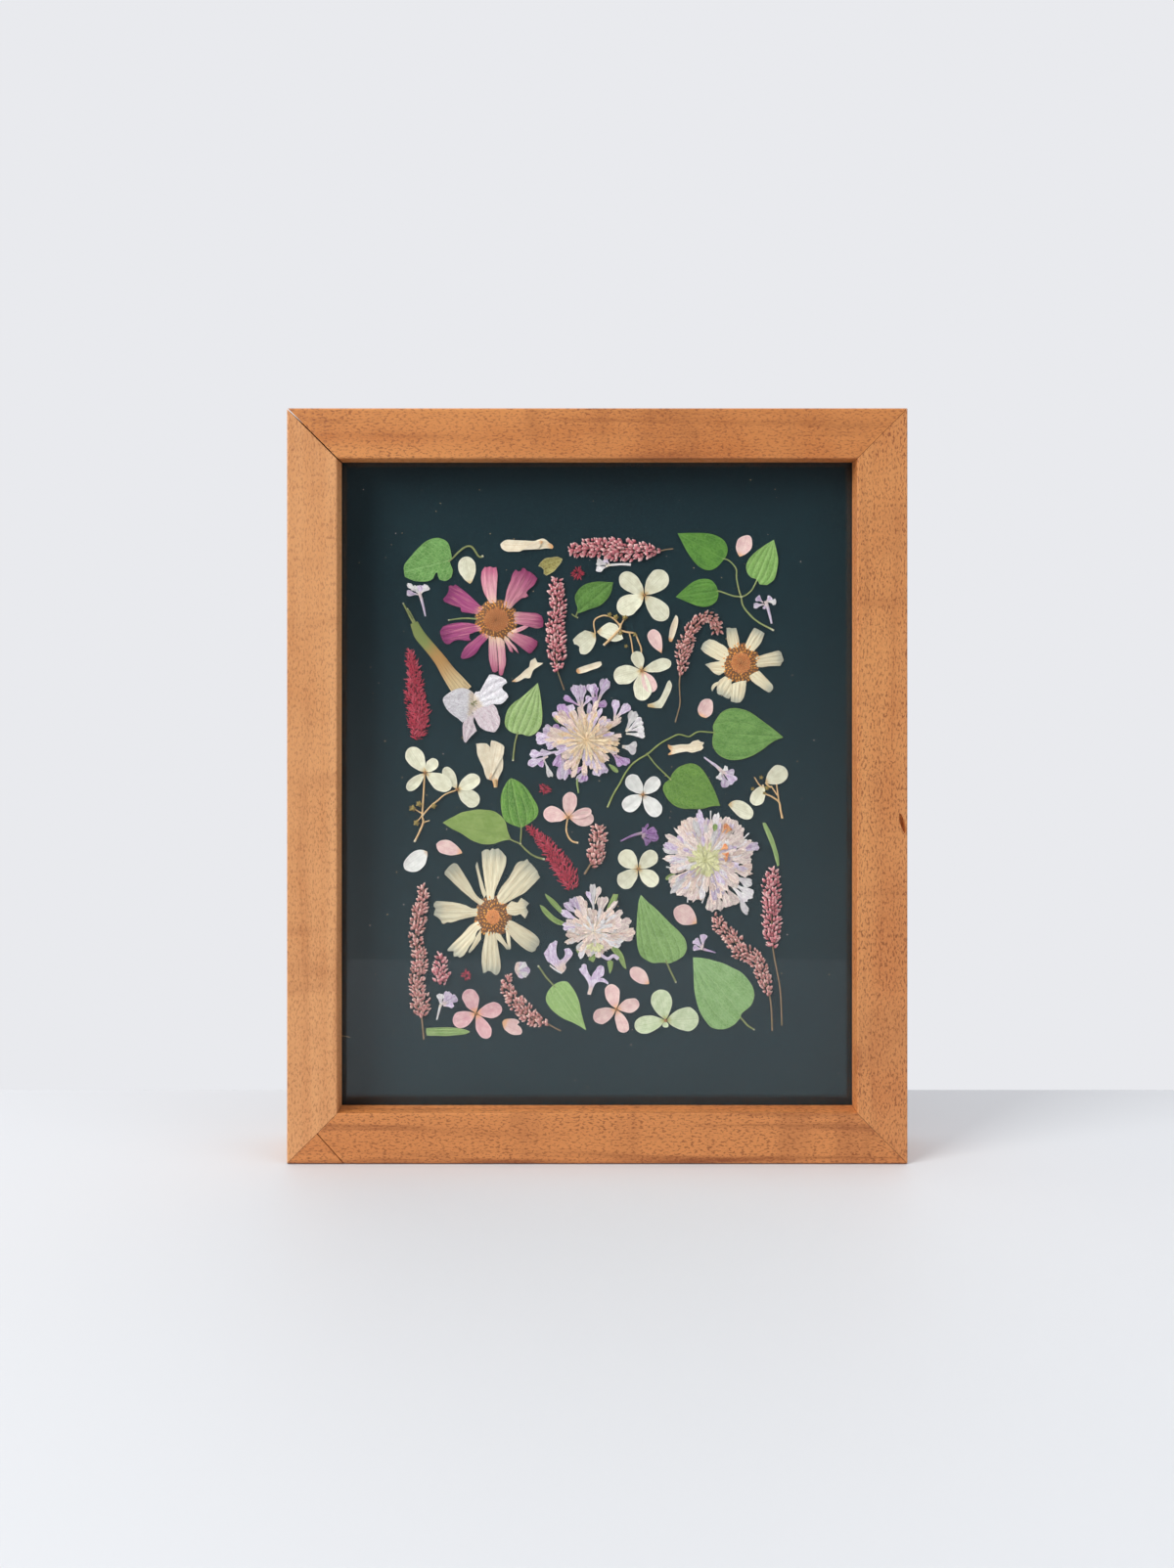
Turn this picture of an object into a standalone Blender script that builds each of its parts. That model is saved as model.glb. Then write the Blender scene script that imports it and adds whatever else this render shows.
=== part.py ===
"""A pressed flower frame: real pressed leaves, petals and flower heads on a dark card behind glass.

Metres, +Z up. The origin is on the underside of the bottom rail, at the middle of its width and
depth. The front faces -Y. Places on the card are millimetres: across from the middle of the frame,
and up from its underside.
"""
import math

import bmesh
import bpy
from mathutils import Matrix, Vector

MM = 0.001
WELD = 0.0001 * MM

# Wooden frame, made for standard glass of 203.2 x 254 mm.
GLASS_WIDTH = 203.2 * MM
GLASS_HEIGHT = 254.0 * MM
GLASS_CLEARANCE = 0.6 * MM
FACE_WIDTH = 19.0 * MM
REBATE_WIDTH = 4.2 * MM
FRAME_DEPTH = 32.0 * MM
LIP_DEPTH = 9.5 * MM
ARRIS = 0.8 * MM
SIGHT_ARRIS = 0.5 * MM
MITRE_GAP = 0.12 * MM
OPEN_MITRE_GAP = 0.44 * MM
REBATE_OPENING_WIDTH = GLASS_WIDTH + 2 * GLASS_CLEARANCE
REBATE_OPENING_HEIGHT = GLASS_HEIGHT + 2 * GLASS_CLEARANCE
OUTER_WIDTH = REBATE_OPENING_WIDTH + 2 * (FACE_WIDTH - REBATE_WIDTH)
OUTER_HEIGHT = REBATE_OPENING_HEIGHT + 2 * (FACE_WIDTH - REBATE_WIDTH)
FRONT = -FRAME_DEPTH / 2
BACK = FRAME_DEPTH / 2

# Damage on the front face: a crack over the bottom left corner, and a knot hole at the right edge.
CRACK_TOP = (-105.5 * MM, 11.4 * MM)
CRACK_FOOT = (-94.9 * MM, -0.4 * MM)
CRACK_WIDTH = 0.35 * MM
CRACK_DEPTH = 1.5 * MM
KNOT_PLACE = (115.0 * MM, 128.3 * MM)
KNOT_RADII = (0.95 * MM, 2.4 * MM, 4.1 * MM)
KNOT_LEAN = math.radians(-16)

# Stack in the rebate, front to back.
SEAT_GAP = 0.15 * MM
GLASS_THICKNESS = 2.0 * MM
GLASS_EDGE = 0.3 * MM
SPECIMEN_SPACE = 2.0 * MM
CARD_THICKNESS = 1.4 * MM
BOARD_THICKNESS = 3.0 * MM
GLASS_FRONT = FRONT + LIP_DEPTH + SEAT_GAP
CARD_FRONT = GLASS_FRONT + GLASS_THICKNESS + SPECIMEN_SPACE
BOARD_FRONT = CARD_FRONT + CARD_THICKNESS + SEAT_GAP
BOARD_BACK = BOARD_FRONT + BOARD_THICKNESS

# Points that hold the board, and the hanger.
POINT_LENGTH = 10.0 * MM
POINT_WIDTH = 5.5 * MM
POINT_THICKNESS = 0.6 * MM
POINT_PLACES = {
    "retaining_point_left_low": (0, -62 * MM),
    "retaining_point_left_high": (0, 62 * MM),
    "retaining_point_top": (90, 0),
    "retaining_point_right_high": (180, -62 * MM),
    "retaining_point_right_low": (180, 62 * MM),
    "retaining_point_bottom": (270, 0),
}
HANGER_LENGTH = 46.0 * MM
HANGER_WIDTH = 8.0 * MM
HANGER_THICKNESS = 0.8 * MM
HANGER_TEETH = 9
HANGER_TOOTH = 1.6 * MM

# How the specimens lie: thin things flat on the card, and thicker heads a little proud of them.
LEAF_THICKNESS = 0.45 * MM
EYE_THICKNESS = 1.0 * MM
STALK_RADIUS = 0.42
HEAD_THICKNESS = 1.2 * MM
LAY = CARD_FRONT - SEAT_GAP - 0.5 * MM
HEAD_LAY = CARD_FRONT - SEAT_GAP - 0.1 * MM - HEAD_THICKNESS / 2
LAYER_STEP = 0.004 * MM
LAYER_SQUEEZE = 0.015

# Colours.
WOOD = (0.52, 0.24, 0.09)
GLASS = (0.85, 0.92, 0.9)
CARD = (0.012, 0.022, 0.028)
BOARD = (0.16, 0.09, 0.05)
STEEL = (0.6, 0.58, 0.54)
BRASS = (0.62, 0.45, 0.2)
LEAF_GREEN = (0.12, 0.25, 0.05)
PALE_GREEN = (0.25, 0.36, 0.12)
SEPAL_GREEN = (0.3, 0.38, 0.17)
CREAM = (0.72, 0.69, 0.52)
GREENISH_CREAM = (0.62, 0.66, 0.45)
WHITE = (0.78, 0.77, 0.75)
LILAC = (0.55, 0.47, 0.58)
PALE_LILAC = (0.7, 0.62, 0.6)
ROSE = (0.56, 0.36, 0.38)
PALE_ROSE = (0.68, 0.52, 0.5)
MAGENTA = (0.38, 0.12, 0.2)
CRIMSON = (0.35, 0.04, 0.06)

for old in list(bpy.data.objects):
    bpy.data.objects.remove(old, do_unlink=True)

frame_pieces = bpy.data.collections.new("pressed_flower_frame")
cutters = bpy.data.collections.new("cutters")
bpy.context.scene.collection.children.link(frame_pieces)
bpy.context.scene.collection.children.link(cutters)


# Tools.
def finish(obj, colour, roughness=0.7, metallic=0.0):
    """Gives the object its own material and puts it among the frame's pieces."""
    made = bpy.data.materials.new(obj.name)
    made.use_nodes = True
    shader = made.node_tree.nodes["Principled BSDF"]
    shader.inputs["Base Color"].default_value = (*colour, 1)
    shader.inputs["Roughness"].default_value = roughness
    shader.inputs["Metallic"].default_value = metallic
    obj.data.materials.clear()
    obj.data.materials.append(made)
    obj.name = obj.data.name = made.name
    if obj.name not in frame_pieces.objects:
        frame_pieces.objects.link(obj)
    return obj


def mesh_object(name, mesh, collection=frame_pieces):
    obj = bpy.data.objects.new(name, mesh)
    collection.objects.link(obj)
    return obj


def as_mesh(obj, weld=True):
    """The object's evaluated shape as one mesh in world space. The object is removed."""
    bpy.context.view_layer.update()
    graph = bpy.context.evaluated_depsgraph_get()
    mesh = bpy.data.meshes.new_from_object(obj.evaluated_get(graph))
    mesh.transform(obj.matrix_world)
    shape = bmesh.new()
    shape.from_mesh(mesh)
    if weld:
        bmesh.ops.remove_doubles(shape, verts=shape.verts, dist=WELD)
    bmesh.ops.recalc_face_normals(shape, faces=shape.faces)
    shape.to_mesh(mesh)
    shape.free()
    bpy.data.objects.remove(obj)
    return mesh


def outline_object(points, dimensions, closed=True):
    """A curve object of one line through the points, which are in metres and in its own plane."""
    data = bpy.data.curves.new("outline", "CURVE")
    data.dimensions = dimensions
    line = data.splines.new("POLY")
    line.points.add(len(points) - 1)
    for control, (x, y) in zip(line.points, points):
        control.co = (x, y, 0, 1)
    line.use_cyclic_u = closed
    return mesh_object("outline", data)


def box(name, low, high, collection=frame_pieces):
    """A box between two opposite corners."""
    shape = bmesh.new()
    bmesh.ops.create_cube(shape, size=1)
    size = Vector(high) - Vector(low)
    bmesh.ops.transform(shape, matrix=Matrix.Diagonal((*size, 1)), verts=shape.verts)
    bmesh.ops.translate(shape, vec=(Vector(low) + Vector(high)) / 2, verts=shape.verts)
    mesh = bpy.data.meshes.new(name)
    shape.to_mesh(mesh)
    shape.free()
    return mesh_object(name, mesh, collection)


def ellipsoid(name, centre, radii, collection=frame_pieces, fineness=2, lean=0.0):
    """A rounded lump of few faces. It leans about Y."""
    place = Matrix.Translation(centre) @ Matrix.Rotation(lean, 4, "Y") @ Matrix.Diagonal((*radii, 1))
    shape = bmesh.new()
    bmesh.ops.create_icosphere(shape, subdivisions=fineness, radius=1, matrix=place)
    mesh = bpy.data.meshes.new(name)
    shape.to_mesh(mesh)
    shape.free()
    return mesh_object(name, mesh, collection)


def cut(obj, cutter):
    """Takes the cutter's shape out of the object, and keeps the cutter as a hidden guide."""
    cutter.hide_render = True
    cutter.display_type = "WIRE"
    modifier = obj.modifiers.new(cutter.name, "BOOLEAN")
    modifier.operation = "DIFFERENCE"
    modifier.solver = "EXACT"
    modifier.object = cutter


# Wooden rails: one L-shaped moulding, mitred at both ends.
def eased(corner, before, after, radius, steps=3):
    """Points of the arc that rounds a square corner of an outline."""
    if not radius:
        return [corner]
    start = corner + (before - corner).normalized() * radius
    end = corner + (after - corner).normalized() * radius
    centre = start + end - corner
    turns = [step / steps * math.pi / 2 for step in range(steps + 1)]
    return [centre + (start - centre) * math.cos(t) + (end - centre) * math.sin(t) for t in turns]


def moulding_outline():
    """Section of the moulding: X from its outer side inwards, Y from its front backwards."""
    wall = FACE_WIDTH - REBATE_WIDTH
    corners = [
        ((0, 0), ARRIS),
        ((FACE_WIDTH, 0), SIGHT_ARRIS),
        ((FACE_WIDTH, LIP_DEPTH), 0),
        ((wall, LIP_DEPTH), 0),
        ((wall, FRAME_DEPTH), SIGHT_ARRIS),
        ((0, FRAME_DEPTH), ARRIS),
    ]
    places = [Vector(place) for place, radius in corners]
    outline = []
    for index, (place, radius) in enumerate(corners):
        after = places[(index + 1) % len(places)]
        outline += eased(places[index], places[index - 1], after, radius)
    return outline


def rail(name, length, reach, turn, low_gap=MITRE_GAP, high_gap=MITRE_GAP):
    """A rail as it stands at the left, turned about the frame's middle to its own side."""
    strip = outline_object(moulding_outline(), "2D")
    strip.data.fill_mode = "BOTH"
    strip.data.extrude = length / 2
    strip.location = (-reach, FRONT, 0)
    mesh = as_mesh(strip)
    shape = bmesh.new()
    shape.from_mesh(mesh)
    for end, gap in ((-1, low_gap), (1, high_gap)):
        outward = Vector((1, 0, end)).normalized()
        corner = Vector((-reach, 0, end * length / 2))
        parts = shape.verts[:] + shape.edges[:] + shape.faces[:]
        place = corner - outward * gap / 2
        bmesh.ops.bisect_plane(shape, geom=parts, plane_co=place, plane_no=outward, clear_outer=True)
        bmesh.ops.holes_fill(shape, edges=[edge for edge in shape.edges if edge.is_boundary])
    bmesh.ops.recalc_face_normals(shape, faces=shape.faces)
    middle = Matrix.Translation((0, 0, OUTER_HEIGHT / 2))
    bmesh.ops.transform(shape, matrix=middle @ Matrix.Rotation(turn, 4, "Y"), verts=shape.verts)
    shape.to_mesh(mesh)
    shape.free()
    return finish(mesh_object(name, mesh), WOOD, roughness=0.55)


quarter = math.pi / 2
rail("rail_left", OUTER_HEIGHT, OUTER_WIDTH / 2, 0, high_gap=OPEN_MITRE_GAP)
rail("rail_top", OUTER_WIDTH, OUTER_HEIGHT / 2, quarter, low_gap=OPEN_MITRE_GAP)
right_rail = rail("rail_right", OUTER_HEIGHT, OUTER_WIDTH / 2, 2 * quarter)
bottom_rail = rail("rail_bottom", OUTER_WIDTH, OUTER_HEIGHT / 2, -quarter)

crack_run = Vector((CRACK_FOOT[0] - CRACK_TOP[0], 0, CRACK_FOOT[1] - CRACK_TOP[1]))
crack_half = Vector((crack_run.length / 2, CRACK_DEPTH, CRACK_WIDTH / 2))
crack = box("corner_crack", -crack_half, crack_half, cutters)
crack.location = ((CRACK_TOP[0] + CRACK_FOOT[0]) / 2, FRONT, (CRACK_TOP[1] + CRACK_FOOT[1]) / 2)
crack.rotation_euler.y = -math.atan2(crack_run.z, crack_run.x)
cut(bottom_rail, crack)
knot_centre = (KNOT_PLACE[0], FRONT, KNOT_PLACE[1])
cut(right_rail, ellipsoid("knot_hole", knot_centre, KNOT_RADII, cutters, 2, KNOT_LEAN))


# Glass, card and board.
def sheet(name, width, height, front, thickness, colour, roughness):
    low = (-width / 2, front, (OUTER_HEIGHT - height) / 2)
    high = (width / 2, front + thickness, (OUTER_HEIGHT + height) / 2)
    return finish(box(name, low, high), colour, roughness)


pane = sheet("glass_pane", GLASS_WIDTH, GLASS_HEIGHT, GLASS_FRONT, GLASS_THICKNESS, GLASS, 0.02)
edge_bevel = pane.modifiers.new("ground edge", "BEVEL")
edge_bevel.width = GLASS_EDGE
edge_bevel.segments = 1
sheet("backing_card", GLASS_WIDTH, GLASS_HEIGHT, CARD_FRONT, CARD_THICKNESS, CARD, 0.85)
sheet("backing_board", GLASS_WIDTH, GLASS_HEIGHT, BOARD_FRONT, BOARD_THICKNESS, BOARD, 0.8)


# Shapes of the specimens.
def facing(obj, lay=LAY):
    """Stands a flat curve up, so that it faces the front."""
    obj.rotation_euler.x = math.pi / 2
    obj.location.y = lay
    return obj


def plate(points, thickness=LEAF_THICKNESS, lay=LAY):
    """A flat shape inside the given outline."""
    obj = outline_object([Vector(point) * MM for point in points], "2D")
    obj.data.fill_mode = "BOTH"
    obj.data.extrude = thickness / 2
    return facing(obj, lay)


def petal(base, tip, width, narrowing=0.35, count=10, thickness=LEAF_THICKNESS, lay=LAY):
    """A teardrop, pointed at its base and round at its tip."""
    base = Vector(base)
    along = Vector(tip) - base
    across = along.orthogonal().normalized() * width
    turns = [math.tau * index / count for index in range(count)]
    reach = [(1 - math.cos(turn)) / 2 for turn in turns]
    half = [math.sin(turn) * far**narrowing for turn, far in zip(turns, reach)]
    widest = 2 * max(half)
    ring = [base + along * far + across * out / widest for far, out in zip(reach, half)]
    return plate(ring, thickness, lay)


def past(centre, tip, distance):
    """The place a little beyond the centre, seen from the tip."""
    centre = Vector(centre)
    return centre + (centre - Vector(tip)).normalized() * distance


def smooth_path(points, steps):
    """Points of a smooth curve through the given ones."""
    ends = [2 * points[0] - points[1], *points, 2 * points[-1] - points[-2]]
    path = []
    for before, start, end, after in zip(ends, ends[1:], ends[2:], ends[3:]):
        for step in range(steps):
            t = step / steps
            bend = 2 * before - 5 * start + 4 * end - after
            twist = 3 * start - before - 3 * end + after
            path.append(start + (t * (end - before) + t**2 * bend + t**3 * twist) / 2)
    return [*path, points[-1]]


def stalk(points, radius=STALK_RADIUS, lay=LAY):
    """A thin round stalk along the card."""
    obj = outline_object([Vector(point) * MM for point in points], "3D", closed=False)
    obj.data.bevel_depth = radius * MM
    obj.data.bevel_resolution = 0
    obj.data.use_fill_caps = True
    return facing(obj, lay)


def head(centre, radii, thickness=HEAD_THICKNESS, lay=HEAD_LAY, fineness=2):
    """The raised middle of a flower."""
    place = (centre[0] * MM, lay, centre[1] * MM)
    radii = (radii[0] * MM, thickness / 2, radii[1] * MM)
    return ellipsoid("head", place, radii, fineness=fineness)


def spike(spine, widths, bud_length=3.0):
    """A flower spike: a body along its spine, scalloped at both sides by its buds."""
    points = [Vector(point) for point in spine]
    path = smooth_path(points, 6)
    wide = [width for a, b in zip(widths, widths[1:]) for width in (a + (b - a) * k / 6 for k in range(6))]
    wide.append(widths[-1])
    sides = ([], [])
    travelled = bud_length
    out = True
    for index in range(1, len(path)):
        step = path[index] - path[index - 1]
        travelled += step.length
        if travelled < bud_length / 2:
            continue
        travelled = 0.0
        across = step.orthogonal().normalized() * wide[index] / 2
        share = 1.0 if out else 0.62
        sides[0].append(path[index] + across * share)
        sides[1].append(path[index] - across * (1.62 - share))
        out = not out
    outline = [path[0], *sides[0], path[-1], *reversed(sides[1])]
    return plate(outline, HEAD_THICKNESS, HEAD_LAY)


def fuse(name, colour, *shapes):
    """One specimen from its overlapping shapes. Each is a hair thinner and farther back than the last."""
    solids = []
    for layer, shape in enumerate(shapes):
        mesh = as_mesh(shape)
        middle = sum((vertex.co.y for vertex in mesh.vertices), 0.0) / len(mesh.vertices)
        squeeze = Matrix.Scale(1 - LAYER_SQUEEZE * layer, 4, (0, 1, 0))
        moved = Matrix.Translation((0, middle + LAYER_STEP * layer, 0))
        mesh.transform(moved @ squeeze @ Matrix.Translation((0, -middle, 0)))
        solids.append(mesh_object(f"{name}_{layer}", mesh))
    body = solids[0]
    if len(solids) > 1:
        others = bpy.data.collections.new(name)
        for other in solids[1:]:
            others.objects.link(other)
        modifier = body.modifiers.new("union", "BOOLEAN")
        modifier.operation = "UNION"
        modifier.solver = "EXACT"
        modifier.operand_type = "COLLECTION"
        modifier.collection = others
    mesh = as_mesh(body, weld=False)
    for other in solids[1:]:
        bpy.data.objects.remove(other)
    return finish(mesh_object(name, mesh), colour)


# Leaves.
fuse(
    "leaf_heart",
    LEAF_GREEN,
    plate([
        (-74.6, 224.3), (-71.6, 231.2), (-67.0, 235.7), (-61.8, 237.2), (-58.3, 236.3), (-56.4, 233.0),
        (-55.9, 229.1), (-55.5, 224.7), (-57.2, 220.9), (-59.6, 220.4), (-61.2, 221.9), (-61.7, 223.4),
        (-62.9, 222.5), (-64.7, 220.6), (-68.2, 220.1), (-71.9, 220.9), (-74.3, 221.9),
    ]),
    stalk([
        (-56.8, 228.3), (-52.3, 232.9), (-49.8, 234.0), (-48.1, 233.4), (-45.9, 230.3), (-44.1, 230.1),
    ]),
)
fuse(
    "clematis_sprig",
    LEAF_GREEN,
    plate([
        (31.2, 239.0), (37.4, 239.1), (42.0, 239.0), (45.9, 238.2), (49.2, 236.1), (50.5, 233.2),
        (50.2, 230.8), (49.2, 229.0), (46.5, 226.0), (44.1, 224.8), (41.3, 225.1), (38.3, 227.2),
        (35.0, 231.7), (32.6, 236.3),
    ]),
    plate([
        (68.4, 236.5), (64.6, 234.2), (60.7, 231.2), (58.1, 227.8), (57.8, 224.8), (59.4, 222.1),
        (61.6, 221.2), (63.1, 219.2), (65.8, 219.0), (68.5, 221.2), (69.7, 225.4), (70.0, 228.7),
        (69.4, 232.3),
    ]),
    plate([
        (30.5, 214.4), (33.8, 217.5), (37.1, 220.1), (40.5, 221.3), (43.8, 221.0), (45.9, 219.0),
        (46.8, 216.6), (46.9, 214.8), (45.9, 212.4), (42.6, 210.6), (39.0, 210.9), (35.0, 212.4),
    ]),
    stalk([
        (48.6, 229.1), (51.9, 227.8), (53.9, 225.1), (54.9, 217.2), (56.4, 211.2), (58.5, 208.2),
        (62.2, 204.8), (68.4, 201.4),
    ]),
    stalk([(46.0, 216.6), (51.0, 215.3), (55.4, 214.4)], radius=0.36),
    stalk([(61.9, 221.7), (60.0, 217.2), (57.7, 215.1), (56.1, 213.6)], radius=0.33),
)
fuse(
    "leaf_small_top",
    LEAF_GREEN,
    plate([
        (6.2, 220.0), (0.5, 220.3), (-4.9, 219.0), (-8.0, 215.7), (-8.3, 213.0), (-7.7, 208.0),
        (-2.9, 209.6), (2.1, 211.7), (5.2, 215.7),
    ]),
    stalk([(-7.4, 208.6), (-8.1, 207.0)], radius=0.36),
    stalk([(-9.7, 207.8), (-8.5, 206.9), (-7.3, 206.3)], radius=0.3),
)
fuse(
    "leaf_middle_left",
    PALE_GREEN,
    plate([
        (-22.8, 181.1), (-29.2, 175.5), (-33.7, 171.7), (-35.6, 166.4), (-34.5, 163.4), (-31.4, 161.9),
        (-30.9, 161.4), (-29.2, 160.8), (-26.1, 160.6), (-22.7, 162.6), (-21.3, 165.7), (-21.1, 168.8),
        (-21.8, 175.1),
    ]),
    stalk([(-30.9, 162.1), (-31.8, 157.7), (-32.4, 151.0)]),
)
fuse(
    "leaf_pair_right",
    LEAF_GREEN,
    plate([
        (72.0, 160.1), (67.7, 158.2), (63.1, 154.7), (57.3, 152.0), (51.8, 151.4), (47.3, 153.2),
        (44.9, 156.6), (45.1, 161.9), (45.7, 166.3), (48.8, 170.2), (53.0, 171.4), (58.5, 170.2),
        (63.1, 167.1), (68.9, 162.8),
    ]),
    plate([
        (47.6, 133.7), (44.1, 133.4), (36.9, 132.5), (30.1, 133.9), (26.3, 137.0), (25.5, 139.8),
        (26.9, 143.0), (28.5, 144.2), (30.1, 146.7), (32.9, 149.2), (36.3, 150.0), (40.1, 148.6),
        (43.1, 144.7), (45.8, 138.8),
    ]),
    stalk([
        (46.0, 161.8), (39.5, 162.4), (35.3, 160.3), (30.3, 160.9), (19.7, 153.7), (13.5, 149.5),
        (9.1, 142.6), (4.1, 133.0),
    ]),
    stalk([(19.5, 153.9), (22.1, 150.2), (25.3, 147.1), (29.1, 143.7)], radius=0.33),
)
fuse(
    "leaf_pair_left",
    LEAF_GREEN,
    plate([
        (-59.6, 127.1), (-55.3, 129.5), (-48.7, 131.8), (-42.9, 132.0), (-38.1, 130.4), (-35.5, 127.5),
        (-34.1, 124.0), (-33.0, 120.5), (-34.3, 120.5), (-40.1, 118.9), (-44.2, 118.9), (-52.4, 123.0),
    ]),
    plate([
        (-33.1, 144.3), (-28.6, 141.8), (-24.9, 136.9), (-22.6, 132.0), (-23.6, 128.7), (-29.0, 125.2),
        (-33.3, 127.3), (-36.2, 131.2), (-37.2, 136.2), (-35.5, 141.5),
    ]),
    stalk([(-34.1, 121.0), (-29.8, 118.9), (-25.3, 114.8), (-20.2, 112.9)]),
    stalk([(-29.2, 125.9), (-29.5, 118.4)], radius=0.36),
)
fuse(
    "leaf_low_right",
    PALE_GREEN,
    plate([
        (17.1, 99.2), (22.3, 94.1), (28.7, 87.9), (33.1, 83.5), (34.8, 79.2), (33.9, 76.1),
        (30.0, 73.3), (26.8, 73.3), (21.7, 72.9), (17.0, 75.7), (15.5, 80.9), (15.3, 87.3),
        (15.9, 94.1),
    ]),
    stalk([(26.6, 74.1), (28.1, 70.7), (30.6, 65.3)]),
)
fuse(
    "leaf_big",
    PALE_GREEN,
    plate([
        (37.2, 75.0), (46.1, 73.5), (52.6, 70.9), (58.3, 66.6), (60.7, 61.4), (59.6, 56.6),
        (56.1, 53.5), (54.8, 50.9), (50.4, 47.7), (46.1, 47.4), (42.6, 50.0), (39.6, 55.3),
        (38.1, 61.8), (37.6, 68.8),
    ]),
    stalk([(55.2, 52.9), (56.2, 51.0), (58.3, 49.1), (60.9, 47.0)]),
)
fuse(
    "leaf_small_bottom",
    PALE_GREEN,
    plate([
        (-4.1, 46.9), (-9.5, 50.0), (-14.9, 52.7), (-19.2, 57.3), (-19.6, 60.0), (-18.2, 63.1),
        (-16.9, 64.2), (-12.2, 65.8), (-9.9, 63.9), (-7.6, 60.0), (-6.1, 54.2),
    ]),
    stalk([(-16.6, 63.7), (-19.7, 68.2), (-22.7, 71.8)], radius=0.36),
)

# Cosmos: torn ray petals round a raised orange centre.
fuse(
    "cosmos_pink",
    MAGENTA,
    head((-38.6, 205.5), (9.1, 8.3)),
    plate([
        (-43.3, 226.1), (-41.3, 225.3), (-38.8, 225.8), (-38.6, 219.4), (-38.5, 212.2), (-43.7, 211.5),
        (-44.7, 221.1),
    ]),
    plate([
        (-31.4, 225.0), (-29.9, 223.2), (-27.8, 225.5), (-26.1, 224.2), (-23.0, 221.4), (-26.4, 217.2),
        (-26.1, 215.4), (-28.9, 213.7), (-33.3, 210.0), (-36.4, 212.2), (-33.3, 220.8),
    ]),
    plate([
        (-31.4, 208.1), (-25.8, 208.4), (-21.4, 207.2), (-20.8, 202.8), (-24.7, 202.5), (-31.4, 203.1),
    ]),
    plate([
        (-33.7, 200.1), (-27.5, 199.4), (-23.0, 197.2), (-23.9, 194.4), (-26.1, 192.5), (-34.5, 198.0),
    ]),
    plate([
        (-35.6, 199.4), (-33.9, 198.6), (-32.4, 193.4), (-33.9, 192.9),
    ], thickness=LEAF_THICKNESS * 0.9),
    plate([
        (-41.7, 199.0), (-38.6, 198.6), (-38.1, 191.8), (-38.6, 185.5), (-40.3, 185.5), (-41.7, 190.8),
    ]),
    plate([
        (-38.5, 198.6), (-35.8, 198.0), (-35.2, 188.9), (-36.2, 184.2), (-37.5, 184.0), (-37.9, 191.0),
    ]),
    plate([
        (-45.3, 200.3), (-47.5, 197.8), (-51.1, 194.7), (-52.7, 191.1), (-50.8, 190.5), (-48.1, 191.6),
        (-45.8, 193.9), (-42.6, 198.3),
    ]),
    plate([
        (-45.3, 204.4), (-52.3, 204.4), (-59.4, 203.0), (-60.6, 201.1), (-59.1, 196.9), (-56.9, 196.2),
        (-53.3, 197.8), (-48.6, 197.5), (-49.4, 200.0), (-45.1, 201.0),
    ]),
    plate([
        (-45.4, 206.2), (-57.5, 205.8), (-57.5, 205.0), (-45.4, 205.0),
    ], thickness=LEAF_THICKNESS * 0.8),
    plate([
        (-54.7, 219.2), (-55.7, 217.3), (-57.2, 218.1), (-58.9, 214.1), (-58.9, 212.5), (-52.7, 210.3),
        (-52.3, 208.6), (-46.2, 207.5), (-45.1, 211.6),
    ]),
)
fuse(
    "cosmos_cream_small",
    CREAM,
    head((55.4, 188.8), (7.6, 7.9)),
    plate([
        (50.3, 202.4), (53.8, 202.4), (55.0, 197.2), (54.1, 192.5), (51.5, 192.5), (50.7, 196.0),
    ]),
    plate([
        (60.8, 202.4), (64.8, 200.3), (63.5, 196.8), (61.1, 193.3), (56.0, 193.7), (57.3, 195.7),
    ]),
    plate([(61.3, 191.4), (70.2, 193.7), (72.2, 189.9), (70.8, 187.7), (61.3, 187.0)]),
    plate([
        (59.0, 185.4), (62.7, 186.5), (67.9, 180.2), (67.7, 178.3), (66.2, 177.5), (59.0, 181.8),
    ]),
    plate([(51.5, 183.5), (57.1, 183.8), (56.9, 176.0), (55.4, 173.6), (51.8, 174.0)]),
    plate([
        (51.6, 184.6), (50.3, 184.2), (46.5, 181.0), (46.5, 177.1), (48.4, 176.5), (51.7, 175.1),
        (52.2, 180.4),
    ]),
    plate([(41.8, 188.3), (48.4, 189.7), (48.8, 184.1), (44.9, 185.2)]),
    plate([
        (40.1, 194.3), (41.1, 196.4), (43.4, 198.0), (45.3, 197.6), (50.7, 194.4), (48.4, 189.1),
    ]),
)
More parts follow.
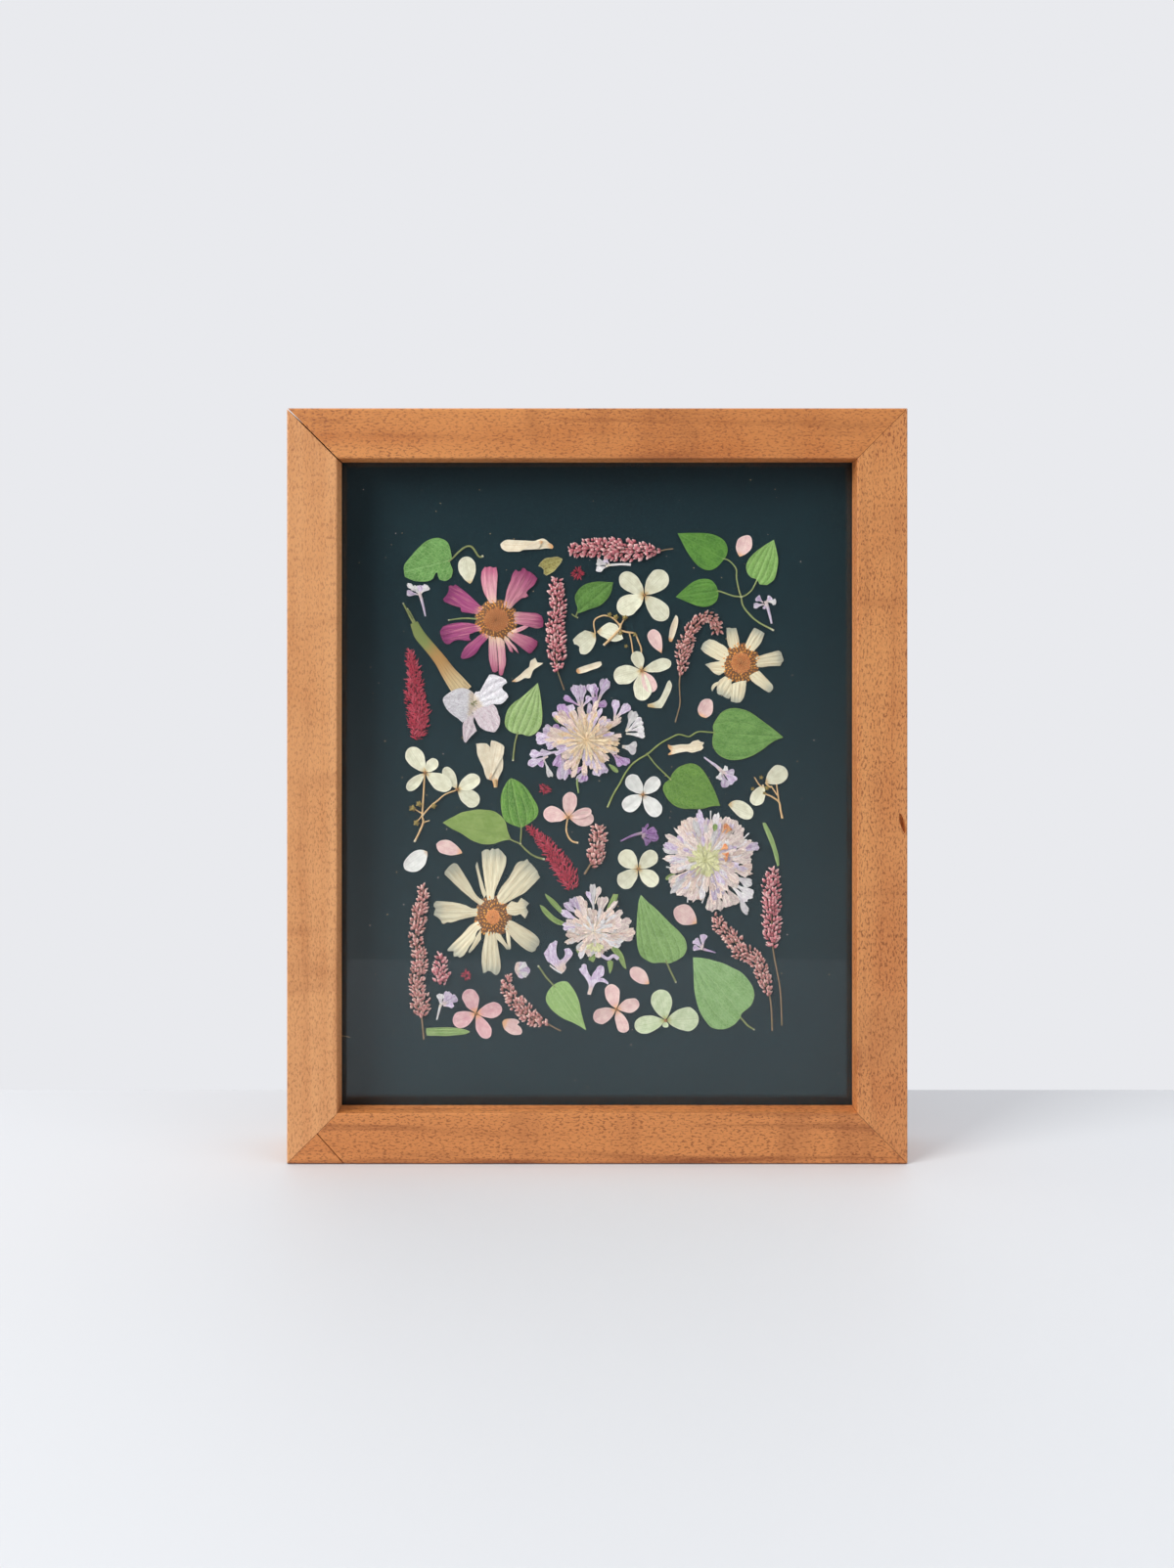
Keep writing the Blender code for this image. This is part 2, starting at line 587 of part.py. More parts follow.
fuse(
    "cosmos_cream_large",
    CREAM,
    head((-40.1, 90.9), (7.0, 7.9)),
    plate([
        (-58.7, 107.0), (-58.0, 109.1), (-54.0, 111.2), (-51.3, 110.0), (-48.8, 106.3), (-45.4, 100.2),
        (-44.3, 96.4), (-49.2, 98.3), (-54.6, 103.0),
    ]),
    plate([
        (-44.5, 115.8), (-42.1, 116.8), (-40.5, 116.5), (-39.0, 116.2), (-38.1, 117.2), (-35.0, 113.8),
        (-35.7, 109.4), (-39.0, 97.5), (-41.7, 97.2), (-43.6, 104.7),
    ]),
    plate([
        (-46.1, 112.3), (-44.5, 109.7), (-43.9, 102.8), (-41.3, 97.2), (-43.4, 97.2), (-46.2, 104.7),
    ]),
    plate([
        (-26.9, 113.1), (-28.2, 110.4), (-25.2, 111.1), (-22.9, 108.4), (-21.9, 106.0), (-27.7, 100.3),
        (-33.7, 95.7), (-38.6, 98.3), (-34.4, 105.3), (-31.1, 111.2),
    ]),
    plate([
        (-34.1, 94.1), (-29.0, 98.9), (-27.1, 99.5), (-29.0, 98.1), (-26.1, 96.0), (-28.8, 94.1),
        (-30.3, 91.9), (-28.0, 90.1), (-34.1, 90.4),
    ]),
    plate([
        (-33.7, 88.8), (-27.7, 86.4), (-22.9, 82.7), (-22.4, 79.6), (-23.9, 77.9), (-25.2, 77.0),
        (-29.3, 79.4), (-34.8, 85.1),
    ]),
    plate([(-35.6, 86.6), (-33.5, 86.2), (-33.4, 79.0), (-35.2, 80.5)]),
    plate([
        (-43.2, 85.1), (-44.3, 77.6), (-44.0, 69.0), (-42.1, 69.9), (-40.8, 69.5), (-38.6, 68.2),
        (-37.2, 71.2), (-37.6, 75.3), (-39.0, 84.7),
    ]),
    plate([
        (-48.5, 88.1), (-51.9, 84.1), (-57.3, 78.6), (-57.3, 77.6), (-55.3, 77.5), (-55.0, 75.3),
        (-52.9, 74.9), (-50.6, 77.0), (-47.3, 81.6), (-44.3, 85.8),
    ]),
    plate([
        (-62.1, 96.8), (-63.1, 94.9), (-62.5, 93.2), (-63.1, 91.5), (-60.4, 89.4), (-59.1, 87.9),
        (-56.4, 88.5), (-45.8, 91.5), (-45.8, 94.1), (-54.6, 96.2),
    ]),
)


# Scabious: many small florets reach out from the middle, wider towards their tips.
def florets(centre, tips):
    return [petal(past(centre, tip, 1.0), tip, width, 1.3, 7) for tip, width in tips]


lilac_middle = (-3.2, 161.1)
fuse(
    "scabious_lilac",
    LILAC,
    head(lilac_middle, (12.5, 12.5)),
    *florets(lilac_middle, [
        ((-8.0, 181.6), 8.3), ((-13.6, 176.3), 3.4), ((-2.3, 180.8), 4.5), ((4.1, 183.1), 4.5),
        ((12.5, 174.0), 7.6), ((19.3, 164.9), 8.3), ((15.7, 155.5), 5.3), ((12.5, 149.4), 4.5),
        ((7.5, 146.7), 4.9), ((1.1, 144.9), 6.1), ((-6.8, 142.2), 6.1), ((-13.3, 143.7), 5.7),
        ((-26.5, 150.2), 6.4), ((-20.5, 159.6), 7.6), ((-17.1, 169.8), 7.6),
    ]),
    stalk([(-6.3, 144.5), (-7.2, 141.5), (-6.8, 138.0)], radius=0.5),
)
pale_middle = (42.4, 113.4)
fuse(
    "scabious_pale",
    PALE_LILAC,
    head(pale_middle, (14.0, 14.0)),
    *florets(pale_middle, [
        ((36.7, 129.7), 7.6), ((44.3, 129.0), 4.5), ((51.5, 129.7), 8.3), ((56.0, 125.2), 5.3),
        ((62.8, 118.4), 5.7), ((59.8, 112.3), 6.8), ((60.5, 101.7), 8.3), ((57.9, 91.9), 4.2),
        ((49.9, 93.4), 9.5), ((43.5, 93.4), 6.8), ((35.6, 96.8), 7.6), ((28.7, 102.1), 6.1),
        ((26.9, 108.9), 4.9), ((25.7, 118.4), 6.8), ((31.4, 125.6), 5.3),
    ]),
)
small_middle = (-0.8, 86.9)
fuse(
    "scabious_small",
    PALE_LILAC,
    head(small_middle, (9.1, 8.7)),
    *florets(small_middle, [
        ((-1.5, 104.2), 4.2), ((3.4, 99.1), 4.9), ((-9.1, 98.7), 5.3), ((-13.3, 91.1), 4.2),
        ((-11.8, 83.5), 3.4), ((7.2, 93.4), 3.4), ((13.2, 90.0), 4.9), ((15.1, 84.7), 5.3),
        ((10.2, 80.5), 4.5),
    ]),
    plate([
        (-20.2, 99.8), (-17.4, 97.2), (-12.5, 93.0), (-7.6, 89.6), (-9.1, 87.7), (-14.8, 91.9),
        (-18.9, 96.4),
    ]),
    plate([
        (-22.2, 95.5), (-18.9, 93.4), (-14.4, 88.8), (-7.6, 86.9), (-8.3, 84.7), (-14.8, 86.6),
        (-19.7, 90.7),
    ]),
    plate([(7.0, 99.7), (8.5, 99.5), (5.3, 88.8), (2.6, 89.6)]),
    plate([(-8.3, 77.7), (-6.8, 76.2), (-1.5, 81.6), (-3.8, 83.5)]),
    plate([(-3.1, 74.1), (-1.3, 73.3), (0.2, 82.0), (-1.9, 82.8)]),
    plate([(11.6, 70.7), (7.9, 75.6), (2.6, 82.0), (4.5, 83.9), (9.8, 77.9)]),
    plate([(3.8, 74.1), (4.1, 69.2), (5.0, 68.4), (6.0, 69.2), (6.4, 74.1)]),
    stalk([(0.4, 81.3), (1.7, 76.7), (3.8, 73.5), (7.5, 74.3)], radius=0.55),
)

# White flower with its long green-brown tube.
fuse(
    "white_flower_with_tube",
    WHITE,
    plate([
        (-59.4, 175.4), (-54.6, 178.7), (-51.3, 179.1), (-47.9, 177.4), (-45.4, 174.4), (-47.0, 169.5),
        (-50.7, 165.7), (-56.6, 169.6), (-59.4, 174.4),
    ]),
    plate([
        (-47.7, 178.2), (-45.2, 177.8), (-41.5, 184.3), (-38.1, 183.8), (-35.0, 182.1), (-34.7, 181.2),
        (-36.5, 179.4), (-35.4, 177.8), (-34.2, 175.7), (-37.1, 173.0), (-40.1, 172.5), (-47.0, 169.8),
    ]),
    plate([
        (-49.0, 170.2), (-45.4, 173.2), (-40.1, 174.0), (-38.1, 169.3), (-37.4, 165.9), (-39.1, 162.5),
        (-41.1, 162.3), (-45.2, 164.2),
    ]),
    plate([
        (-48.5, 169.8), (-51.6, 165.6), (-51.6, 159.8), (-50.6, 158.1), (-46.6, 162.5), (-48.1, 165.9),
        (-47.7, 169.1),
    ]),
    plate([
        (-72.1, 205.4), (-72.5, 203.6), (-69.9, 198.1), (-66.4, 194.3), (-62.7, 189.9), (-60.7, 185.8),
        (-56.0, 178.7), (-48.5, 172.1), (-46.2, 175.9), (-51.6, 181.5), (-54.6, 185.2), (-58.7, 190.3),
        (-63.0, 195.8), (-67.0, 201.3), (-68.8, 204.5), (-70.8, 205.2),
    ], thickness=HEAD_THICKNESS * 0.8, lay=HEAD_LAY),
    stalk([(-71.0, 204.3), (-73.1, 208.1), (-74.9, 212.0)], radius=0.4),
)


# Hydrangea florets: broad papery petals that meet in a small eye.
def floret(centre, tips, eye=0.7):
    middle = head(centre, (eye, eye), EYE_THICKNESS, LAY, 1)
    return [middle, *[petal(past(centre, tip, eye / 2), tip, width) for tip, width in tips]]


def buds(*places, size=1.0):
    return [head(place, (size, size * 0.85), EYE_THICKNESS, LAY, 1) for place in places]


fuse("hydrangea_cream_top", CREAM, *floret((18.4, 215.0), [
    ((9.1, 223.3), 6.6), ((26.7, 224.2), 7.8), ((8.3, 208.3), 7.6), ((27.2, 205.6), 6.9),
]))
fuse(
    "hydrangea_sprig_top",
    CREAM,
    *floret((17.4, 186.0), [
        ((14.7, 193.3), 4.5), ((6.5, 183.2), 7.6), ((17.7, 174.3), 6.9), ((22.1, 177.8), 5.3),
        ((28.7, 189.5), 4.9),
    ]),
    plate([
        (-0.4, 200.7), (-4.6, 201.5), (-9.3, 197.8), (-8.7, 196.1), (-7.2, 195.3), (-6.6, 192.5),
        (-4.3, 192.2), (-1.2, 195.4), (-0.0, 199.4),
    ]),
    plate([
        (-0.4, 201.1), (4.5, 204.2), (7.5, 203.5), (9.1, 200.9), (10.2, 198.2), (6.9, 197.1),
        (3.2, 198.5),
    ]),
    stalk([(9.1, 204.1), (8.9, 202.2), (6.0, 199.0), (2.6, 195.8)], radius=0.5),
    stalk([
        (-0.6, 200.5), (-1.2, 203.9), (0.1, 206.3), (2.8, 207.2), (5.8, 206.3), (9.1, 203.1),
    ], radius=0.3),
    stalk([(11.4, 206.4), (8.9, 202.8)], radius=0.3),
    stalk([(8.3, 201.6), (14.7, 200.1), (17.5, 194.1), (17.2, 185.7)], radius=0.3),
    stalk([(12.5, 200.9), (13.5, 196.8), (14.0, 192.4)], radius=0.3),
    *buds((4.9, 207.3), (7.2, 206.4), (10.8, 205.7), (9.3, 200.1), (14.7, 199.7), (12.8, 195.6)),
)
fuse("hydrangea_white_middle", WHITE, *floret((17.8, 137.9), [
    ((12.0, 145.0), 5.7), ((23.8, 144.5), 5.2), ((10.3, 132.3), 6.0), ((23.9, 129.7), 5.8),
]))
fuse(
    "hydrangea_pink_with_stalk",
    PALE_ROSE,
    *floret((-11.1, 129.1), [
        ((-20.7, 131.0), 6.1), ((-10.1, 138.9), 5.5), ((-1.2, 128.0), 5.7), ((-2.1, 132.0), 3.8),
    ]),
    stalk([
        (-11.3, 128.8), (-11.8, 124.2), (-10.9, 121.4), (-9.3, 119.7), (-7.2, 119.3),
    ], radius=0.38),
)
fuse(
    "hydrangea_pair_left",
    CREAM,
    *floret((-66.4, 146.4), [
        ((-72.7, 156.0), 6.6), ((-56.4, 140.1), 6.1), ((-61.7, 151.7), 4.4), ((-73.5, 139.7), 3.8),
    ]),
    *floret((-54.0, 140.0), [
        ((-58.8, 148.5), 4.0), ((-45.3, 145.2), 5.7), ((-46.0, 133.5), 6.4), ((-54.3, 137.3), 1.5),
    ]),
    stalk([(-66.6, 146.4), (-67.5, 130.1), (-67.1, 127.5), (-70.5, 119.7)], radius=0.45),
    stalk([(-54.0, 140.0), (-58.7, 138.0), (-64.1, 133.6), (-67.5, 129.7)], radius=0.36),
    stalk([(-67.3, 127.1), (-64.7, 127.9)], radius=0.3),
    stalk([(-67.4, 130.5), (-71.0, 132.7)], radius=0.3),
    stalk([(-67.4, 130.1), (-69.7, 127.2)], radius=0.3),
    *buds((-71.2, 132.7), (-68.7, 134.1), (-63.7, 133.5), (-69.7, 127.1), size=1.3),
)
fuse(
    "hydrangea_sprig_right",
    CREAM,
    petal((65.2, 142.5), (73.2, 147.8), 6.8),
    petal((64.5, 141.5), (60.5, 134.0), 5.5),
    stalk([(64.1, 140.9), (64.2, 142.5), (65.6, 142.7)], radius=0.36),
    stalk([(71.7, 128.8), (70.4, 135.1), (67.4, 137.3), (64.5, 138.9), (64.2, 141.8)], radius=0.4),
    stalk([(70.4, 135.1), (70.0, 138.0), (69.4, 143.0)], radius=0.36),
    stalk([(69.8, 137.7), (67.4, 141.3)], radius=0.34),
    stalk([(67.5, 140.9), (66.3, 141.3), (65.5, 142.8)], radius=0.5),
    stalk([(60.9, 144.7), (62.6, 142.0), (64.3, 140.3)], radius=0.3),
)
fuse("hydrangea_cream_low", CREAM, *floret((16.0, 109.2), [
    ((9.3, 115.9), 6.4), ((22.8, 116.0), 5.5), ((23.4, 103.1), 6.2), ((8.3, 102.7), 6.4),
]))
fuse("hydrangea_pink_low_left", ROSE, *floret((-46.7, 53.4), [
    ((-49.9, 62.7), 6.0), ((-36.7, 55.5), 5.9), ((-55.5, 49.3), 6.1), ((-41.8, 43.8), 5.1),
]))
fuse("hydrangea_pink_low_middle", PALE_ROSE, *floret((7.5, 55.0), [
    ((5.1, 64.6), 5.5), ((16.3, 57.8), 5.1), ((-1.2, 50.8), 5.9), ((11.2, 46.1), 4.7),
]))
fuse("hydrangea_green_low", GREENISH_CREAM, *floret((26.6, 50.7), [
    ((24.0, 62.6), 7.9), ((14.5, 47.6), 6.8), ((39.5, 51.2), 8.9), ((26.5, 48.3), 2.3),
]))

# Flower spikes.
fuse(
    "spike_red_left",
    CRIMSON,
    spike([
        (-72.5, 192.9), (-70.8, 185.7), (-70.5, 178.9), (-69.9, 174.0), (-68.8, 169.1), (-68.9, 163.8),
        (-70.0, 158.9),
    ],
          [2.6, 5.3, 6.4, 7.2, 8.3, 8.7, 3.0]),
)
fuse(
    "spike_red_middle",
    CRIMSON,
    spike([
        (-26.3, 125.2), (-23.1, 122.5), (-19.7, 118.7), (-16.3, 113.8), (-12.9, 108.9), (-10.2, 104.4),
        (-9.5, 100.4),
    ],
          [1.9, 3.8, 5.3, 6.8, 7.6, 7.2, 2.6]),
)
fuse(
    "spike_pink_top",
    ROSE,
    spike([
        (-10.2, 232.1), (-3.4, 233.2), (3.0, 233.4), (9.1, 232.5), (15.1, 232.3), (21.2, 232.1),
        (24.6, 232.2),
    ],
          [2.6, 6.1, 7.2, 7.9, 7.2, 5.7, 1.9]),
    stalk([(23.4, 232.1), (26.9, 232.7), (29.5, 233.0)], radius=0.3),
)
fuse(
    "spike_pink_centre",
    ROSE,
    spike([
        (-15.5, 221.1), (-15.9, 216.4), (-14.6, 211.9), (-16.1, 204.3), (-15.7, 199.4), (-15.5, 193.7),
        (-15.5, 188.8), (-15.2, 185.0),
    ],
          [2.6, 5.3, 5.7, 5.7, 6.4, 6.8, 6.8, 1.9]),
    stalk([(-15.4, 186.5), (-14.0, 182.3), (-12.7, 178.4)], radius=0.3),
)
fuse(
    "spike_pink_curved",
    ROSE,
    spike([
        (46.5, 200.9), (45.8, 205.0), (42.4, 206.7), (39.2, 205.2), (36.5, 201.3), (34.4, 197.1),
        (33.3, 192.5), (32.9, 187.6), (32.2, 183.5),
    ], [3.0, 4.5, 3.8, 4.2, 4.9, 5.3, 5.7, 4.5, 1.5]),
    stalk([(32.3, 185.0), (31.9, 180.4), (32.2, 173.6), (31.4, 169.8), (30.3, 165.9)], radius=0.3),
)
fuse(
    "spike_left",
    PALE_ROSE,
    spike([
        (-67.6, 102.3), (-67.0, 99.1), (-68.2, 94.1), (-69.3, 87.7), (-70.0, 82.0), (-68.7, 77.5),
        (-68.5, 71.0), (-69.5, 66.9), (-69.3, 63.1), (-68.2, 58.6), (-67.8, 54.0), (-67.8, 51.0),
    ],
          [2.6, 4.5, 5.3, 5.7, 4.9, 4.5, 5.3, 6.1, 5.3, 6.4, 7.9, 2.3]),
    stalk([(-67.8, 52.5), (-67.4, 48.7), (-66.9, 43.3)], radius=0.36),
)
fuse(
    "bud_cluster",
    ROSE,
    spike([(-60.6, 76.2), (-60.2, 72.9), (-60.2, 69.2), (-60.8, 64.0)], [1.9, 4.5, 6.4, 2.3]),
)
fuse(
    "spike_right",
    ROSE,
    spike([
        (68.1, 109.1), (67.4, 104.7), (67.2, 99.1), (67.4, 93.4), (67.7, 87.7), (67.7, 82.8),
        (68.0, 77.9),
    ],
          [2.3, 5.7, 6.8, 6.8, 6.4, 5.7, 1.9]),
    stalk([
        (68.0, 79.4), (68.7, 74.5), (69.5, 70.5), (70.8, 63.1), (71.3, 55.5), (71.5, 48.7),
    ], radius=0.33),
)
fuse(
    "spike_right_low",
    PALE_ROSE,
    spike([
        (46.3, 91.1), (47.7, 86.9), (52.6, 82.0), (54.9, 77.9), (60.0, 75.6), (63.2, 71.2),
        (64.9, 66.1), (66.6, 60.1),
    ],
          [2.6, 5.3, 6.4, 6.1, 5.7, 5.7, 5.3, 1.9]),
    stalk([(66.5, 61.6), (67.4, 55.5), (67.8, 46.6)], radius=0.36),
)
fuse(
    "spike_bottom",
    PALE_ROSE,
    spike([
        (-33.9, 68.2), (-35.2, 63.9), (-32.2, 58.9), (-28.8, 55.2), (-25.0, 51.7), (-21.6, 50.4),
        (-18.6, 49.1),
    ],
          [2.3, 3.8, 5.3, 6.1, 6.4, 5.3, 1.5]),
    stalk([(-19.7, 49.7), (-16.7, 48.0), (-14.0, 46.6)], radius=0.33),
)
fuse(
    "spike_tip_middle",
    ROSE,
    spike([
        (0.4, 125.7), (0.7, 121.4), (-0.0, 117.6), (-0.5, 113.1), (-2.7, 110.2),
    ], [4.2, 6.4, 6.1, 7.2, 2.3]),
    stalk([(-2.1, 111.5), (-3.6, 109.1), (-4.8, 107.2)], radius=0.45),
)

# Loose petals and scraps.
fuse("petal_long_top", CREAM, plate([
    (-37.3, 234.8), (-34.5, 236.5), (-29.2, 236.2), (-24.1, 236.0), (-20.7, 236.9), (-18.3, 235.2),
    (-16.8, 234.0), (-17.0, 233.0), (-21.4, 232.9), (-28.0, 232.7), (-29.9, 231.9), (-34.5, 231.9),
    (-36.9, 233.3),
]))
fuse("petal_oval_top", CREAM, petal((-49.0, 219.5), (-50.9, 229.9), 6.7, 0.3, 14))
fuse("folded_cream_bud", CREAM, plate([
    (-46.6, 157.6), (-42.5, 157.6), (-41.1, 156.2), (-40.8, 158.9), (-37.1, 157.6), (-35.7, 156.2),
    (-36.4, 152.8), (-36.4, 147.8), (-38.1, 144.1), (-38.4, 140.7), (-39.8, 140.7), (-40.4, 143.4),
    (-42.5, 144.1), (-43.8, 148.1), (-46.2, 153.6),
]))
fuse("cream_sliver", CREAM, plate([
    (27.5, 157.4), (28.9, 156.9), (35.4, 157.4), (36.9, 158.3), (39.5, 159.1), (41.2, 158.2),
    (40.5, 156.9), (41.1, 156.3), (40.7, 155.3), (36.9, 154.4), (30.8, 154.1), (27.8, 153.3),
    (28.7, 154.7), (27.8, 156.0),
]))
fuse("petal_cream_right", CREAM, petal((50.8, 134.0), (60.3, 130.3), 6.1, 0.3, 14))
fuse("petal_cream_left", CREAM, petal((-65.5, 116.1), (-74.0, 109.1), 6.2, 0.3, 14))
fuse("petal_pink_left", PALE_ROSE, petal((-51.9, 115.4), (-62.1, 118.9), 5.5, 0.3, 14))
fuse("leaf_sliver_right", SEPAL_GREEN, plate([
    (63.5, 126.7), (64.8, 127.6), (67.7, 123.3), (69.5, 119.9), (70.4, 115.3), (70.1, 110.4),
    (69.5, 110.4), (68.9, 115.3), (67.4, 120.6), (65.5, 123.7),
]))
fuse("leaf_strip_bottom", SEPAL_GREEN, plate([
    (-49.1, 46.1), (-52.3, 47.3), (-57.6, 47.8), (-62.1, 47.5), (-66.0, 47.2), (-65.8, 44.8),
    (-61.3, 44.7), (-56.0, 44.6), (-51.9, 45.2),
]))


# Points driven into the rails behind the board.
def retaining_point(name, turn, offset):
    """A tab as it stands at the left, turned about the frame's middle to its own side."""
    across = turn in (0, 180)
    reach = (REBATE_OPENING_WIDTH if across else REBATE_OPENING_HEIGHT) / 2 - SEAT_GAP
    low = (-reach, BOARD_BACK + SEAT_GAP, offset - POINT_WIDTH / 2)
    high = (-reach + POINT_LENGTH, BOARD_BACK + SEAT_GAP + POINT_THICKNESS, offset + POINT_WIDTH / 2)
    tab = box(name, low, high)
    middle = Matrix.Translation((0, 0, OUTER_HEIGHT / 2))
    tab.data.transform(middle @ Matrix.Rotation(math.radians(turn), 4, "Y"))
    finish(tab, STEEL, 0.35, 1.0)


for point_name, (point_turn, point_offset) in POINT_PLACES.items():
    retaining_point(point_name, point_turn, point_offset)


# Sawtooth hanger on the back of the top rail.
def hanger():
    """A flat strip whose lower edge has the teeth that hang on a nail."""
    half = HANGER_LENGTH / 2
    toothed = half * 0.6
    pitch = 2 * toothed / HANGER_TEETH
    outline = [(-half, 0), (-half, HANGER_WIDTH), (half, HANGER_WIDTH), (half, 0)]
    for tooth in range(HANGER_TEETH):
        right = toothed - tooth * pitch
        outline += [(right, 0), (right - pitch / 2, HANGER_TOOTH)]
    outline.append((-toothed, 0))
    obj = outline_object(outline, "2D")
    obj.data.fill_mode = "BOTH"
    obj.data.extrude = HANGER_THICKNESS / 2
    facing(obj, BACK + SEAT_GAP + HANGER_THICKNESS / 2)
    wall = FACE_WIDTH - REBATE_WIDTH
    obj.location.z = OUTER_HEIGHT - (wall + HANGER_WIDTH) / 2
    finish(mesh_object("sawtooth_hanger", as_mesh(obj)), BRASS, 0.35, 1.0)


hanger()
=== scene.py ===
"""A pressed flower frame: real pressed leaves, petals and flower heads on a dark card behind glass,
in a square-edged frame of stained hardwood. Metres, +Z up, front towards -Y, origin under the middle.
Places on the card are millimetres: across from the middle of the frame, and up from its underside.
"""
import math
import random

import bmesh
import bpy
import numpy as np
from mathutils import Matrix, Vector, geometry, noise


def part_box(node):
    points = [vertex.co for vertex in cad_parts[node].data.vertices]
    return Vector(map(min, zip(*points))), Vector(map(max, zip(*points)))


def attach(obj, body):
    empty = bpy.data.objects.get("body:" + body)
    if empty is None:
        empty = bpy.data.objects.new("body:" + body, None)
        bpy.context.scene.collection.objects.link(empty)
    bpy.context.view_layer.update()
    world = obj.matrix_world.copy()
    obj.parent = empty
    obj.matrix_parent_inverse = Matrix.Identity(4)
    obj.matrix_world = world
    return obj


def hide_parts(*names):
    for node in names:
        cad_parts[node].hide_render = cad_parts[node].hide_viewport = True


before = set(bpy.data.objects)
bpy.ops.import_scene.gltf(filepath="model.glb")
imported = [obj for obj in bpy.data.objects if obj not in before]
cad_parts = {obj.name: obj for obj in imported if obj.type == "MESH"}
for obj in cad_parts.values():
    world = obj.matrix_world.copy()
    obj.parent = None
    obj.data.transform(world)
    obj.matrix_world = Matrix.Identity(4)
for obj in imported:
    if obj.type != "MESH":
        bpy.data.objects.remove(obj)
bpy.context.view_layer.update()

MM = 0.001


# The room
# The frame stands on a pale painted shelf, near its back edge, in soft daylight from the left. Nothing here
# is part of the object.
TABLE_COLOUR = (0.715, 0.73, 0.75)
TABLE_FRONT = -0.34
TABLE_BACK = 0.07
TABLE_SIDE = 1.1
EYE = (-0.0057, -0.495, 0.1846)
LENS = 29.2


def room_light(name, place, aim, width, height, power, colour):
    lamp = bpy.data.lights.new(name, "AREA")
    lamp.shape = "RECTANGLE"
    lamp.size = width
    lamp.size_y = height
    lamp.energy = power
    lamp.color = colour
    stand = bpy.data.objects.new(name, lamp)
    stand.location = place
    stand.rotation_euler = (Vector(aim) - Vector(place)).to_track_quat("-Z", "Y").to_euler()
    bpy.context.scene.collection.objects.link(stand)


def table_top():
    """A long painted board."""
    shape = bmesh.new()
    corners = [(-TABLE_SIDE, TABLE_FRONT), (TABLE_SIDE, TABLE_FRONT), (TABLE_SIDE, TABLE_BACK),
               (-TABLE_SIDE, TABLE_BACK)]
    shape.faces.new([shape.verts.new((x, y, 0)) for x, y in corners])
    mesh = bpy.data.meshes.new("table_top")
    shape.to_mesh(mesh)
    shape.free()
    top = bpy.data.objects.new("table_top", mesh)
    top.location.z = -0.0002
    bpy.context.scene.collection.objects.link(top)
    paint = bpy.data.materials.new("table_paint")
    paint.use_nodes = True
    shader = paint.node_tree.nodes["Principled BSDF"]
    shader.inputs["Base Color"].default_value = (*TABLE_COLOUR, 1)
    shader.inputs["Roughness"].default_value = 0.6
    mesh.materials.append(paint)


table_top()
room_light("window_left", (-1.5, -1.1, 1.2), (0, 0, 0.12), 1.0, 1.2, 33, (1.0, 0.99, 0.97))
room_light("ceiling_bounce", (0.2, -0.5, 1.9), (0, 0, 0.1), 1.6, 1.2, 8, (0.97, 0.98, 1.0))
room_light("right_fill", (1.3, -0.9, 0.6), (0, 0, 0.14), 1.0, 1.0, 4, (0.96, 0.98, 1.0))

air = bpy.data.worlds.new("daylight_room")
air.use_nodes = True
bpy.context.scene.world = air
air_nodes = air.node_tree.nodes
air_links = air.node_tree.links
heading = air_nodes.new("ShaderNodeTexCoord")
parts_of_heading = air_nodes.new("ShaderNodeSeparateXYZ")
air_links.new(heading.outputs["Generated"], parts_of_heading.inputs[0])


def room_blend(axis, start, end, first, second):
    """Two room colours that pass into each other along one axis of the heading."""
    share = air_nodes.new("ShaderNodeMapRange")
    share.interpolation_type = "SMOOTHSTEP"
    share.inputs["From Min"].default_value = start
    share.inputs["From Max"].default_value = end
    mixed = air_nodes.new("ShaderNodeMix")
    mixed.data_type = "RGBA"
    air_links.new(parts_of_heading.outputs[axis], share.inputs["Value"])
    air_links.new(share.outputs["Result"], mixed.inputs[0])
    for socket, colour in ((mixed.inputs[6], first), (mixed.inputs[7], second)):
        if hasattr(colour, "is_output"):
            air_links.new(colour, socket)
        else:
            socket.default_value = (*colour, 1)
    return mixed.outputs[2]


front = room_blend("Z", -0.27, 0.12, (0.66, 0.68, 0.70), (0.12, 0.14, 0.16))
room = room_blend("Y", -0.55, -0.1, front, (0.815, 0.823, 0.854))
air_links.new(room, air_nodes["Background"].inputs["Color"])
bpy.context.scene.view_settings.view_transform = "Standard"

eye_data = bpy.data.cameras.new("eye")
eye_data.lens = LENS
eye_data.clip_start = 0.01
eye_data.shift_x = 5 / 1603
eye_data.shift_y = -112.5 / 1603
eye = bpy.data.objects.new("eye", eye_data)
eye.location = EYE
eye.rotation_euler = (math.pi / 2, 0, 0)
bpy.context.scene.collection.objects.link(eye)
bpy.context.scene.camera = eye


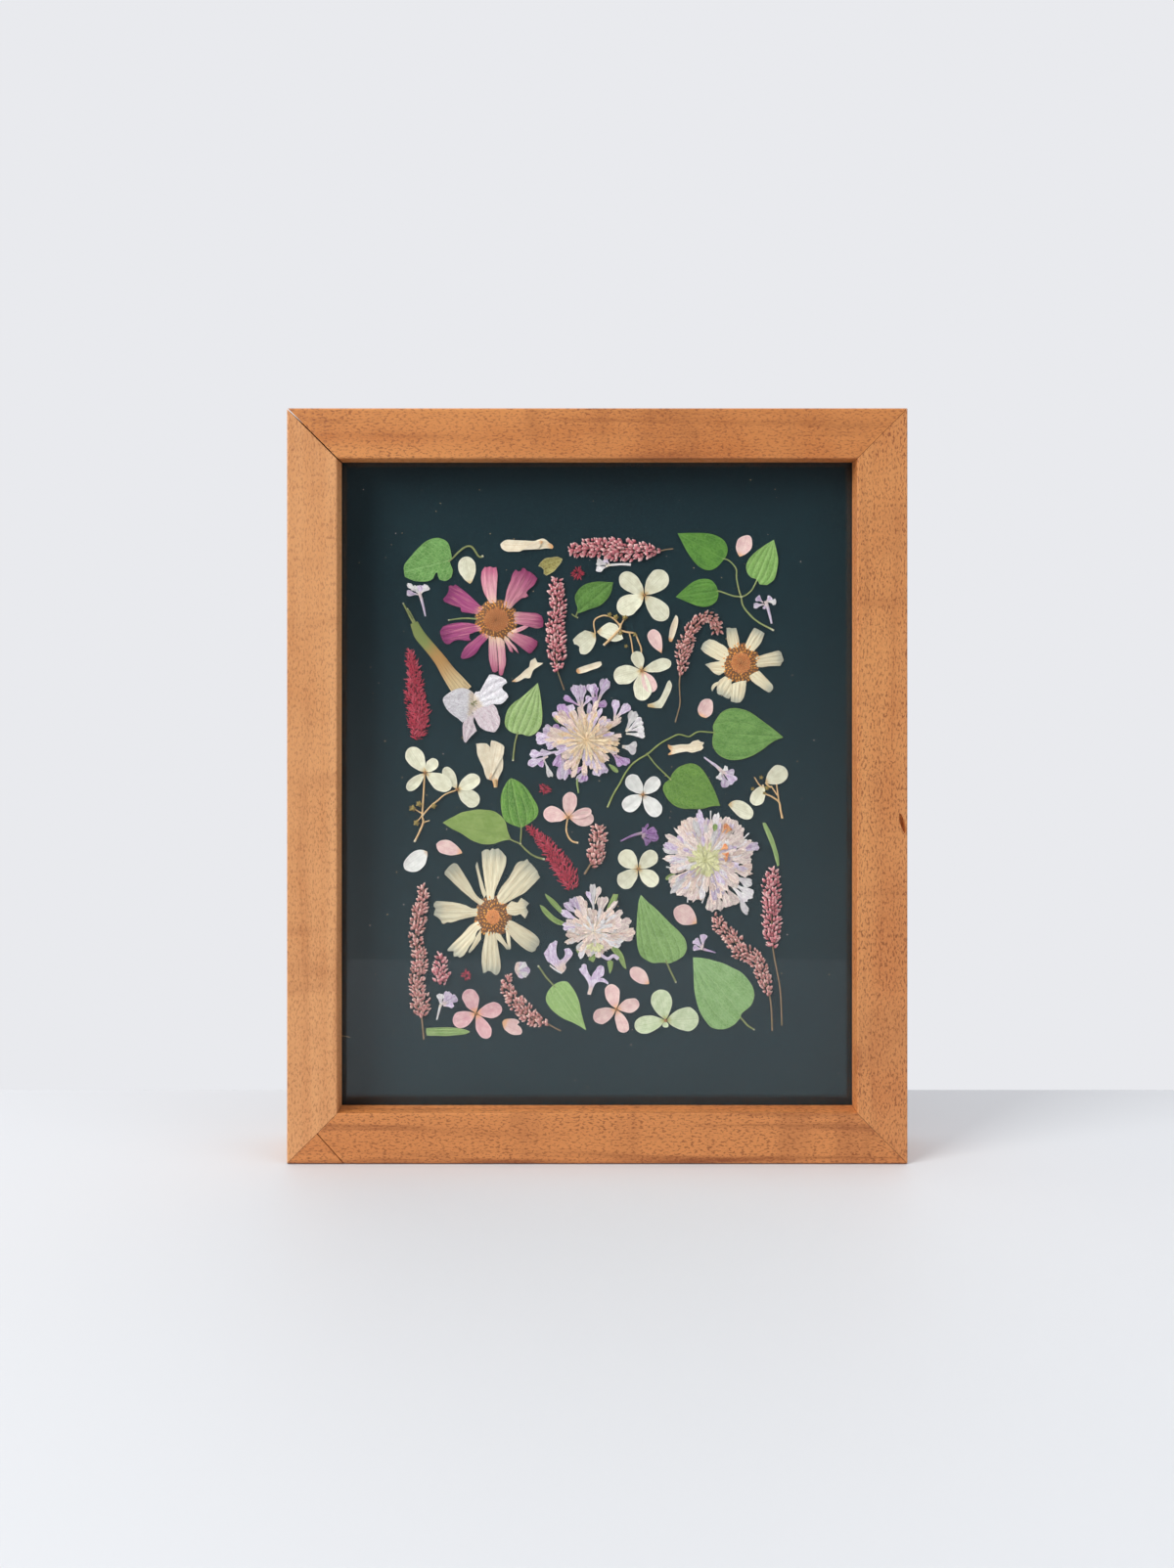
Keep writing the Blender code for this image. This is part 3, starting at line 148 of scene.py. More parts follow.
# Rails
# Four lengths of one square-edged hardwood moulding, stained orange-brown under a thin satin oil. They are
# mitred and glued at the corners: the top left joint has opened, and the bottom left corner has split.
class Paintwork:
    """The nodes of one material, put together step by step."""

    def __init__(self, name):
        self.material = bpy.data.materials.new(name)
        self.material.use_nodes = True
        self.tree = self.material.node_tree
        self.shader = self.tree.nodes["Principled BSDF"]

    def node(self, kind, settings=None, **inputs):
        made = self.tree.nodes.new("ShaderNode" + kind)
        for key, value in (settings or {}).items():
            setattr(made, key, value)
        for key, value in inputs.items():
            self.put(made.inputs[int(key[1:])] if key[0] == "_" else made.inputs[key], value)
        return made

    def put(self, socket, value):
        if hasattr(value, "is_output"):
            self.tree.links.new(value, socket)
        elif socket.type == "RGBA" and len(value) == 3:
            socket.default_value = (*value, 1)
        else:
            socket.default_value = value

    def place(self, stretch=(1, 1, 1), turn=(0, 0, 0)):
        spot = self.node("TexCoord").outputs["Object"]
        return self.node("Mapping", Vector=spot, Scale=stretch, Rotation=turn).outputs[0]

    def noise(self, where, scale, detail=4.0, roughness=0.55, distortion=0.0):
        made = self.node("TexNoise", Vector=where, Scale=scale, Detail=detail, Roughness=roughness,
                         Distortion=distortion)
        return made.outputs["Fac"]

    def attribute(self, name, vector=False):
        made = self.node("Attribute", {"attribute_name": name})
        return made.outputs["Vector" if vector else "Fac"]

    def span(self, value, low, high, to_low=0.0, to_high=1.0):
        made = self.node("MapRange", {"interpolation_type": "SMOOTHSTEP"}, Value=value)
        for socket, setting in zip(made.inputs[1:5], (low, high, to_low, to_high)):
            self.put(socket, setting)
        return made.outputs["Result"]

    def sum(self, how, *values):
        made = self.node("Math", {"operation": how})
        for socket, value in zip(made.inputs, values):
            self.put(socket, value)
        return made.outputs[0]

    def blend(self, share, first, second, how="MIX"):
        made = self.node("Mix", {"data_type": "RGBA", "blend_type": how}, _0=share, _6=first, _7=second)
        return made.outputs[2]

    def finish(self, colour, roughness, height=None, depth=0.0001, strength=0.5):
        self.put(self.shader.inputs["Base Color"], colour)
        self.put(self.shader.inputs["Roughness"], roughness)
        if height is not None:
            bump = self.node("Bump", Height=height, Strength=strength, Distance=depth)
            self.tree.links.new(bump.outputs[0], self.shader.inputs["Normal"])
        return self.material


def stained_wood(name, upright, light, middle, dark, fleck, fleck_strength, bands, seed):
    """Close-grained wood: soft lengthwise bands, a faint cross figure and many short dark pores."""
    wood = Paintwork(name)
    along = (1, 1, 0.045) if upright else (0.045, 1, 1)
    short = (1, 1, 0.42) if upright else (0.42, 1, 1)
    across = (0.18, 1, 1) if upright else (1, 1, 0.18)
    moved = wood.node("VectorMath", {"operation": "ADD"}, _0=wood.node("TexCoord").outputs["Object"],
                      _1=(seed, seed * 0.7, seed * 1.3)).outputs[0]

    def stretched(stretch):
        return wood.node("Mapping", Vector=moved, Scale=stretch).outputs[0]

    band = wood.noise(stretched(along), 190, 5, 0.62, 0.4)
    broad = wood.noise(stretched(along), 52, 3, 0.5, 0.6)
    figure = wood.noise(stretched(across), 70, 3, 0.5, 0.3)
    cloud = wood.noise(stretched((1, 1, 1)), 34, 3, 0.5)
    pores = wood.noise(stretched(short), 1500, 2, 0.6, 0.3)
    fine = wood.noise(stretched(short), 2900, 1, 0.5)
    colour = wood.blend(wood.span(broad, 0.36, 0.64), middle, light)
    colour = wood.blend(wood.span(band, 0.5, 0.72, 0, bands), colour, dark)
    colour = wood.blend(wood.span(figure, 0.52, 0.7, 0, 0.35), colour, dark)
    colour = wood.blend(wood.span(cloud, 0.35, 0.7, 0, 0.5), colour, light)
    dense = wood.span(cloud, 0.3, 0.7, fleck_strength, fleck_strength * 0.72)
    mark = wood.sum("MULTIPLY", wood.span(pores, 0.5, 0.64), dense)
    colour = wood.blend(mark, colour, fleck)
    colour = wood.blend(wood.span(fine, 0.52, 0.7, 0, 0.35), colour, light)
    gloss = wood.span(pores, 0.4, 0.65, 0.42, 0.6)
    height = wood.sum("MULTIPLY", wood.span(pores, 0.46, 0.62), -1.0)
    wood.shader.inputs["Coat Weight"].default_value = 0.08
    wood.shader.inputs["Coat Roughness"].default_value = 0.35
    return wood.finish(colour, gloss, height, 0.00012, 0.35)


PORE = (0.24, 0.06, 0.014)
wood_left = stained_wood("wood_left", True, (0.80, 0.385, 0.155), (0.66, 0.272, 0.092),
                         (0.40, 0.125, 0.032), PORE, 0.55, 0.55, 3.1)
wood_right = stained_wood("wood_right", True, (0.76, 0.33, 0.11), (0.62, 0.22, 0.062),
                          (0.34, 0.09, 0.02), PORE, 0.9, 0.45, 7.7)
wood_top = stained_wood("wood_top", False, (0.73, 0.29, 0.085), (0.57, 0.185, 0.045),
                        (0.29, 0.075, 0.016), PORE, 0.8, 0.85, 1.9)
wood_bottom = stained_wood("wood_bottom", False, (0.70, 0.265, 0.075), (0.54, 0.165, 0.038),
                           (0.26, 0.062, 0.013), PORE, 0.85, 0.9, 5.2)
for side, stain in (("left", wood_left), ("right", wood_right), ("top", wood_top), ("bottom", wood_bottom)):
    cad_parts["rail_" + side].data.materials[0] = stain


# Glass
# One pane of plain float glass, 2 mm thick, with ground edges. It lies behind the rails' lip.
def clear_glass():
    glass = Paintwork("clear_glass")
    glass.shader.inputs["Base Color"].default_value = (0.985, 0.997, 0.995, 1)
    glass.shader.inputs["Roughness"].default_value = 0.015
    glass.shader.inputs["Transmission Weight"].default_value = 1.0
    glass.shader.inputs["IOR"].default_value = 1.38
    return glass.material


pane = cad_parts["glass_pane"]
pane.data.materials[0] = clear_glass()
pane.visible_shadow = False


# Card and board
# The specimens lie on a near-black, slightly green-blue card with a faint paper tooth. A board of pressed
# wood fibre backs it.
def card_paper():
    card = Paintwork("card_paper")
    tooth = card.noise(card.place(), 900, 3, 0.6)
    cloud = card.noise(card.place(), 28, 3, 0.55)
    colour = card.blend(card.span(tooth, 0.3, 0.7), (0.0025, 0.0145, 0.020), (0.0055, 0.0225, 0.029))
    colour = card.blend(card.span(cloud, 0.35, 0.7, 0, 0.25), colour, (0.007, 0.027, 0.034))
    card.shader.inputs["Specular IOR Level"].default_value = 0.25
    return card.finish(colour, 0.92, tooth, 0.00005, 0.4)


def pressed_fibre():
    board = Paintwork("pressed_fibre")
    fibre = board.noise(board.place((1, 1, 0.6)), 1400, 4, 0.7, 0.8)
    cloud = board.noise(board.place(), 40, 3, 0.5)
    colour = board.blend(board.span(fibre, 0.3, 0.7), (0.10, 0.055, 0.028), (0.21, 0.125, 0.066))
    colour = board.blend(board.span(cloud, 0.4, 0.7, 0, 0.4), colour, (0.26, 0.16, 0.088))
    return board.finish(colour, 0.75, fibre, 0.0001, 0.5)


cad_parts["backing_card"].data.materials[0] = card_paper()
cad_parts["backing_board"].data.materials[0] = pressed_fibre()


# Points and hanger
# Six flat steel points, driven into the rails, hold the board in. A brassed sawtooth strip on the back of
# the top rail takes the nail it hangs on.
def worn_metal(name, bright, dull, roughness):
    metal = Paintwork(name)
    scratch = metal.noise(metal.place((1, 1, 0.08)), 1800, 3, 0.6)
    stain = metal.noise(metal.place(), 260, 4, 0.6)
    metal.shader.inputs["Metallic"].default_value = 1.0
    colour = metal.blend(metal.span(stain, 0.42, 0.68), bright, dull)
    gloss = metal.span(scratch, 0.3, 0.7, roughness, roughness + 0.2)
    return metal.finish(colour, gloss, scratch, 0.00003, 0.3)


point_steel = worn_metal("point_steel", (0.56, 0.55, 0.53), (0.32, 0.29, 0.26), 0.3)
hanger_brass = worn_metal("hanger_brass", (0.66, 0.48, 0.21), (0.42, 0.27, 0.11), 0.28)
for node_name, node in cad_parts.items():
    if node_name.startswith("retaining_point"):
        node.data.materials[0] = point_steel
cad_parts["sawtooth_hanger"].data.materials[0] = hanger_brass


# Leaves
# Small stalked leaves, pressed flat and dried. Each blade is thin and slightly cockled, with sunken arching
# veins, and lies on the card with its round stalk. They are held down by the glass alone.
CARD_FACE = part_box("backing_card")[0].y
REST = CARD_FACE - 0.05 * MM
BLADE = 0.16 * MM
random_pick = random.Random(11)


class Specimen:
    """One pressed plant piece, gathered from blades, stalks and buds before it becomes a mesh."""

    def __init__(self, name, *materials):
        self.name = name
        self.materials = materials
        self.points = []
        self.faces = []
        self.paint = []
        self.marks = {"along": [], "across": [], "half": [], "rim": [], "tone": []}
        self.places = []

    def add(self, points, faces, paint=0, along=0.5, across=0.0, half=1.0, rim=1.0, tone=0.0, places=None):
        start = len(self.points)
        count = len(points)
        self.points += [tuple(point) for point in points]
        self.faces += [[start + corner for corner in face] for face in faces]
        self.paint += [paint] * len(faces)
        for key, value in (("along", along), ("across", across), ("half", half), ("rim", rim), ("tone", tone)):
            self.marks[key] += list(np.broadcast_to(value, count).astype(float))
        shift = random_pick.uniform(-40, 40)
        own = np.array(places if places is not None else points, float)
        self.places += [tuple(own_place + shift) for own_place in own]

    def make(self, slot, *nodes):
        mesh = bpy.data.meshes.new(self.name)
        mesh.from_pydata(self.points, [], self.faces)
        mesh.polygons.foreach_set("material_index", self.paint)
        for key, values in self.marks.items():
            mesh.attributes.new(key, "FLOAT", "POINT").data.foreach_set("value", values)
        grown = mesh.attributes.new("grown", "FLOAT_VECTOR", "POINT")
        grown.data.foreach_set("vector", np.array(self.places, float).ravel())
        for material in self.materials:
            mesh.materials.append(material)
        mesh.shade_smooth()
        mesh.set_sharp_from_angle(angle=math.radians(55))
        piece = bpy.data.objects.new(self.name, mesh)
        bpy.context.scene.collection.objects.link(piece)
        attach(piece, "root")
        if nodes:
            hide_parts(*nodes)
        return piece


def smooth_outline(points, step, sharp=0.75):
    """A smooth closed line through the points. It keeps corners that turn by more than the given radians."""
    points = [Vector(point) for point in points]
    count = len(points)
    line = []
    heading = []
    for index in range(count):
        before = (points[index] - points[index - 1]).normalized()
        after = (points[(index + 1) % count] - points[index]).normalized()
        if before.angle(after, 0) > sharp:
            heading.append((before, after))
        else:
            both = (points[(index + 1) % count] - points[index - 1]).normalized()
            heading.append((both, both))
    for index in range(count):
        start = points[index]
        end = points[(index + 1) % count]
        reach = (end - start).length
        leave = heading[index][1] * reach
        arrive = heading[(index + 1) % count][0] * reach
        parts = max(1, round(reach / step))
        for part in range(parts):
            t = part / parts
            line.append(start * (2 * t**3 - 3 * t**2 + 1) + leave * (t**3 - 2 * t**2 + t)
                        + end * (3 * t**2 - 2 * t**3) + arrive * (t**3 - t**2))
    return line


def distance_to_line(points, line):
    """Distance of each point to the closed line."""
    nearest = np.full(len(points), 1e9)
    for start, end in zip(line, np.roll(line, -1, axis=0)):
        run = end - start
        share = np.clip(((points - start) @ run) / max(run @ run, 1e-12), 0, 1)
        gap = points - (start + share[:, None] * run)
        nearest = np.minimum(nearest, np.hypot(gap[:, 0], gap[:, 1]))
    return nearest


def blade(specimen, outline, base, tip, relief, paint=0, step=0.5, lift=0.0, thickness=BLADE, sharp=0.75,
          ragged=0.04, curl=0.0, cockle=0.12, tone=None, seed=None):
    """A thin flat blade inside the outline, raised by its relief, with its own lengthwise places."""
    seed = random_pick.uniform(0, 90) if seed is None else seed
    tone = random_pick.uniform(-1, 1) if tone is None else tone
    line = smooth_outline(outline, step, sharp)
    edge = np.array([(p.x, p.y) for p in line])
    if ragged:
        for index, (x, z) in enumerate(edge):
            edge[index] += np.array(noise.noise_vector((x * 1.3, z * 1.3, seed)))[:2] * ragged
    low, high = edge.min(axis=0), edge.max(axis=0)
    row = step * 0.866
    grid = []
    for j, z in enumerate(np.arange(low[1], high[1], row)):
        for x in np.arange(low[0] + (j % 2) * step / 2, high[0], step):
            grid.append((x, z))
    grid = np.array(grid) if grid else np.zeros((0, 2))
    inside = grid[distance_to_line(grid, edge) > step * 0.45] if len(grid) else grid
    flat = [Vector(p) for p in edge] + [Vector(p) for p in inside]
    border = [(k, (k + 1) % len(edge)) for k in range(len(edge))]
    flat, _, faces, *_ = geometry.delaunay_2d_cdt(flat, border, [list(range(len(edge)))], 1, 1e-5)
    spots = np.array([(p.x, p.y) for p in flat])
    base, tip = np.array(base, float), np.array(tip, float)
    axis = tip - base
    length = np.hypot(*axis)
    axis /= length
    side = np.array((-axis[1], axis[0]))
    along = (spots - base) @ axis / length
    out = (spots - base) @ side
    edge_along = (edge - base) @ axis / length
    edge_out = (edge - base) @ side
    cells = np.clip(((edge_along + 0.1) / 1.2 * 60).astype(int), 0, 59)
    widest = np.array([np.abs(edge_out[np.abs(cells - cell) < 3]).max(initial=0.0) for cell in range(60)])
    half = np.maximum(np.interp(along, (np.arange(60) + 0.5) / 60 * 1.2 - 0.1, widest), 0.3)
    across = np.clip(out / half, -1, 1)
    rim = distance_to_line(spots, edge)
    height = relief(along, across, half, rim) if relief else np.zeros(len(spots))
    waves = np.array([noise.noise((x * 0.16, z * 0.16, seed)) + 0.5 * noise.noise((x * 0.45, z * 0.45, seed))
                      for x, z in spots])
    height = height + cockle * (waves + 0.4) + curl * np.exp(-rim / 0.9)
    height = np.maximum(height, 0.0) * MM + lift * MM
    top = np.column_stack((spots[:, 0] * MM, REST - thickness - height, spots[:, 1] * MM))
    under = top + np.array((0, thickness, 0))
    count = len(spots)
    turned = []
    for face in faces:
        a, b, c = (spots[k] for k in face[:3])
        if (b[0] - a[0]) * (c[1] - a[1]) - (b[1] - a[1]) * (c[0] - a[0]) < 0:
            face = face[::-1]
        turned.append(list(face))
    sides = {}
    for face in turned:
        for a, b in zip(face, face[1:] + face[:1]):
            sides[(a, b)] = True
    rims = [(a, b) for a, b in sides if (b, a) not in sides]
    walls = [[b, a, a + count, b + count] for a, b in rims]
    backs = [[corner + count for corner in reversed(face)] for face in turned]
    places = np.column_stack((out, along * length, np.full(count, seed)))
    specimen.add(np.vstack((top, under)), turned + walls + backs, paint, np.tile(along, 2), np.tile(across, 2),
                 np.tile(half, 2), np.tile(rim, 2), tone, np.vstack((places, places)))


def flowing(points, step):
    """Points of a smooth open curve through the given ones."""
    points = [Vector(point) for point in points]
    ends = [2 * points[0] - points[1], *points, 2 * points[-1] - points[-2]]
    line = []
    for before, start, end, after in zip(ends, ends[1:], ends[2:], ends[3:]):
        parts = max(2, round((end - start).length / step))
        for part in range(parts):
            t = part / parts
            bend = 2 * before - 5 * start + 4 * end - after
            twist = 3 * start - before - 3 * end + after
            line.append(start + (t * (end - before) + t**2 * bend + t**3 * twist) / 2)
    return [*line, points[-1]]


def stalk(specimen, points, thick=0.42, thin=None, paint=0, lift=0.0, step=0.7, sides=7, flat=0.8, tone=0.0):
    """A round stalk laid along the card, from its thick end to its thin end, a little uneven."""
    thin = thick if thin is None else thin
    line = flowing(points, step)
    seed = random_pick.uniform(0, 50)
    rings = []
    along = []
    for index, spot in enumerate(line):
        ahead = line[min(index + 1, len(line) - 1)] - line[max(index - 1, 0)]
        side = Vector((-ahead.y, ahead.x)).normalized()
        share = index / (len(line) - 1)
        radius = (thick + (thin - thick) * share) * (1 + 0.16 * noise.noise((spot.x, spot.y, seed)))
        for k in range(sides):
            turn = math.tau * k / sides
            out = side * radius * math.cos(turn)
            rise = radius * flat * (1 + math.sin(turn))
            rings.append(((spot.x + out.x) * MM, REST - (rise + lift) * MM, (spot.y + out.y) * MM))
            along.append(share)
    faces = []
    for ring in range(len(line) - 1):
        for k in range(sides):
            a = ring * sides + k
            b = ring * sides + (k + 1) % sides
            faces.append([a, b, b + sides, a + sides])
    last = (len(line) - 1) * sides
    faces.append(list(reversed(range(sides))))
    faces.append([last + k for k in range(sides)])
    places = np.array([(k % sides, share * len(line) * step, seed) for k, share in enumerate(along)])
    specimen.add(rings, faces, paint, along, 0.0, thick, 0.1, tone, places)


def leaf_paint(name, green, deep, vein, edge, spots=0.35, vein_strength=0.55, spacing=0.34, cross=0.0):
    """A dried leaf: mottled green between pale veins that arch from the stalk to the tip."""
    leaf = Paintwork(name)
    across = leaf.attribute("across")
    along = leaf.attribute("along")
    half = leaf.attribute("half")
    rim = leaf.attribute("rim")
    place = leaf.attribute("grown", True)
    size = leaf.node("Mapping", Vector=place, Scale=(1, 0.55, 1)).outputs[0]
    patch = leaf.noise(size, 0.32, 3, 0.6)
    mottle = leaf.noise(size, 1.7, 4, 0.65, 0.5)
    net = leaf.node("TexVoronoi", {"feature": "DISTANCE_TO_EDGE"}, Vector=size, Scale=1.25).outputs["Distance"]
    sway = leaf.sum("MULTIPLY", leaf.sum("SUBTRACT", leaf.noise(size, 0.7, 2), 0.5), 0.16)
    main = leaf.sum("PINGPONG", leaf.sum("ADD", across, sway), spacing / 2)
    main = leaf.sum("MULTIPLY", main, half)
    fade = leaf.span(half, 0.6, 2.2)
    mask = leaf.sum("MULTIPLY", leaf.span(main, 0.03, 0.26, 1, 0), fade)
    middle = leaf.span(leaf.sum("MULTIPLY", leaf.sum("ABSOLUTE", leaf.sum("ADD", across, sway)), half),
                       0.06, 0.34, 1, 0)
    mask = leaf.sum("MAXIMUM", leaf.sum("MULTIPLY", mask, 0.85), middle)
    if cross:
        rise = leaf.sum("MULTIPLY", leaf.sum("ABSOLUTE", across), half)
        wing = leaf.sum("SUBTRACT", leaf.node("SeparateXYZ", Vector=place).outputs["Y"],
                        leaf.sum("MULTIPLY", rise, 0.75))
        rungs = leaf.sum("PINGPONG", wing, cross / 2)
        mask = leaf.sum("MAXIMUM", mask, leaf.span(rungs, 0.03, 0.26, 0.75, 0))
    colour = leaf.blend(leaf.span(patch, 0.35, 0.68), green, deep)
    colour = leaf.blend(leaf.span(mottle, 0.46, 0.62, 0, spots * 1.5), colour, deep)
    colour = leaf.blend(leaf.span(mottle, 0.2, 0.44, spots, 0), colour, edge)
    colour = leaf.blend(leaf.span(net, 0.0, 0.13, 0.45, 0), colour, vein)
    colour = leaf.blend(leaf.sum("MULTIPLY", mask, vein_strength), colour, vein)
    colour = leaf.blend(leaf.span(rim, 0.0, 0.3, 0.55, 0), colour, edge)
    gloss = leaf.span(mottle, 0.3, 0.7, 0.5, 0.72)
    leaf.shader.inputs["Specular IOR Level"].default_value = 0.3
    height = leaf.sum("ADD", leaf.sum("MULTIPLY", mask, -1.0), leaf.sum("MULTIPLY", mottle, 0.8))
    return leaf.finish(colour, gloss, height, 0.00009, 0.5)


def stalk_paint(name, colour, shade, end=None):
    """A dried stalk with fine lengthwise fibres, paler at its cut end."""
    fibre = Paintwork(name)
    place = fibre.attribute("grown", True)
    streak = fibre.noise(fibre.node("Mapping", Vector=place, Scale=(1.3, 0.35, 1)).outputs[0], 1.4, 3, 0.6)
    body = fibre.blend(fibre.span(streak, 0.35, 0.65), colour, shade)
    if end:
        body = fibre.blend(fibre.span(fibre.attribute("along"), 0.93, 1.0, 0, 0.85), body, end)
    return fibre.finish(body, 0.6, streak, 0.00005, 0.4)


def arching(spacing, depth):
    """Relief of a leaf whose veins run from its base to its tip: furrows along them, swells between."""
    def relief(along, across, half, rim):
        gap = np.abs((across / spacing + 0.5) % 1.0 - 0.5) * spacing * half
        furrow = np.exp(-(gap / 0.3) ** 2) * np.clip(half / 2, 0, 1)
        return 0.22 + depth * (0.5 * np.abs(np.sin(across / spacing * math.pi)) - furrow * 0.7)
    return relief


STALK_END = (0.72, 0.66, 0.5)
olive_stalk = stalk_paint("olive_stalk", (0.25, 0.27, 0.09), (0.14, 0.17, 0.05), STALK_END)
green_stalk = stalk_paint("green_stalk", (0.20, 0.28, 0.085), (0.33, 0.33, 0.12), STALK_END)

heart_green = leaf_paint("heart_green", (0.155, 0.335, 0.085), (0.085, 0.215, 0.04), (0.28, 0.46, 0.17),
                         (0.21, 0.40, 0.12), 0.5, 0.5, 3.0, 2.4)
heart = Specimen("heart_leaf", heart_green, olive_stalk)
blade(heart, [
    (-74.6, 225.5), (-74.0, 227.4), (-71.9, 230.0), (-69.1, 233.2), (-65.6, 236.1), (-61.8, 237.2),
    (-58.9, 236.4), (-57.2, 234.6), (-56.4, 231.4), (-56.0, 229.1), (-56.9, 228.0), (-56.4, 226.6),
    (-55.7, 224.5), (-56.3, 221.9), (-58.3, 220.6), (-60.7, 221.0), (-61.4, 222.5), (-61.5, 223.8),
    (-62.3, 223.7), (-62.8, 222.6), (-63.2, 221.7), (-64.4, 220.7), (-67.0, 220.3), (-70.5, 220.6),
    (-74.2, 222.1),
], (-56.0, 228.9), (-74.6, 224.0), arching(0.9, 0.2), curl=0.06)
stalk(heart, [
    (-57.6, 227.9), (-56.0, 229.1), (-53.1, 232.0), (-51.1, 233.5), (-49.6, 234.0), (-48.2, 233.6),
    (-47.0, 232.0), (-45.9, 230.3), (-44.9, 229.8), (-43.9, 230.3),
], 0.3, 0.42, 1)
heart.make("green_leaf", "leaf_heart")

clematis_dark = leaf_paint("clematis_dark", (0.095, 0.245, 0.03), (0.055, 0.165, 0.018), (0.15, 0.31, 0.06),
                           (0.14, 0.32, 0.05), 0.4, 0.45, 0.42)
clematis_pale = leaf_paint("clematis_pale", (0.215, 0.39, 0.10), (0.15, 0.31, 0.06), (0.34, 0.5, 0.18),
                           (0.26, 0.44, 0.13), 0.3, 0.5, 0.36)
clematis = Specimen("clematis_leaves", clematis_dark, clematis_pale, green_stalk)
blade(clematis, [
    (31.2, 239.0), (37.4, 239.1), (42.0, 239.0), (45.9, 238.2), (49.2, 236.1), (50.5, 233.2),
    (50.2, 230.8), (49.2, 229.0), (46.5, 226.0), (44.1, 224.8), (41.3, 225.1), (38.3, 227.2),
    (35.0, 231.7), (32.6, 236.3),
], (49.2, 229.0), (31.2, 239.0), arching(0.42, 0.16))
blade(clematis, [
    (68.4, 236.5), (64.6, 234.2), (60.7, 231.2), (58.1, 227.8), (57.8, 224.8), (59.4, 222.1),
    (61.6, 221.2), (63.1, 219.2), (65.8, 219.0), (68.5, 221.2), (69.7, 225.4), (70.0, 228.7),
    (69.4, 232.3),
], (61.7, 221.2), (68.4, 236.5), arching(0.36, 0.2), 1)
blade(clematis, [
    (30.5, 214.4), (33.8, 217.5), (37.1, 220.1), (40.5, 221.3), (43.8, 221.0), (45.9, 219.0),
    (46.8, 216.6), (46.9, 214.8), (45.9, 212.4), (42.6, 210.6), (39.0, 210.9), (35.0, 212.4),
], (46.8, 216.6), (30.5, 214.4), arching(0.34, 0.2))
stalk(clematis, [
    (48.6, 229.2), (50.1, 228.9), (51.9, 227.8), (53.9, 225.1), (54.0, 221.8), (54.9, 217.2),
    (55.8, 214.2), (56.4, 211.2), (58.5, 208.2), (62.2, 204.8), (68.4, 201.4),
], 0.26, 0.36, 2)
stalk(clematis, [(46.0, 216.8), (48.0, 216.4), (51.0, 215.3), (53.0, 214.7), (55.8, 214.4)], 0.27, 0.3, 2)
stalk(clematis, [(62.1, 221.5), (61.6, 220.2), (60.0, 217.2), (57.7, 215.1), (55.8, 214.4)], 0.27, 0.3, 2)
clematis.make("green_leaf", "clematis_sprig")

small_dark = leaf_paint("small_dark_leaf", (0.09, 0.215, 0.03), (0.05, 0.14, 0.017), (0.17, 0.31, 0.075),
                        (0.16, 0.29, 0.06), 0.45, 0.35, 0.5, 1.9)
top_leaf = Specimen("small_top_leaf", small_dark, olive_stalk)
blade(top_leaf, [
    (6.2, 220.0), (0.5, 220.3), (-2.7, 219.8), (-4.9, 219.0), (-6.8, 217.5), (-8.0, 215.7), (-8.5, 214.1),
    (-8.1, 211.9), (-7.5, 210.3), (-7.7, 208.0), (-6.1, 208.4), (-2.9, 209.6), (-0.0, 210.5),
    (2.1, 211.7), (4.0, 213.6), (5.3, 215.7), (5.9, 217.9),
], (-7.7, 208.0), (6.0, 219.8), arching(0.6, 0.22))
stalk(top_leaf, [(-7.5, 208.6), (-7.8, 207.6), (-8.2, 206.9)], 0.3, 0.24, 1)
stalk(top_leaf, [(-9.7, 207.8), (-8.9, 207.1), (-7.3, 206.3)], 0.24, 0.3, 1, 0.1)
top_leaf.make("green_leaf", "leaf_small_top")

sage_leaf = leaf_paint("sage_leaf", (0.30, 0.42, 0.155), (0.20, 0.32, 0.085), (0.42, 0.54, 0.27),
                       (0.33, 0.46, 0.16), 0.4, 0.5, 0.36)
middle_leaf = Specimen("middle_left_leaf", sage_leaf, olive_stalk)
blade(middle_leaf, [
    (-22.8, 181.1), (-26.1, 178.2), (-29.2, 175.5), (-32.2, 173.4), (-34.5, 170.6), (-35.6, 166.4),
    (-35.2, 164.2), (-33.7, 162.5), (-30.9, 161.4), (-28.8, 161.3), (-26.1, 160.6), (-23.3, 162.1),
    (-21.5, 164.9), (-21.1, 168.8), (-21.4, 172.9), (-22.0, 177.4),
], (-30.7, 161.4), (-22.8, 181.1), arching(0.36, 0.26))
stalk(middle_leaf, [
    (-30.5, 162.3), (-30.9, 160.8), (-31.7, 157.7), (-32.1, 154.3), (-32.4, 151.0),
], 0.32, 0.38, 1)
middle_leaf.make("pale_leaf", "leaf_middle_left")

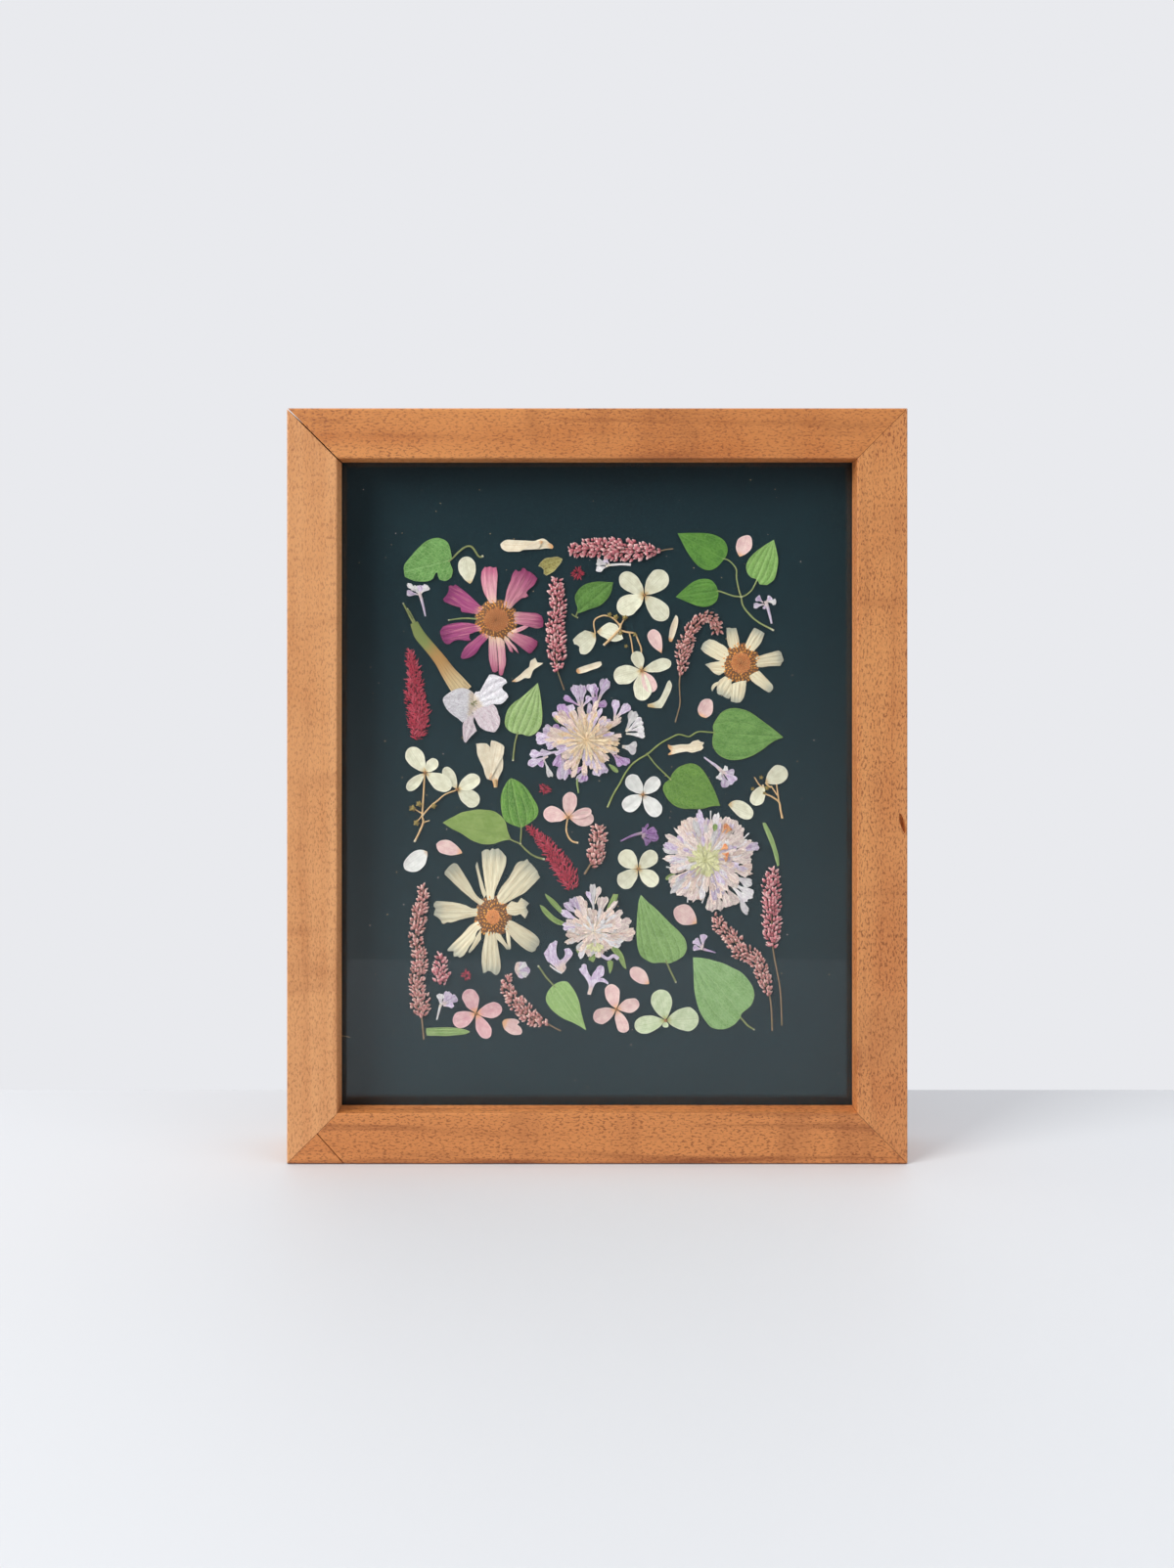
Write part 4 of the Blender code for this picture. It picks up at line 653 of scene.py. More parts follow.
pair_green = leaf_paint("pair_right_green", (0.15, 0.29, 0.07), (0.085, 0.2, 0.035), (0.2, 0.36, 0.1),
                        (0.23, 0.32, 0.075), 0.4, 0.35, 0.44)
pair_dark = leaf_paint("pair_right_dark", (0.125, 0.25, 0.035), (0.075, 0.175, 0.02), (0.19, 0.33, 0.07),
                       (0.2, 0.29, 0.05), 0.55, 0.3, 0.4, 2.1)
pair_stalk = stalk_paint("pair_stalk", (0.17, 0.23, 0.04), (0.27, 0.3, 0.09), (0.4, 0.42, 0.16))
right_pair = Specimen("right_leaf_pair", pair_green, pair_dark, pair_stalk)
blade(right_pair, [
    (72.0, 160.1), (67.7, 158.2), (63.1, 154.7), (57.3, 152.0), (51.8, 151.4), (47.3, 153.2),
    (44.9, 156.6), (44.7, 159.4), (45.1, 161.9), (44.9, 164.4), (46.0, 166.8), (48.8, 170.2),
    (53.0, 171.4), (58.5, 170.2), (63.1, 167.1), (68.9, 162.8),
], (45.1, 161.9), (72.0, 160.1), arching(0.44, 0.16))
blade(right_pair, [
    (47.6, 133.7), (44.1, 133.4), (40.5, 132.4), (36.9, 132.4), (32.9, 132.6), (29.5, 134.1),
    (26.9, 136.9), (25.6, 139.8), (26.1, 142.2), (28.1, 143.9), (29.0, 145.7), (30.8, 147.9),
    (32.9, 149.2), (36.3, 150.0), (39.0, 149.2), (41.6, 146.6), (44.5, 141.5), (46.3, 137.5),
], (28.1, 143.9), (47.6, 133.7), arching(0.4, 0.2), 1)
stalk(right_pair, [
    (46.0, 161.9), (42.0, 162.2), (39.5, 162.3), (38.1, 161.8), (36.6, 160.8), (35.4, 160.3),
    (33.7, 160.8), (32.0, 161.2), (30.8, 161.0), (28.5, 159.9), (25.3, 158.2), (22.7, 156.3),
    (19.7, 153.7), (16.3, 151.7), (13.5, 149.5), (11.0, 146.2), (9.1, 142.6), (6.4, 138.0), (4.1, 133.0),
],
      0.27, 0.36, 2)
stalk(right_pair, [
    (19.1, 154.0), (20.6, 152.2), (22.1, 150.2), (23.8, 148.4), (26.5, 145.8), (28.7, 143.6),
],
      0.26, 0.3, 2)
right_pair.make("green_leaf", "leaf_pair_right")

olive_leaf = leaf_paint("olive_leaf", (0.235, 0.325, 0.085), (0.17, 0.265, 0.05), (0.26, 0.35, 0.11),
                        (0.3, 0.38, 0.13), 0.35, 0.3, 0.9, 2.6)
fresh_leaf = leaf_paint("fresh_leaf", (0.115, 0.275, 0.033), (0.06, 0.175, 0.018), (0.27, 0.42, 0.12),
                        (0.2, 0.36, 0.07), 0.45, 0.55, 0.4)
left_pair = Specimen("left_leaf_pair", olive_leaf, fresh_leaf, olive_stalk)
blade(left_pair, [
    (-59.6, 127.1), (-57.6, 128.3), (-55.3, 129.5), (-52.3, 131.0), (-48.7, 131.8), (-45.8, 132.2),
    (-42.9, 132.0), (-40.1, 131.6), (-37.9, 130.4), (-36.1, 128.6), (-35.1, 126.7), (-34.5, 124.0),
    (-33.1, 120.5), (-34.3, 120.5), (-37.1, 119.9), (-40.1, 118.9), (-44.2, 118.9), (-48.5, 120.4),
    (-52.4, 123.0), (-55.7, 124.6),
], (-33.3, 120.6), (-59.6, 127.1), arching(0.9, 0.14))
blade(left_pair, [
    (-33.1, 144.3), (-30.7, 143.3), (-28.6, 141.8), (-26.5, 139.6), (-24.9, 136.9), (-23.3, 134.3),
    (-22.6, 132.0), (-22.9, 130.1), (-23.9, 128.6), (-26.1, 126.9), (-29.0, 125.2), (-30.7, 125.6),
    (-34.3, 127.1), (-36.0, 128.8), (-36.9, 132.0), (-37.2, 136.2), (-36.6, 139.2), (-35.5, 141.5),
    (-34.5, 143.2),
], (-29.2, 125.2), (-33.1, 144.3), arching(0.4, 0.24), 1)
stalk(left_pair, [
    (-34.3, 121.1), (-32.2, 120.0), (-29.8, 118.9), (-27.7, 116.8), (-25.3, 114.8), (-23.1, 113.7),
    (-20.2, 112.9),
], 0.3, 0.4, 2)
stalk(left_pair, [(-29.2, 125.9), (-29.3, 122.9), (-29.5, 118.9)], 0.3, 0.34, 2)
left_pair.make("green_leaf", "leaf_pair_left")

low_leaf_green = leaf_paint("low_leaf_green", (0.215, 0.355, 0.115), (0.14, 0.26, 0.062),
                            (0.31, 0.45, 0.19), (0.28, 0.43, 0.16), 0.35, 0.5, 0.33)
low_leaf = Specimen("low_right_leaf", low_leaf_green, olive_stalk)
blade(low_leaf, [
    (17.1, 99.1), (19.5, 96.6), (22.3, 94.3), (25.0, 91.7), (28.7, 87.9), (31.0, 85.8), (33.1, 83.5),
    (34.3, 81.5), (34.8, 79.2), (34.5, 77.5), (33.5, 75.7), (32.0, 74.6), (30.0, 73.5), (28.0, 72.8),
    (25.3, 73.1), (21.7, 72.9), (19.3, 73.9), (17.0, 75.7), (16.0, 78.1), (15.5, 80.9), (15.3, 85.4),
    (15.5, 89.6), (15.9, 94.9), (16.4, 97.5),
], (27.0, 73.2), (17.1, 99.1), arching(0.33, 0.26))
stalk(low_leaf, [(26.6, 74.1), (27.2, 72.6), (28.2, 70.3), (29.5, 67.6), (30.6, 65.3)], 0.32, 0.38, 1)
low_leaf.make("pale_leaf", "leaf_low_right")

big_leaf_green = leaf_paint("big_leaf_green", (0.235, 0.395, 0.15), (0.165, 0.305, 0.09),
                            (0.35, 0.49, 0.24), (0.3, 0.46, 0.19), 0.3, 0.5, 0.3)
big_leaf = Specimen("big_leaf", big_leaf_green, olive_stalk)
blade(big_leaf, [
    (37.2, 75.0), (41.6, 74.7), (46.1, 73.5), (49.6, 72.4), (52.6, 70.9), (55.8, 69.2), (58.3, 66.6),
    (60.0, 64.0), (60.8, 61.2), (60.5, 58.6), (59.2, 56.1), (56.1, 53.5), (55.5, 52.1), (54.7, 50.8),
    (52.8, 48.9), (50.4, 47.7), (48.2, 47.2), (46.1, 47.4), (44.0, 48.2), (42.0, 50.5), (39.9, 53.9),
    (38.5, 58.0), (37.6, 63.1), (37.4, 68.4),
], (56.0, 53.1), (37.2, 75.0), arching(0.3, 0.28))
stalk(big_leaf, [(55.0, 52.3), (56.4, 50.8), (58.3, 48.7), (60.9, 47.0)], 0.38, 0.34, 1)
big_leaf.make("pale_leaf", "leaf_big")

young_leaf_green = leaf_paint("young_leaf_green", (0.285, 0.44, 0.145), (0.22, 0.365, 0.095),
                              (0.42, 0.55, 0.25), (0.36, 0.5, 0.2), 0.3, 0.55, 0.36)
young_leaf = Specimen("small_bottom_leaf", young_leaf_green, olive_stalk)
blade(young_leaf, [
    (-4.1, 46.9), (-6.8, 48.5), (-9.5, 50.0), (-12.5, 51.2), (-14.9, 52.7), (-17.4, 54.8), (-19.2, 57.3),
    (-19.7, 58.7), (-19.6, 60.0), (-18.8, 62.0), (-17.6, 63.5), (-16.9, 64.2), (-14.8, 65.4),
    (-12.2, 65.8), (-10.8, 65.1), (-9.9, 63.9), (-8.6, 62.1), (-7.6, 60.0), (-6.7, 57.2), (-6.1, 54.2),
    (-5.2, 50.6),
], (-16.7, 64.2), (-4.1, 46.9), arching(0.36, 0.24))
stalk(young_leaf, [(-16.1, 63.3), (-17.1, 64.6), (-19.3, 67.0), (-21.0, 69.4), (-22.7, 71.8)], 0.3, 0.36, 1)
young_leaf.make("pale_leaf", "leaf_small_bottom")

pale_leaf_green = leaf_paint("pale_leaf_green", (0.235, 0.34, 0.115), (0.16, 0.27, 0.07), (0.34, 0.44, 0.19),
                             (0.37, 0.44, 0.2), 0.4, 0.45, 0.5)
sliver = Specimen("green_sliver", pale_leaf_green)
blade(sliver, [
    (64.1, 127.1), (65.3, 126.9), (66.7, 124.4), (68.2, 121.0), (69.4, 117.2), (70.2, 114.2),
    (70.5, 110.8), (69.8, 110.2), (69.0, 112.7), (68.0, 116.5), (66.7, 119.9), (65.5, 122.9),
    (64.5, 125.2),
], (70.0, 110.4), (64.1, 127.1), arching(0.8, 0.2), step=0.4)
sliver.make("sepal_green", "leaf_sliver_right")
strip = Specimen("green_strip", pale_leaf_green)
blade(strip, [
    (-65.9, 47.7), (-64.0, 47.8), (-61.0, 48.0), (-57.6, 48.0), (-54.5, 47.8), (-51.9, 47.4),
    (-50.2, 46.9), (-49.0, 46.3), (-50.4, 45.5), (-52.3, 45.2), (-55.3, 44.9), (-58.7, 44.7),
    (-62.1, 44.8), (-64.4, 44.8), (-65.7, 44.9), (-66.0, 46.4),
], (-65.9, 46.3), (-49.0, 46.3), arching(0.7, 0.25), step=0.4)
strip.make("sepal_green", "leaf_strip_bottom")

curled_bit_tan = leaf_paint("curled_bit_tan", (0.33, 0.28, 0.075), (0.17, 0.13, 0.028), (0.45, 0.42, 0.16),
                            (0.56, 0.52, 0.3), 0.6, 0.4, 0.5, 1.2)
curled_bit = Specimen("olive_leaf_bit", curled_bit_tan)
blade(curled_bit, [
    (-22.6, 226.3), (-21.7, 227.7), (-20.3, 229.0), (-18.9, 229.5), (-17.5, 229.6), (-16.3, 229.9),
    (-14.9, 229.8), (-13.3, 229.0), (-13.8, 227.7), (-15.0, 226.2), (-16.4, 224.5), (-18.0, 223.4),
    (-19.5, 222.6), (-20.6, 223.4), (-20.5, 224.8), (-21.4, 225.8),
], (-22.4, 226.2), (-13.3, 229.0), None, step=0.4, curl=0.35, cockle=0.3)
curled_bit.make("pale_leaf")


# Hydrangea florets
# Papery sepals, three or four to a floret, grown together at a small hard eye. Some still hang on their
# branched stalks with unopened buds. Pressing has creased them along their midribs.
def petal_outline(base, tip, width, narrow=0.35, notch=0.0, wobble=0.05):
    """Outline of a petal that is narrow at its base and round at its tip, slightly irregular."""
    base, tip = Vector(base), Vector(tip)
    axis = tip - base
    side = Vector((-axis.y, axis.x)).normalized()
    seed = random_pick.uniform(0, 60)
    turns = [math.pi * k / 12 for k in range(13)]
    spread = [math.sin(turn) * ((1 - math.cos(turn)) / 2) ** narrow for turn in turns]
    scale = width / 2 / max(spread)
    sides = []
    for hand in (-1, 1):
        row = []
        for k in range(1, 12):
            share = (1 - math.cos(turns[k])) / 2
            wave = 1 + wobble * 2.4 * noise.noise((k * 0.45, hand * 7, seed))
            row.append(base + axis * share + side * hand * spread[k] * scale * wave)
        sides.append(row)
    end = tip - axis.normalized() * notch
    return [tuple(p) for p in (base, *sides[0], end, *reversed(sides[1]))]


def petal(specimen, base, tip, width, paint=0, narrow=0.35, notch=0.0, relief=None, **more):
    """One petal as a thin blade."""
    blade(specimen, petal_outline(base, tip, width, narrow, notch), base, tip, relief or creased(), paint,
          sharp=more.pop("sharp", 1.2), **more)


def creased(depth=0.16, ribs=0.0):
    """Relief of a papery petal: a crease along its midrib and faint veins that spread from its base."""
    def relief(along, across, half, rim):
        middle = np.exp(-(across * half / 0.35) ** 2)
        fan = np.cos(across * 11) * np.clip(half / 3, 0, 1)
        return 0.25 + depth * (across ** 2 - middle * 0.8) + (0.03 + ribs) * fan
    return relief


def bud(specimen, at, heading, length, thick, paint=0, lift=0.0, tone=0.0, sides=6):
    """A small teardrop bud, round at its base and pointed at its tip."""
    heading = Vector(heading).normalized()
    side = Vector((-heading.y, heading.x))
    shape = ((0.0, 0.3), (0.16, 0.82), (0.42, 1.0), (0.72, 0.66), (0.93, 0.28))
    points = []
    along = []
    for share, swell in shape:
        for k in range(sides):
            turn = math.tau * (k + 0.5) / sides
            spot = Vector(at) + heading * share * length + side * math.cos(turn) * swell * thick / 2
            rise = thick / 2 * (1 + math.sin(turn) * swell) * 0.9
            points.append((spot.x * MM, REST - (rise + lift) * MM, spot.y * MM))
            along.append(share)
    tip = Vector(at) + heading * length
    points.append((tip.x * MM, REST - (thick * 0.45 + lift) * MM, tip.y * MM))
    along.append(1.0)
    faces = []
    for ring in range(len(shape) - 1):
        for k in range(sides):
            a = ring * sides + k
            b = ring * sides + (k + 1) % sides
            faces.append([a, b, b + sides, a + sides])
    last = (len(shape) - 1) * sides
    faces += [[last + k, last + (k + 1) % sides, last + sides] for k in range(sides)]
    faces.append(list(reversed(range(sides))))
    specimen.add(points, faces, paint, along, 0.0, thick, 0.2, tone)


def petal_paint(name, body, pale, heart, rim_tint, reach=0.3, ribs=0.11, rib_strength=0.35, freckle=0.15):
    """A dried petal: a coloured heart that fades outwards, thin lengthwise veins and a tinted rim."""
    skin = Paintwork(name)
    across = skin.attribute("across")
    along = skin.attribute("along")
    half = skin.attribute("half")
    tone = skin.attribute("tone")
    place = skin.attribute("grown", True)
    cloud = skin.noise(place, 0.42, 4, 0.6)
    streak = skin.noise(skin.node("Mapping", Vector=place, Scale=(2.2, 0.35, 1)).outputs[0], 1.1, 4, 0.65)
    speck = skin.noise(place, 3.4, 3, 0.6)
    sway = skin.sum("MULTIPLY", skin.sum("SUBTRACT", skin.noise(place, 0.8, 2), 0.5), 0.2)
    vein = skin.sum("MULTIPLY", skin.sum("PINGPONG", skin.sum("ADD", across, sway), ribs), half)
    vein = skin.sum("MULTIPLY", skin.span(vein, 0.02, 0.17, 1, 0), skin.span(half, 0.3, 1.6))
    middle = skin.span(skin.sum("MULTIPLY", skin.sum("ABSOLUTE", across), half), 0.05, 0.3, 1, 0)
    vein = skin.sum("MAXIMUM", skin.sum("MULTIPLY", vein, 0.7), middle)
    net = skin.node("TexVoronoi", {"feature": "DISTANCE_TO_EDGE"}, Vector=place, Scale=1.5).outputs["Distance"]
    colour = skin.blend(skin.span(cloud, 0.34, 0.68), body, pale)
    colour = skin.blend(skin.span(streak, 0.5, 0.75, 0, 0.3), colour, rim_tint)
    colour = skin.blend(skin.sum("MULTIPLY", vein, rib_strength), colour, rim_tint)
    colour = skin.blend(skin.span(net, 0.0, 0.1, rib_strength * 0.35, 0), colour, rim_tint)
    edge = skin.span(skin.attribute("rim"), 0.05, 0.55, 0.6, 0)
    colour = skin.blend(edge, colour, pale)
    root = skin.sum("ADD", along, skin.sum("MULTIPLY", skin.sum("SUBTRACT", streak, 0.5), 0.35))
    colour = skin.blend(skin.span(root, 0.02, reach, 0.9, 0), colour, heart)
    colour = skin.blend(skin.span(speck, 0.62, 0.72, 0, freckle), colour, heart)
    bright = skin.node("HueSaturation", Color=colour, Value=skin.span(tone, -1, 1, 0.9, 1.08)).outputs[0]
    skin.shader.inputs["Specular IOR Level"].default_value = 0.25
    height = skin.sum("ADD", skin.sum("MULTIPLY", vein, 0.8), skin.sum("MULTIPLY", streak, 0.8))
    return skin.finish(bright, 0.66, height, 0.00008, 0.5)


CREAM = (0.66, 0.63, 0.47)
PALE_CREAM = (0.80, 0.78, 0.62)
EYE_BROWN = (0.40, 0.19, 0.06)
cream_petal = petal_paint("cream_petal", CREAM, PALE_CREAM, (0.55, 0.36, 0.13), (0.45, 0.41, 0.27), 0.2)
white_petal = petal_paint("white_petal", (0.66, 0.65, 0.62), (0.82, 0.80, 0.77), (0.6, 0.42, 0.26),
                          (0.46, 0.42, 0.4), 0.16)
pink_petal = petal_paint("pink_petal", (0.62, 0.33, 0.35), (0.74, 0.49, 0.49), (0.72, 0.33, 0.14),
                         (0.5, 0.22, 0.26), 0.28)
blush_petal = petal_paint("blush_petal", (0.69, 0.44, 0.43), (0.80, 0.60, 0.55), (0.74, 0.4, 0.2),
                          (0.56, 0.29, 0.3), 0.26)
green_petal = petal_paint("greenish_petal", (0.52, 0.60, 0.37), (0.68, 0.73, 0.52), (0.42, 0.42, 0.14),
                          (0.35, 0.42, 0.2), 0.2)
cream_stalk = stalk_paint("cream_stalk", (0.72, 0.46, 0.22), (0.56, 0.36, 0.17), (0.8, 0.7, 0.52))
eye_brown = stalk_paint("eye_brown", EYE_BROWN, (0.22, 0.1, 0.03))
bud_olive = stalk_paint("bud_olive", (0.36, 0.27, 0.06), (0.14, 0.09, 0.02), (0.6, 0.52, 0.26))


def eye(specimen, centre, paint, size=1.5, count=5):
    """The hard middle of a floret: a few tiny lobes pressed together."""
    for k in range(count):
        turn = math.tau * k / count + random_pick.uniform(-0.3, 0.3)
        out = Vector((math.cos(turn), math.sin(turn)))
        bud(specimen, Vector(centre) - out * size * 0.08, out, size * 0.62, size * 0.5, paint, 0.35,
            random_pick.uniform(-1, 1))


def floret(specimen, centre, petals, paint=0, eye_paint=1, narrow=0.35, **more):
    """Petals that meet at the floret's eye. Each is given by its tip and its width."""
    for order, (tip, width) in enumerate(petals):
        reach = (Vector(tip) - Vector(centre)).normalized() * 0.35
        petal(specimen, Vector(centre) + reach, tip, width, paint, narrow, lift=0.12 * (order % 2), **more)
    eye(specimen, centre, eye_paint)


def bud_star(specimen, centre, size, paint):
    """An unopened bud: a ring of short points round a knob."""
    for k in range(5):
        turn = math.tau * k / 5 + random_pick.uniform(-0.2, 0.2)
        bud(specimen, centre, (math.cos(turn), math.sin(turn)), size * 0.62, size * 0.5, paint, 0.2,
            random_pick.uniform(-1, 1))
    bud(specimen, Vector(centre) - Vector((0, size * 0.25)), (0, 1), size * 0.5, size * 0.5, paint, 0.5)


top_floret = Specimen("cream_floret_top", cream_petal, eye_brown)
floret(top_floret, (18.4, 215.0), [
    ((9.3, 223.2), 7.0), ((26.6, 224.0), 7.9), ((8.2, 208.8), 7.8), ((27.1, 205.8), 7.2),
])
top_floret.make("cream_petal", "hydrangea_cream_top")

top_spray = Specimen("cream_floret_spray", cream_petal, eye_brown, cream_stalk, bud_olive, blush_petal)
floret(top_spray, (17.4, 186.0), [((22.1, 177.8), 5.3)], 4)
floret(top_spray, (17.4, 186.0), [
    ((14.7, 193.2), 4.9), ((6.6, 183.1), 7.4), ((17.6, 174.3), 6.9), ((28.7, 189.1), 4.9),
])
blade(top_spray, [
    (-0.6, 200.3), (-2.7, 201.0), (-4.6, 201.5), (-7.2, 199.9), (-9.3, 197.8), (-8.7, 196.1),
    (-7.6, 195.8), (-6.7, 195.0), (-6.8, 193.7), (-6.3, 192.4), (-4.3, 192.2), (-2.5, 193.5),
    (-1.2, 195.4), (-0.4, 197.8),
], (-0.6, 200.3), (-8.3, 194.1), creased(), curl=0.1)
blade(top_spray, [
    (-0.0, 200.9), (1.9, 202.8), (4.5, 204.4), (6.4, 204.1), (7.8, 203.4), (8.7, 201.5), (9.6, 199.7),
    (10.2, 198.2), (8.7, 197.5), (6.9, 197.1), (4.7, 197.6), (3.2, 198.5), (1.3, 199.5),
], (-0.0, 200.9), (10.2, 198.2), creased(), lift=0.25, curl=0.1)
stalk(top_spray, [(9.1, 204.1), (8.9, 202.2), (7.2, 200.1), (4.7, 197.6), (2.6, 195.7)], 0.46, 0.5, 2, 0.45)
stalk(top_spray, [
    (-0.6, 200.1), (-1.2, 203.9), (-0.9, 205.3), (0.1, 206.3), (2.8, 207.2), (5.8, 206.4), (7.5, 205.0),
    (9.1, 203.1),
], 0.24, 0.34, 2)
stalk(top_spray, [(11.7, 206.9), (10.2, 205.2), (8.9, 202.8)], 0.22, 0.34, 2)
stalk(top_spray, [
    (8.3, 201.9), (10.6, 201.0), (12.5, 200.6), (14.7, 200.1), (16.1, 197.1), (17.2, 194.1),
    (16.9, 190.3), (17.2, 186.1),
], 0.36, 0.26, 2)
stalk(top_spray, [(12.5, 200.6), (13.4, 196.8), (14.0, 192.4)], 0.28, 0.24, 2)
for spot, size in (((4.9, 207.5), 1.7), ((7.4, 206.6), 1.8), ((10.8, 206.4), 1.9), ((9.1, 200.3), 1.8),
                   ((14.7, 199.8), 1.5), ((11.3, 195.4), 1.2)):
    bud_star(top_spray, spot, size, 3)
top_spray.make("cream_petal", "hydrangea_sprig_top")

middle_floret = Specimen("white_floret_middle", white_petal, eye_brown)
floret(middle_floret, (17.8, 137.9), [
    ((12.1, 145.2), 6.0), ((23.8, 144.3), 5.5), ((10.3, 132.4), 6.2), ((24.1, 129.9), 6.2),
])
middle_floret.make("white_petal", "hydrangea_white_middle")

stalked_floret = Specimen("pink_floret_on_stalk", blush_petal, eye_brown, cream_stalk)
floret(stalked_floret, (-11.1, 129.1), [
    ((-20.6, 131.1), 6.1), ((-10.1, 138.9), 5.6), ((-1.2, 128.4), 5.9), ((-2.1, 131.8), 3.8),
])
stalk(stalked_floret, [
    (-11.2, 129.0), (-11.7, 126.3), (-11.8, 124.0), (-10.9, 121.4), (-9.3, 119.8), (-7.2, 119.3),
],
      0.32, 0.36, 2)
stalked_floret.make("pale_rose_petal", "hydrangea_pink_with_stalk")

left_spray = Specimen("cream_floret_pair", cream_petal, eye_brown, cream_stalk, bud_olive)
floret(left_spray, (-66.4, 146.4), [
    ((-72.5, 156.0), 6.8), ((-56.4, 140.3), 6.4), ((-61.9, 151.5), 4.5), ((-73.3, 139.8), 4.2),
])
floret(left_spray, (-54.0, 140.0), [((-58.8, 148.5), 4.5), ((-45.4, 144.7), 5.9), ((-45.8, 134.3), 6.4)])
stalk(left_spray, [
    (-66.6, 146.0), (-67.0, 138.0), (-67.5, 130.1), (-67.1, 127.5), (-68.5, 123.7), (-70.5, 119.7),
],
      0.32, 0.42, 2)
stalk(left_spray, [
    (-54.3, 139.7), (-58.7, 138.0), (-61.7, 135.5), (-64.1, 133.6), (-67.4, 129.9),
], 0.28, 0.34, 2)
stalk(left_spray, [(-67.3, 127.1), (-64.7, 127.9)], 0.3, 0.2, 2)
stalk(left_spray, [(-67.4, 130.5), (-71.0, 132.7)], 0.26, 0.22, 2)
stalk(left_spray, [(-67.4, 130.1), (-69.7, 127.2)], 0.26, 0.22, 2)
for spot, size in (((-71.2, 132.7), 2.4), ((-68.7, 134.3), 2.2), ((-63.0, 133.6), 2.0), ((-69.7, 127.1), 2.2)):
    bud_star(left_spray, spot, size, 3)
left_spray.make("cream_petal", "hydrangea_pair_left")

right_spray = Specimen("cream_petal_spray", cream_petal, eye_brown, cream_stalk, bud_olive)
petal(right_spray, (65.2, 142.5), (73.2, 147.8), 6.8)
petal(right_spray, (64.5, 141.5), (60.5, 134.0), 5.5)
stalk(right_spray, [
    (71.7, 128.8), (71.0, 132.0), (70.4, 135.1), (67.4, 137.3), (64.9, 138.6), (64.2, 141.8),
],
      0.4, 0.28, 2)
stalk(right_spray, [(70.4, 135.1), (70.0, 138.0), (69.4, 142.6)], 0.3, 0.24, 2)
stalk(right_spray, [(69.8, 137.7), (68.5, 139.6), (67.4, 141.3)], 0.28, 0.24, 2)
stalk(right_spray, [(67.5, 140.9), (66.3, 141.3), (65.2, 142.6)], 0.36, 0.3, 2, 0.1)
stalk(right_spray, [(60.9, 144.7), (62.6, 142.0), (64.3, 140.3)], 0.22, 0.28, 2)
for spot, size in (((63.6, 144.6), 1.5), ((65.8, 140.5), 1.6), ((60.2, 140.2), 1.3), ((64.7, 138.6), 1.3)):
    bud_star(right_spray, spot, size, 3)
right_spray.make("cream_petal", "hydrangea_sprig_right")

low_floret = Specimen("cream_floret_low", cream_petal, eye_brown)
floret(low_floret, (16.0, 109.2), [
    ((9.2, 115.7), 6.8), ((22.8, 115.7), 6.1), ((23.3, 103.2), 6.2), ((8.7, 102.7), 6.8),
])
low_floret.make("cream_petal", "hydrangea_cream_low")

low_pink = Specimen("pink_floret_left", pink_petal, eye_brown)
floret(low_pink, (-46.7, 53.4), [
    ((-50.0, 62.7), 6.1), ((-36.7, 55.4), 5.9), ((-55.5, 49.6), 6.1), ((-41.9, 43.9), 5.3),
])
low_pink.make("rose_petal", "hydrangea_pink_low_left")
low_blush = Specimen("pink_floret_middle", blush_petal, eye_brown)
floret(low_blush, (7.5, 55.0), [
    ((5.1, 64.6), 5.7), ((16.3, 57.5), 5.3), ((-1.2, 51.0), 5.9), ((11.1, 46.1), 4.9),
])
low_blush.make("pale_rose_petal", "hydrangea_pink_low_middle")
low_green = Specimen("green_floret", green_petal, eye_brown)
floret(low_green, (26.6, 50.7), [
    ((24.1, 62.5), 7.9), ((14.6, 48.2), 6.8), ((39.3, 51.4), 9.1), ((26.5, 48.0), 2.3),
])
low_green.make("greenish_petal", "hydrangea_green_low")


# Loose petals
# Single petals laid between the flowers, two of them folded over.
ivory_petal = petal_paint("ivory_petal", (0.70, 0.60, 0.44), (0.80, 0.72, 0.57), (0.62, 0.3, 0.1),
                          (0.6, 0.42, 0.26), 0.16, 0.16, 0.4)
long_petal = Specimen("long_folded_petal", ivory_petal)
blade(long_petal, [
    (-37.3, 234.8), (-36.1, 235.9), (-34.5, 236.5), (-31.8, 236.3), (-29.2, 236.2), (-26.5, 236.1),
    (-24.1, 236.0), (-22.4, 236.6), (-20.7, 236.9), (-19.4, 236.2), (-18.3, 235.2), (-17.2, 234.6),
    (-16.8, 233.7), (-17.2, 233.0), (-19.5, 233.2), (-21.4, 232.9), (-24.6, 232.7), (-28.0, 232.7),
    (-29.9, 231.9), (-32.3, 231.9), (-34.5, 231.9), (-36.0, 232.5), (-36.9, 233.3),
], (-16.8, 233.8), (-37.3, 234.6), creased(0.2, 0.05))
blade(long_petal, [
    (-29.9, 232.1), (-29.0, 232.8), (-26.1, 234.3), (-23.5, 235.5), (-21.7, 236.2), (-20.8, 235.7),
    (-21.6, 234.6), (-22.6, 233.3), (-24.6, 232.7), (-27.7, 232.6),
], (-21.2, 235.7), (-29.9, 232.1), creased(0.1), lift=0.35)
long_petal.make("cream_petal", "petal_long_top")

oval_petal = Specimen("oval_petal", cream_petal)
petal(oval_petal, (-49.0, 219.5), (-50.9, 229.9), 6.7, narrow=0.3)
oval_petal.make("cream_petal", "petal_oval_top")

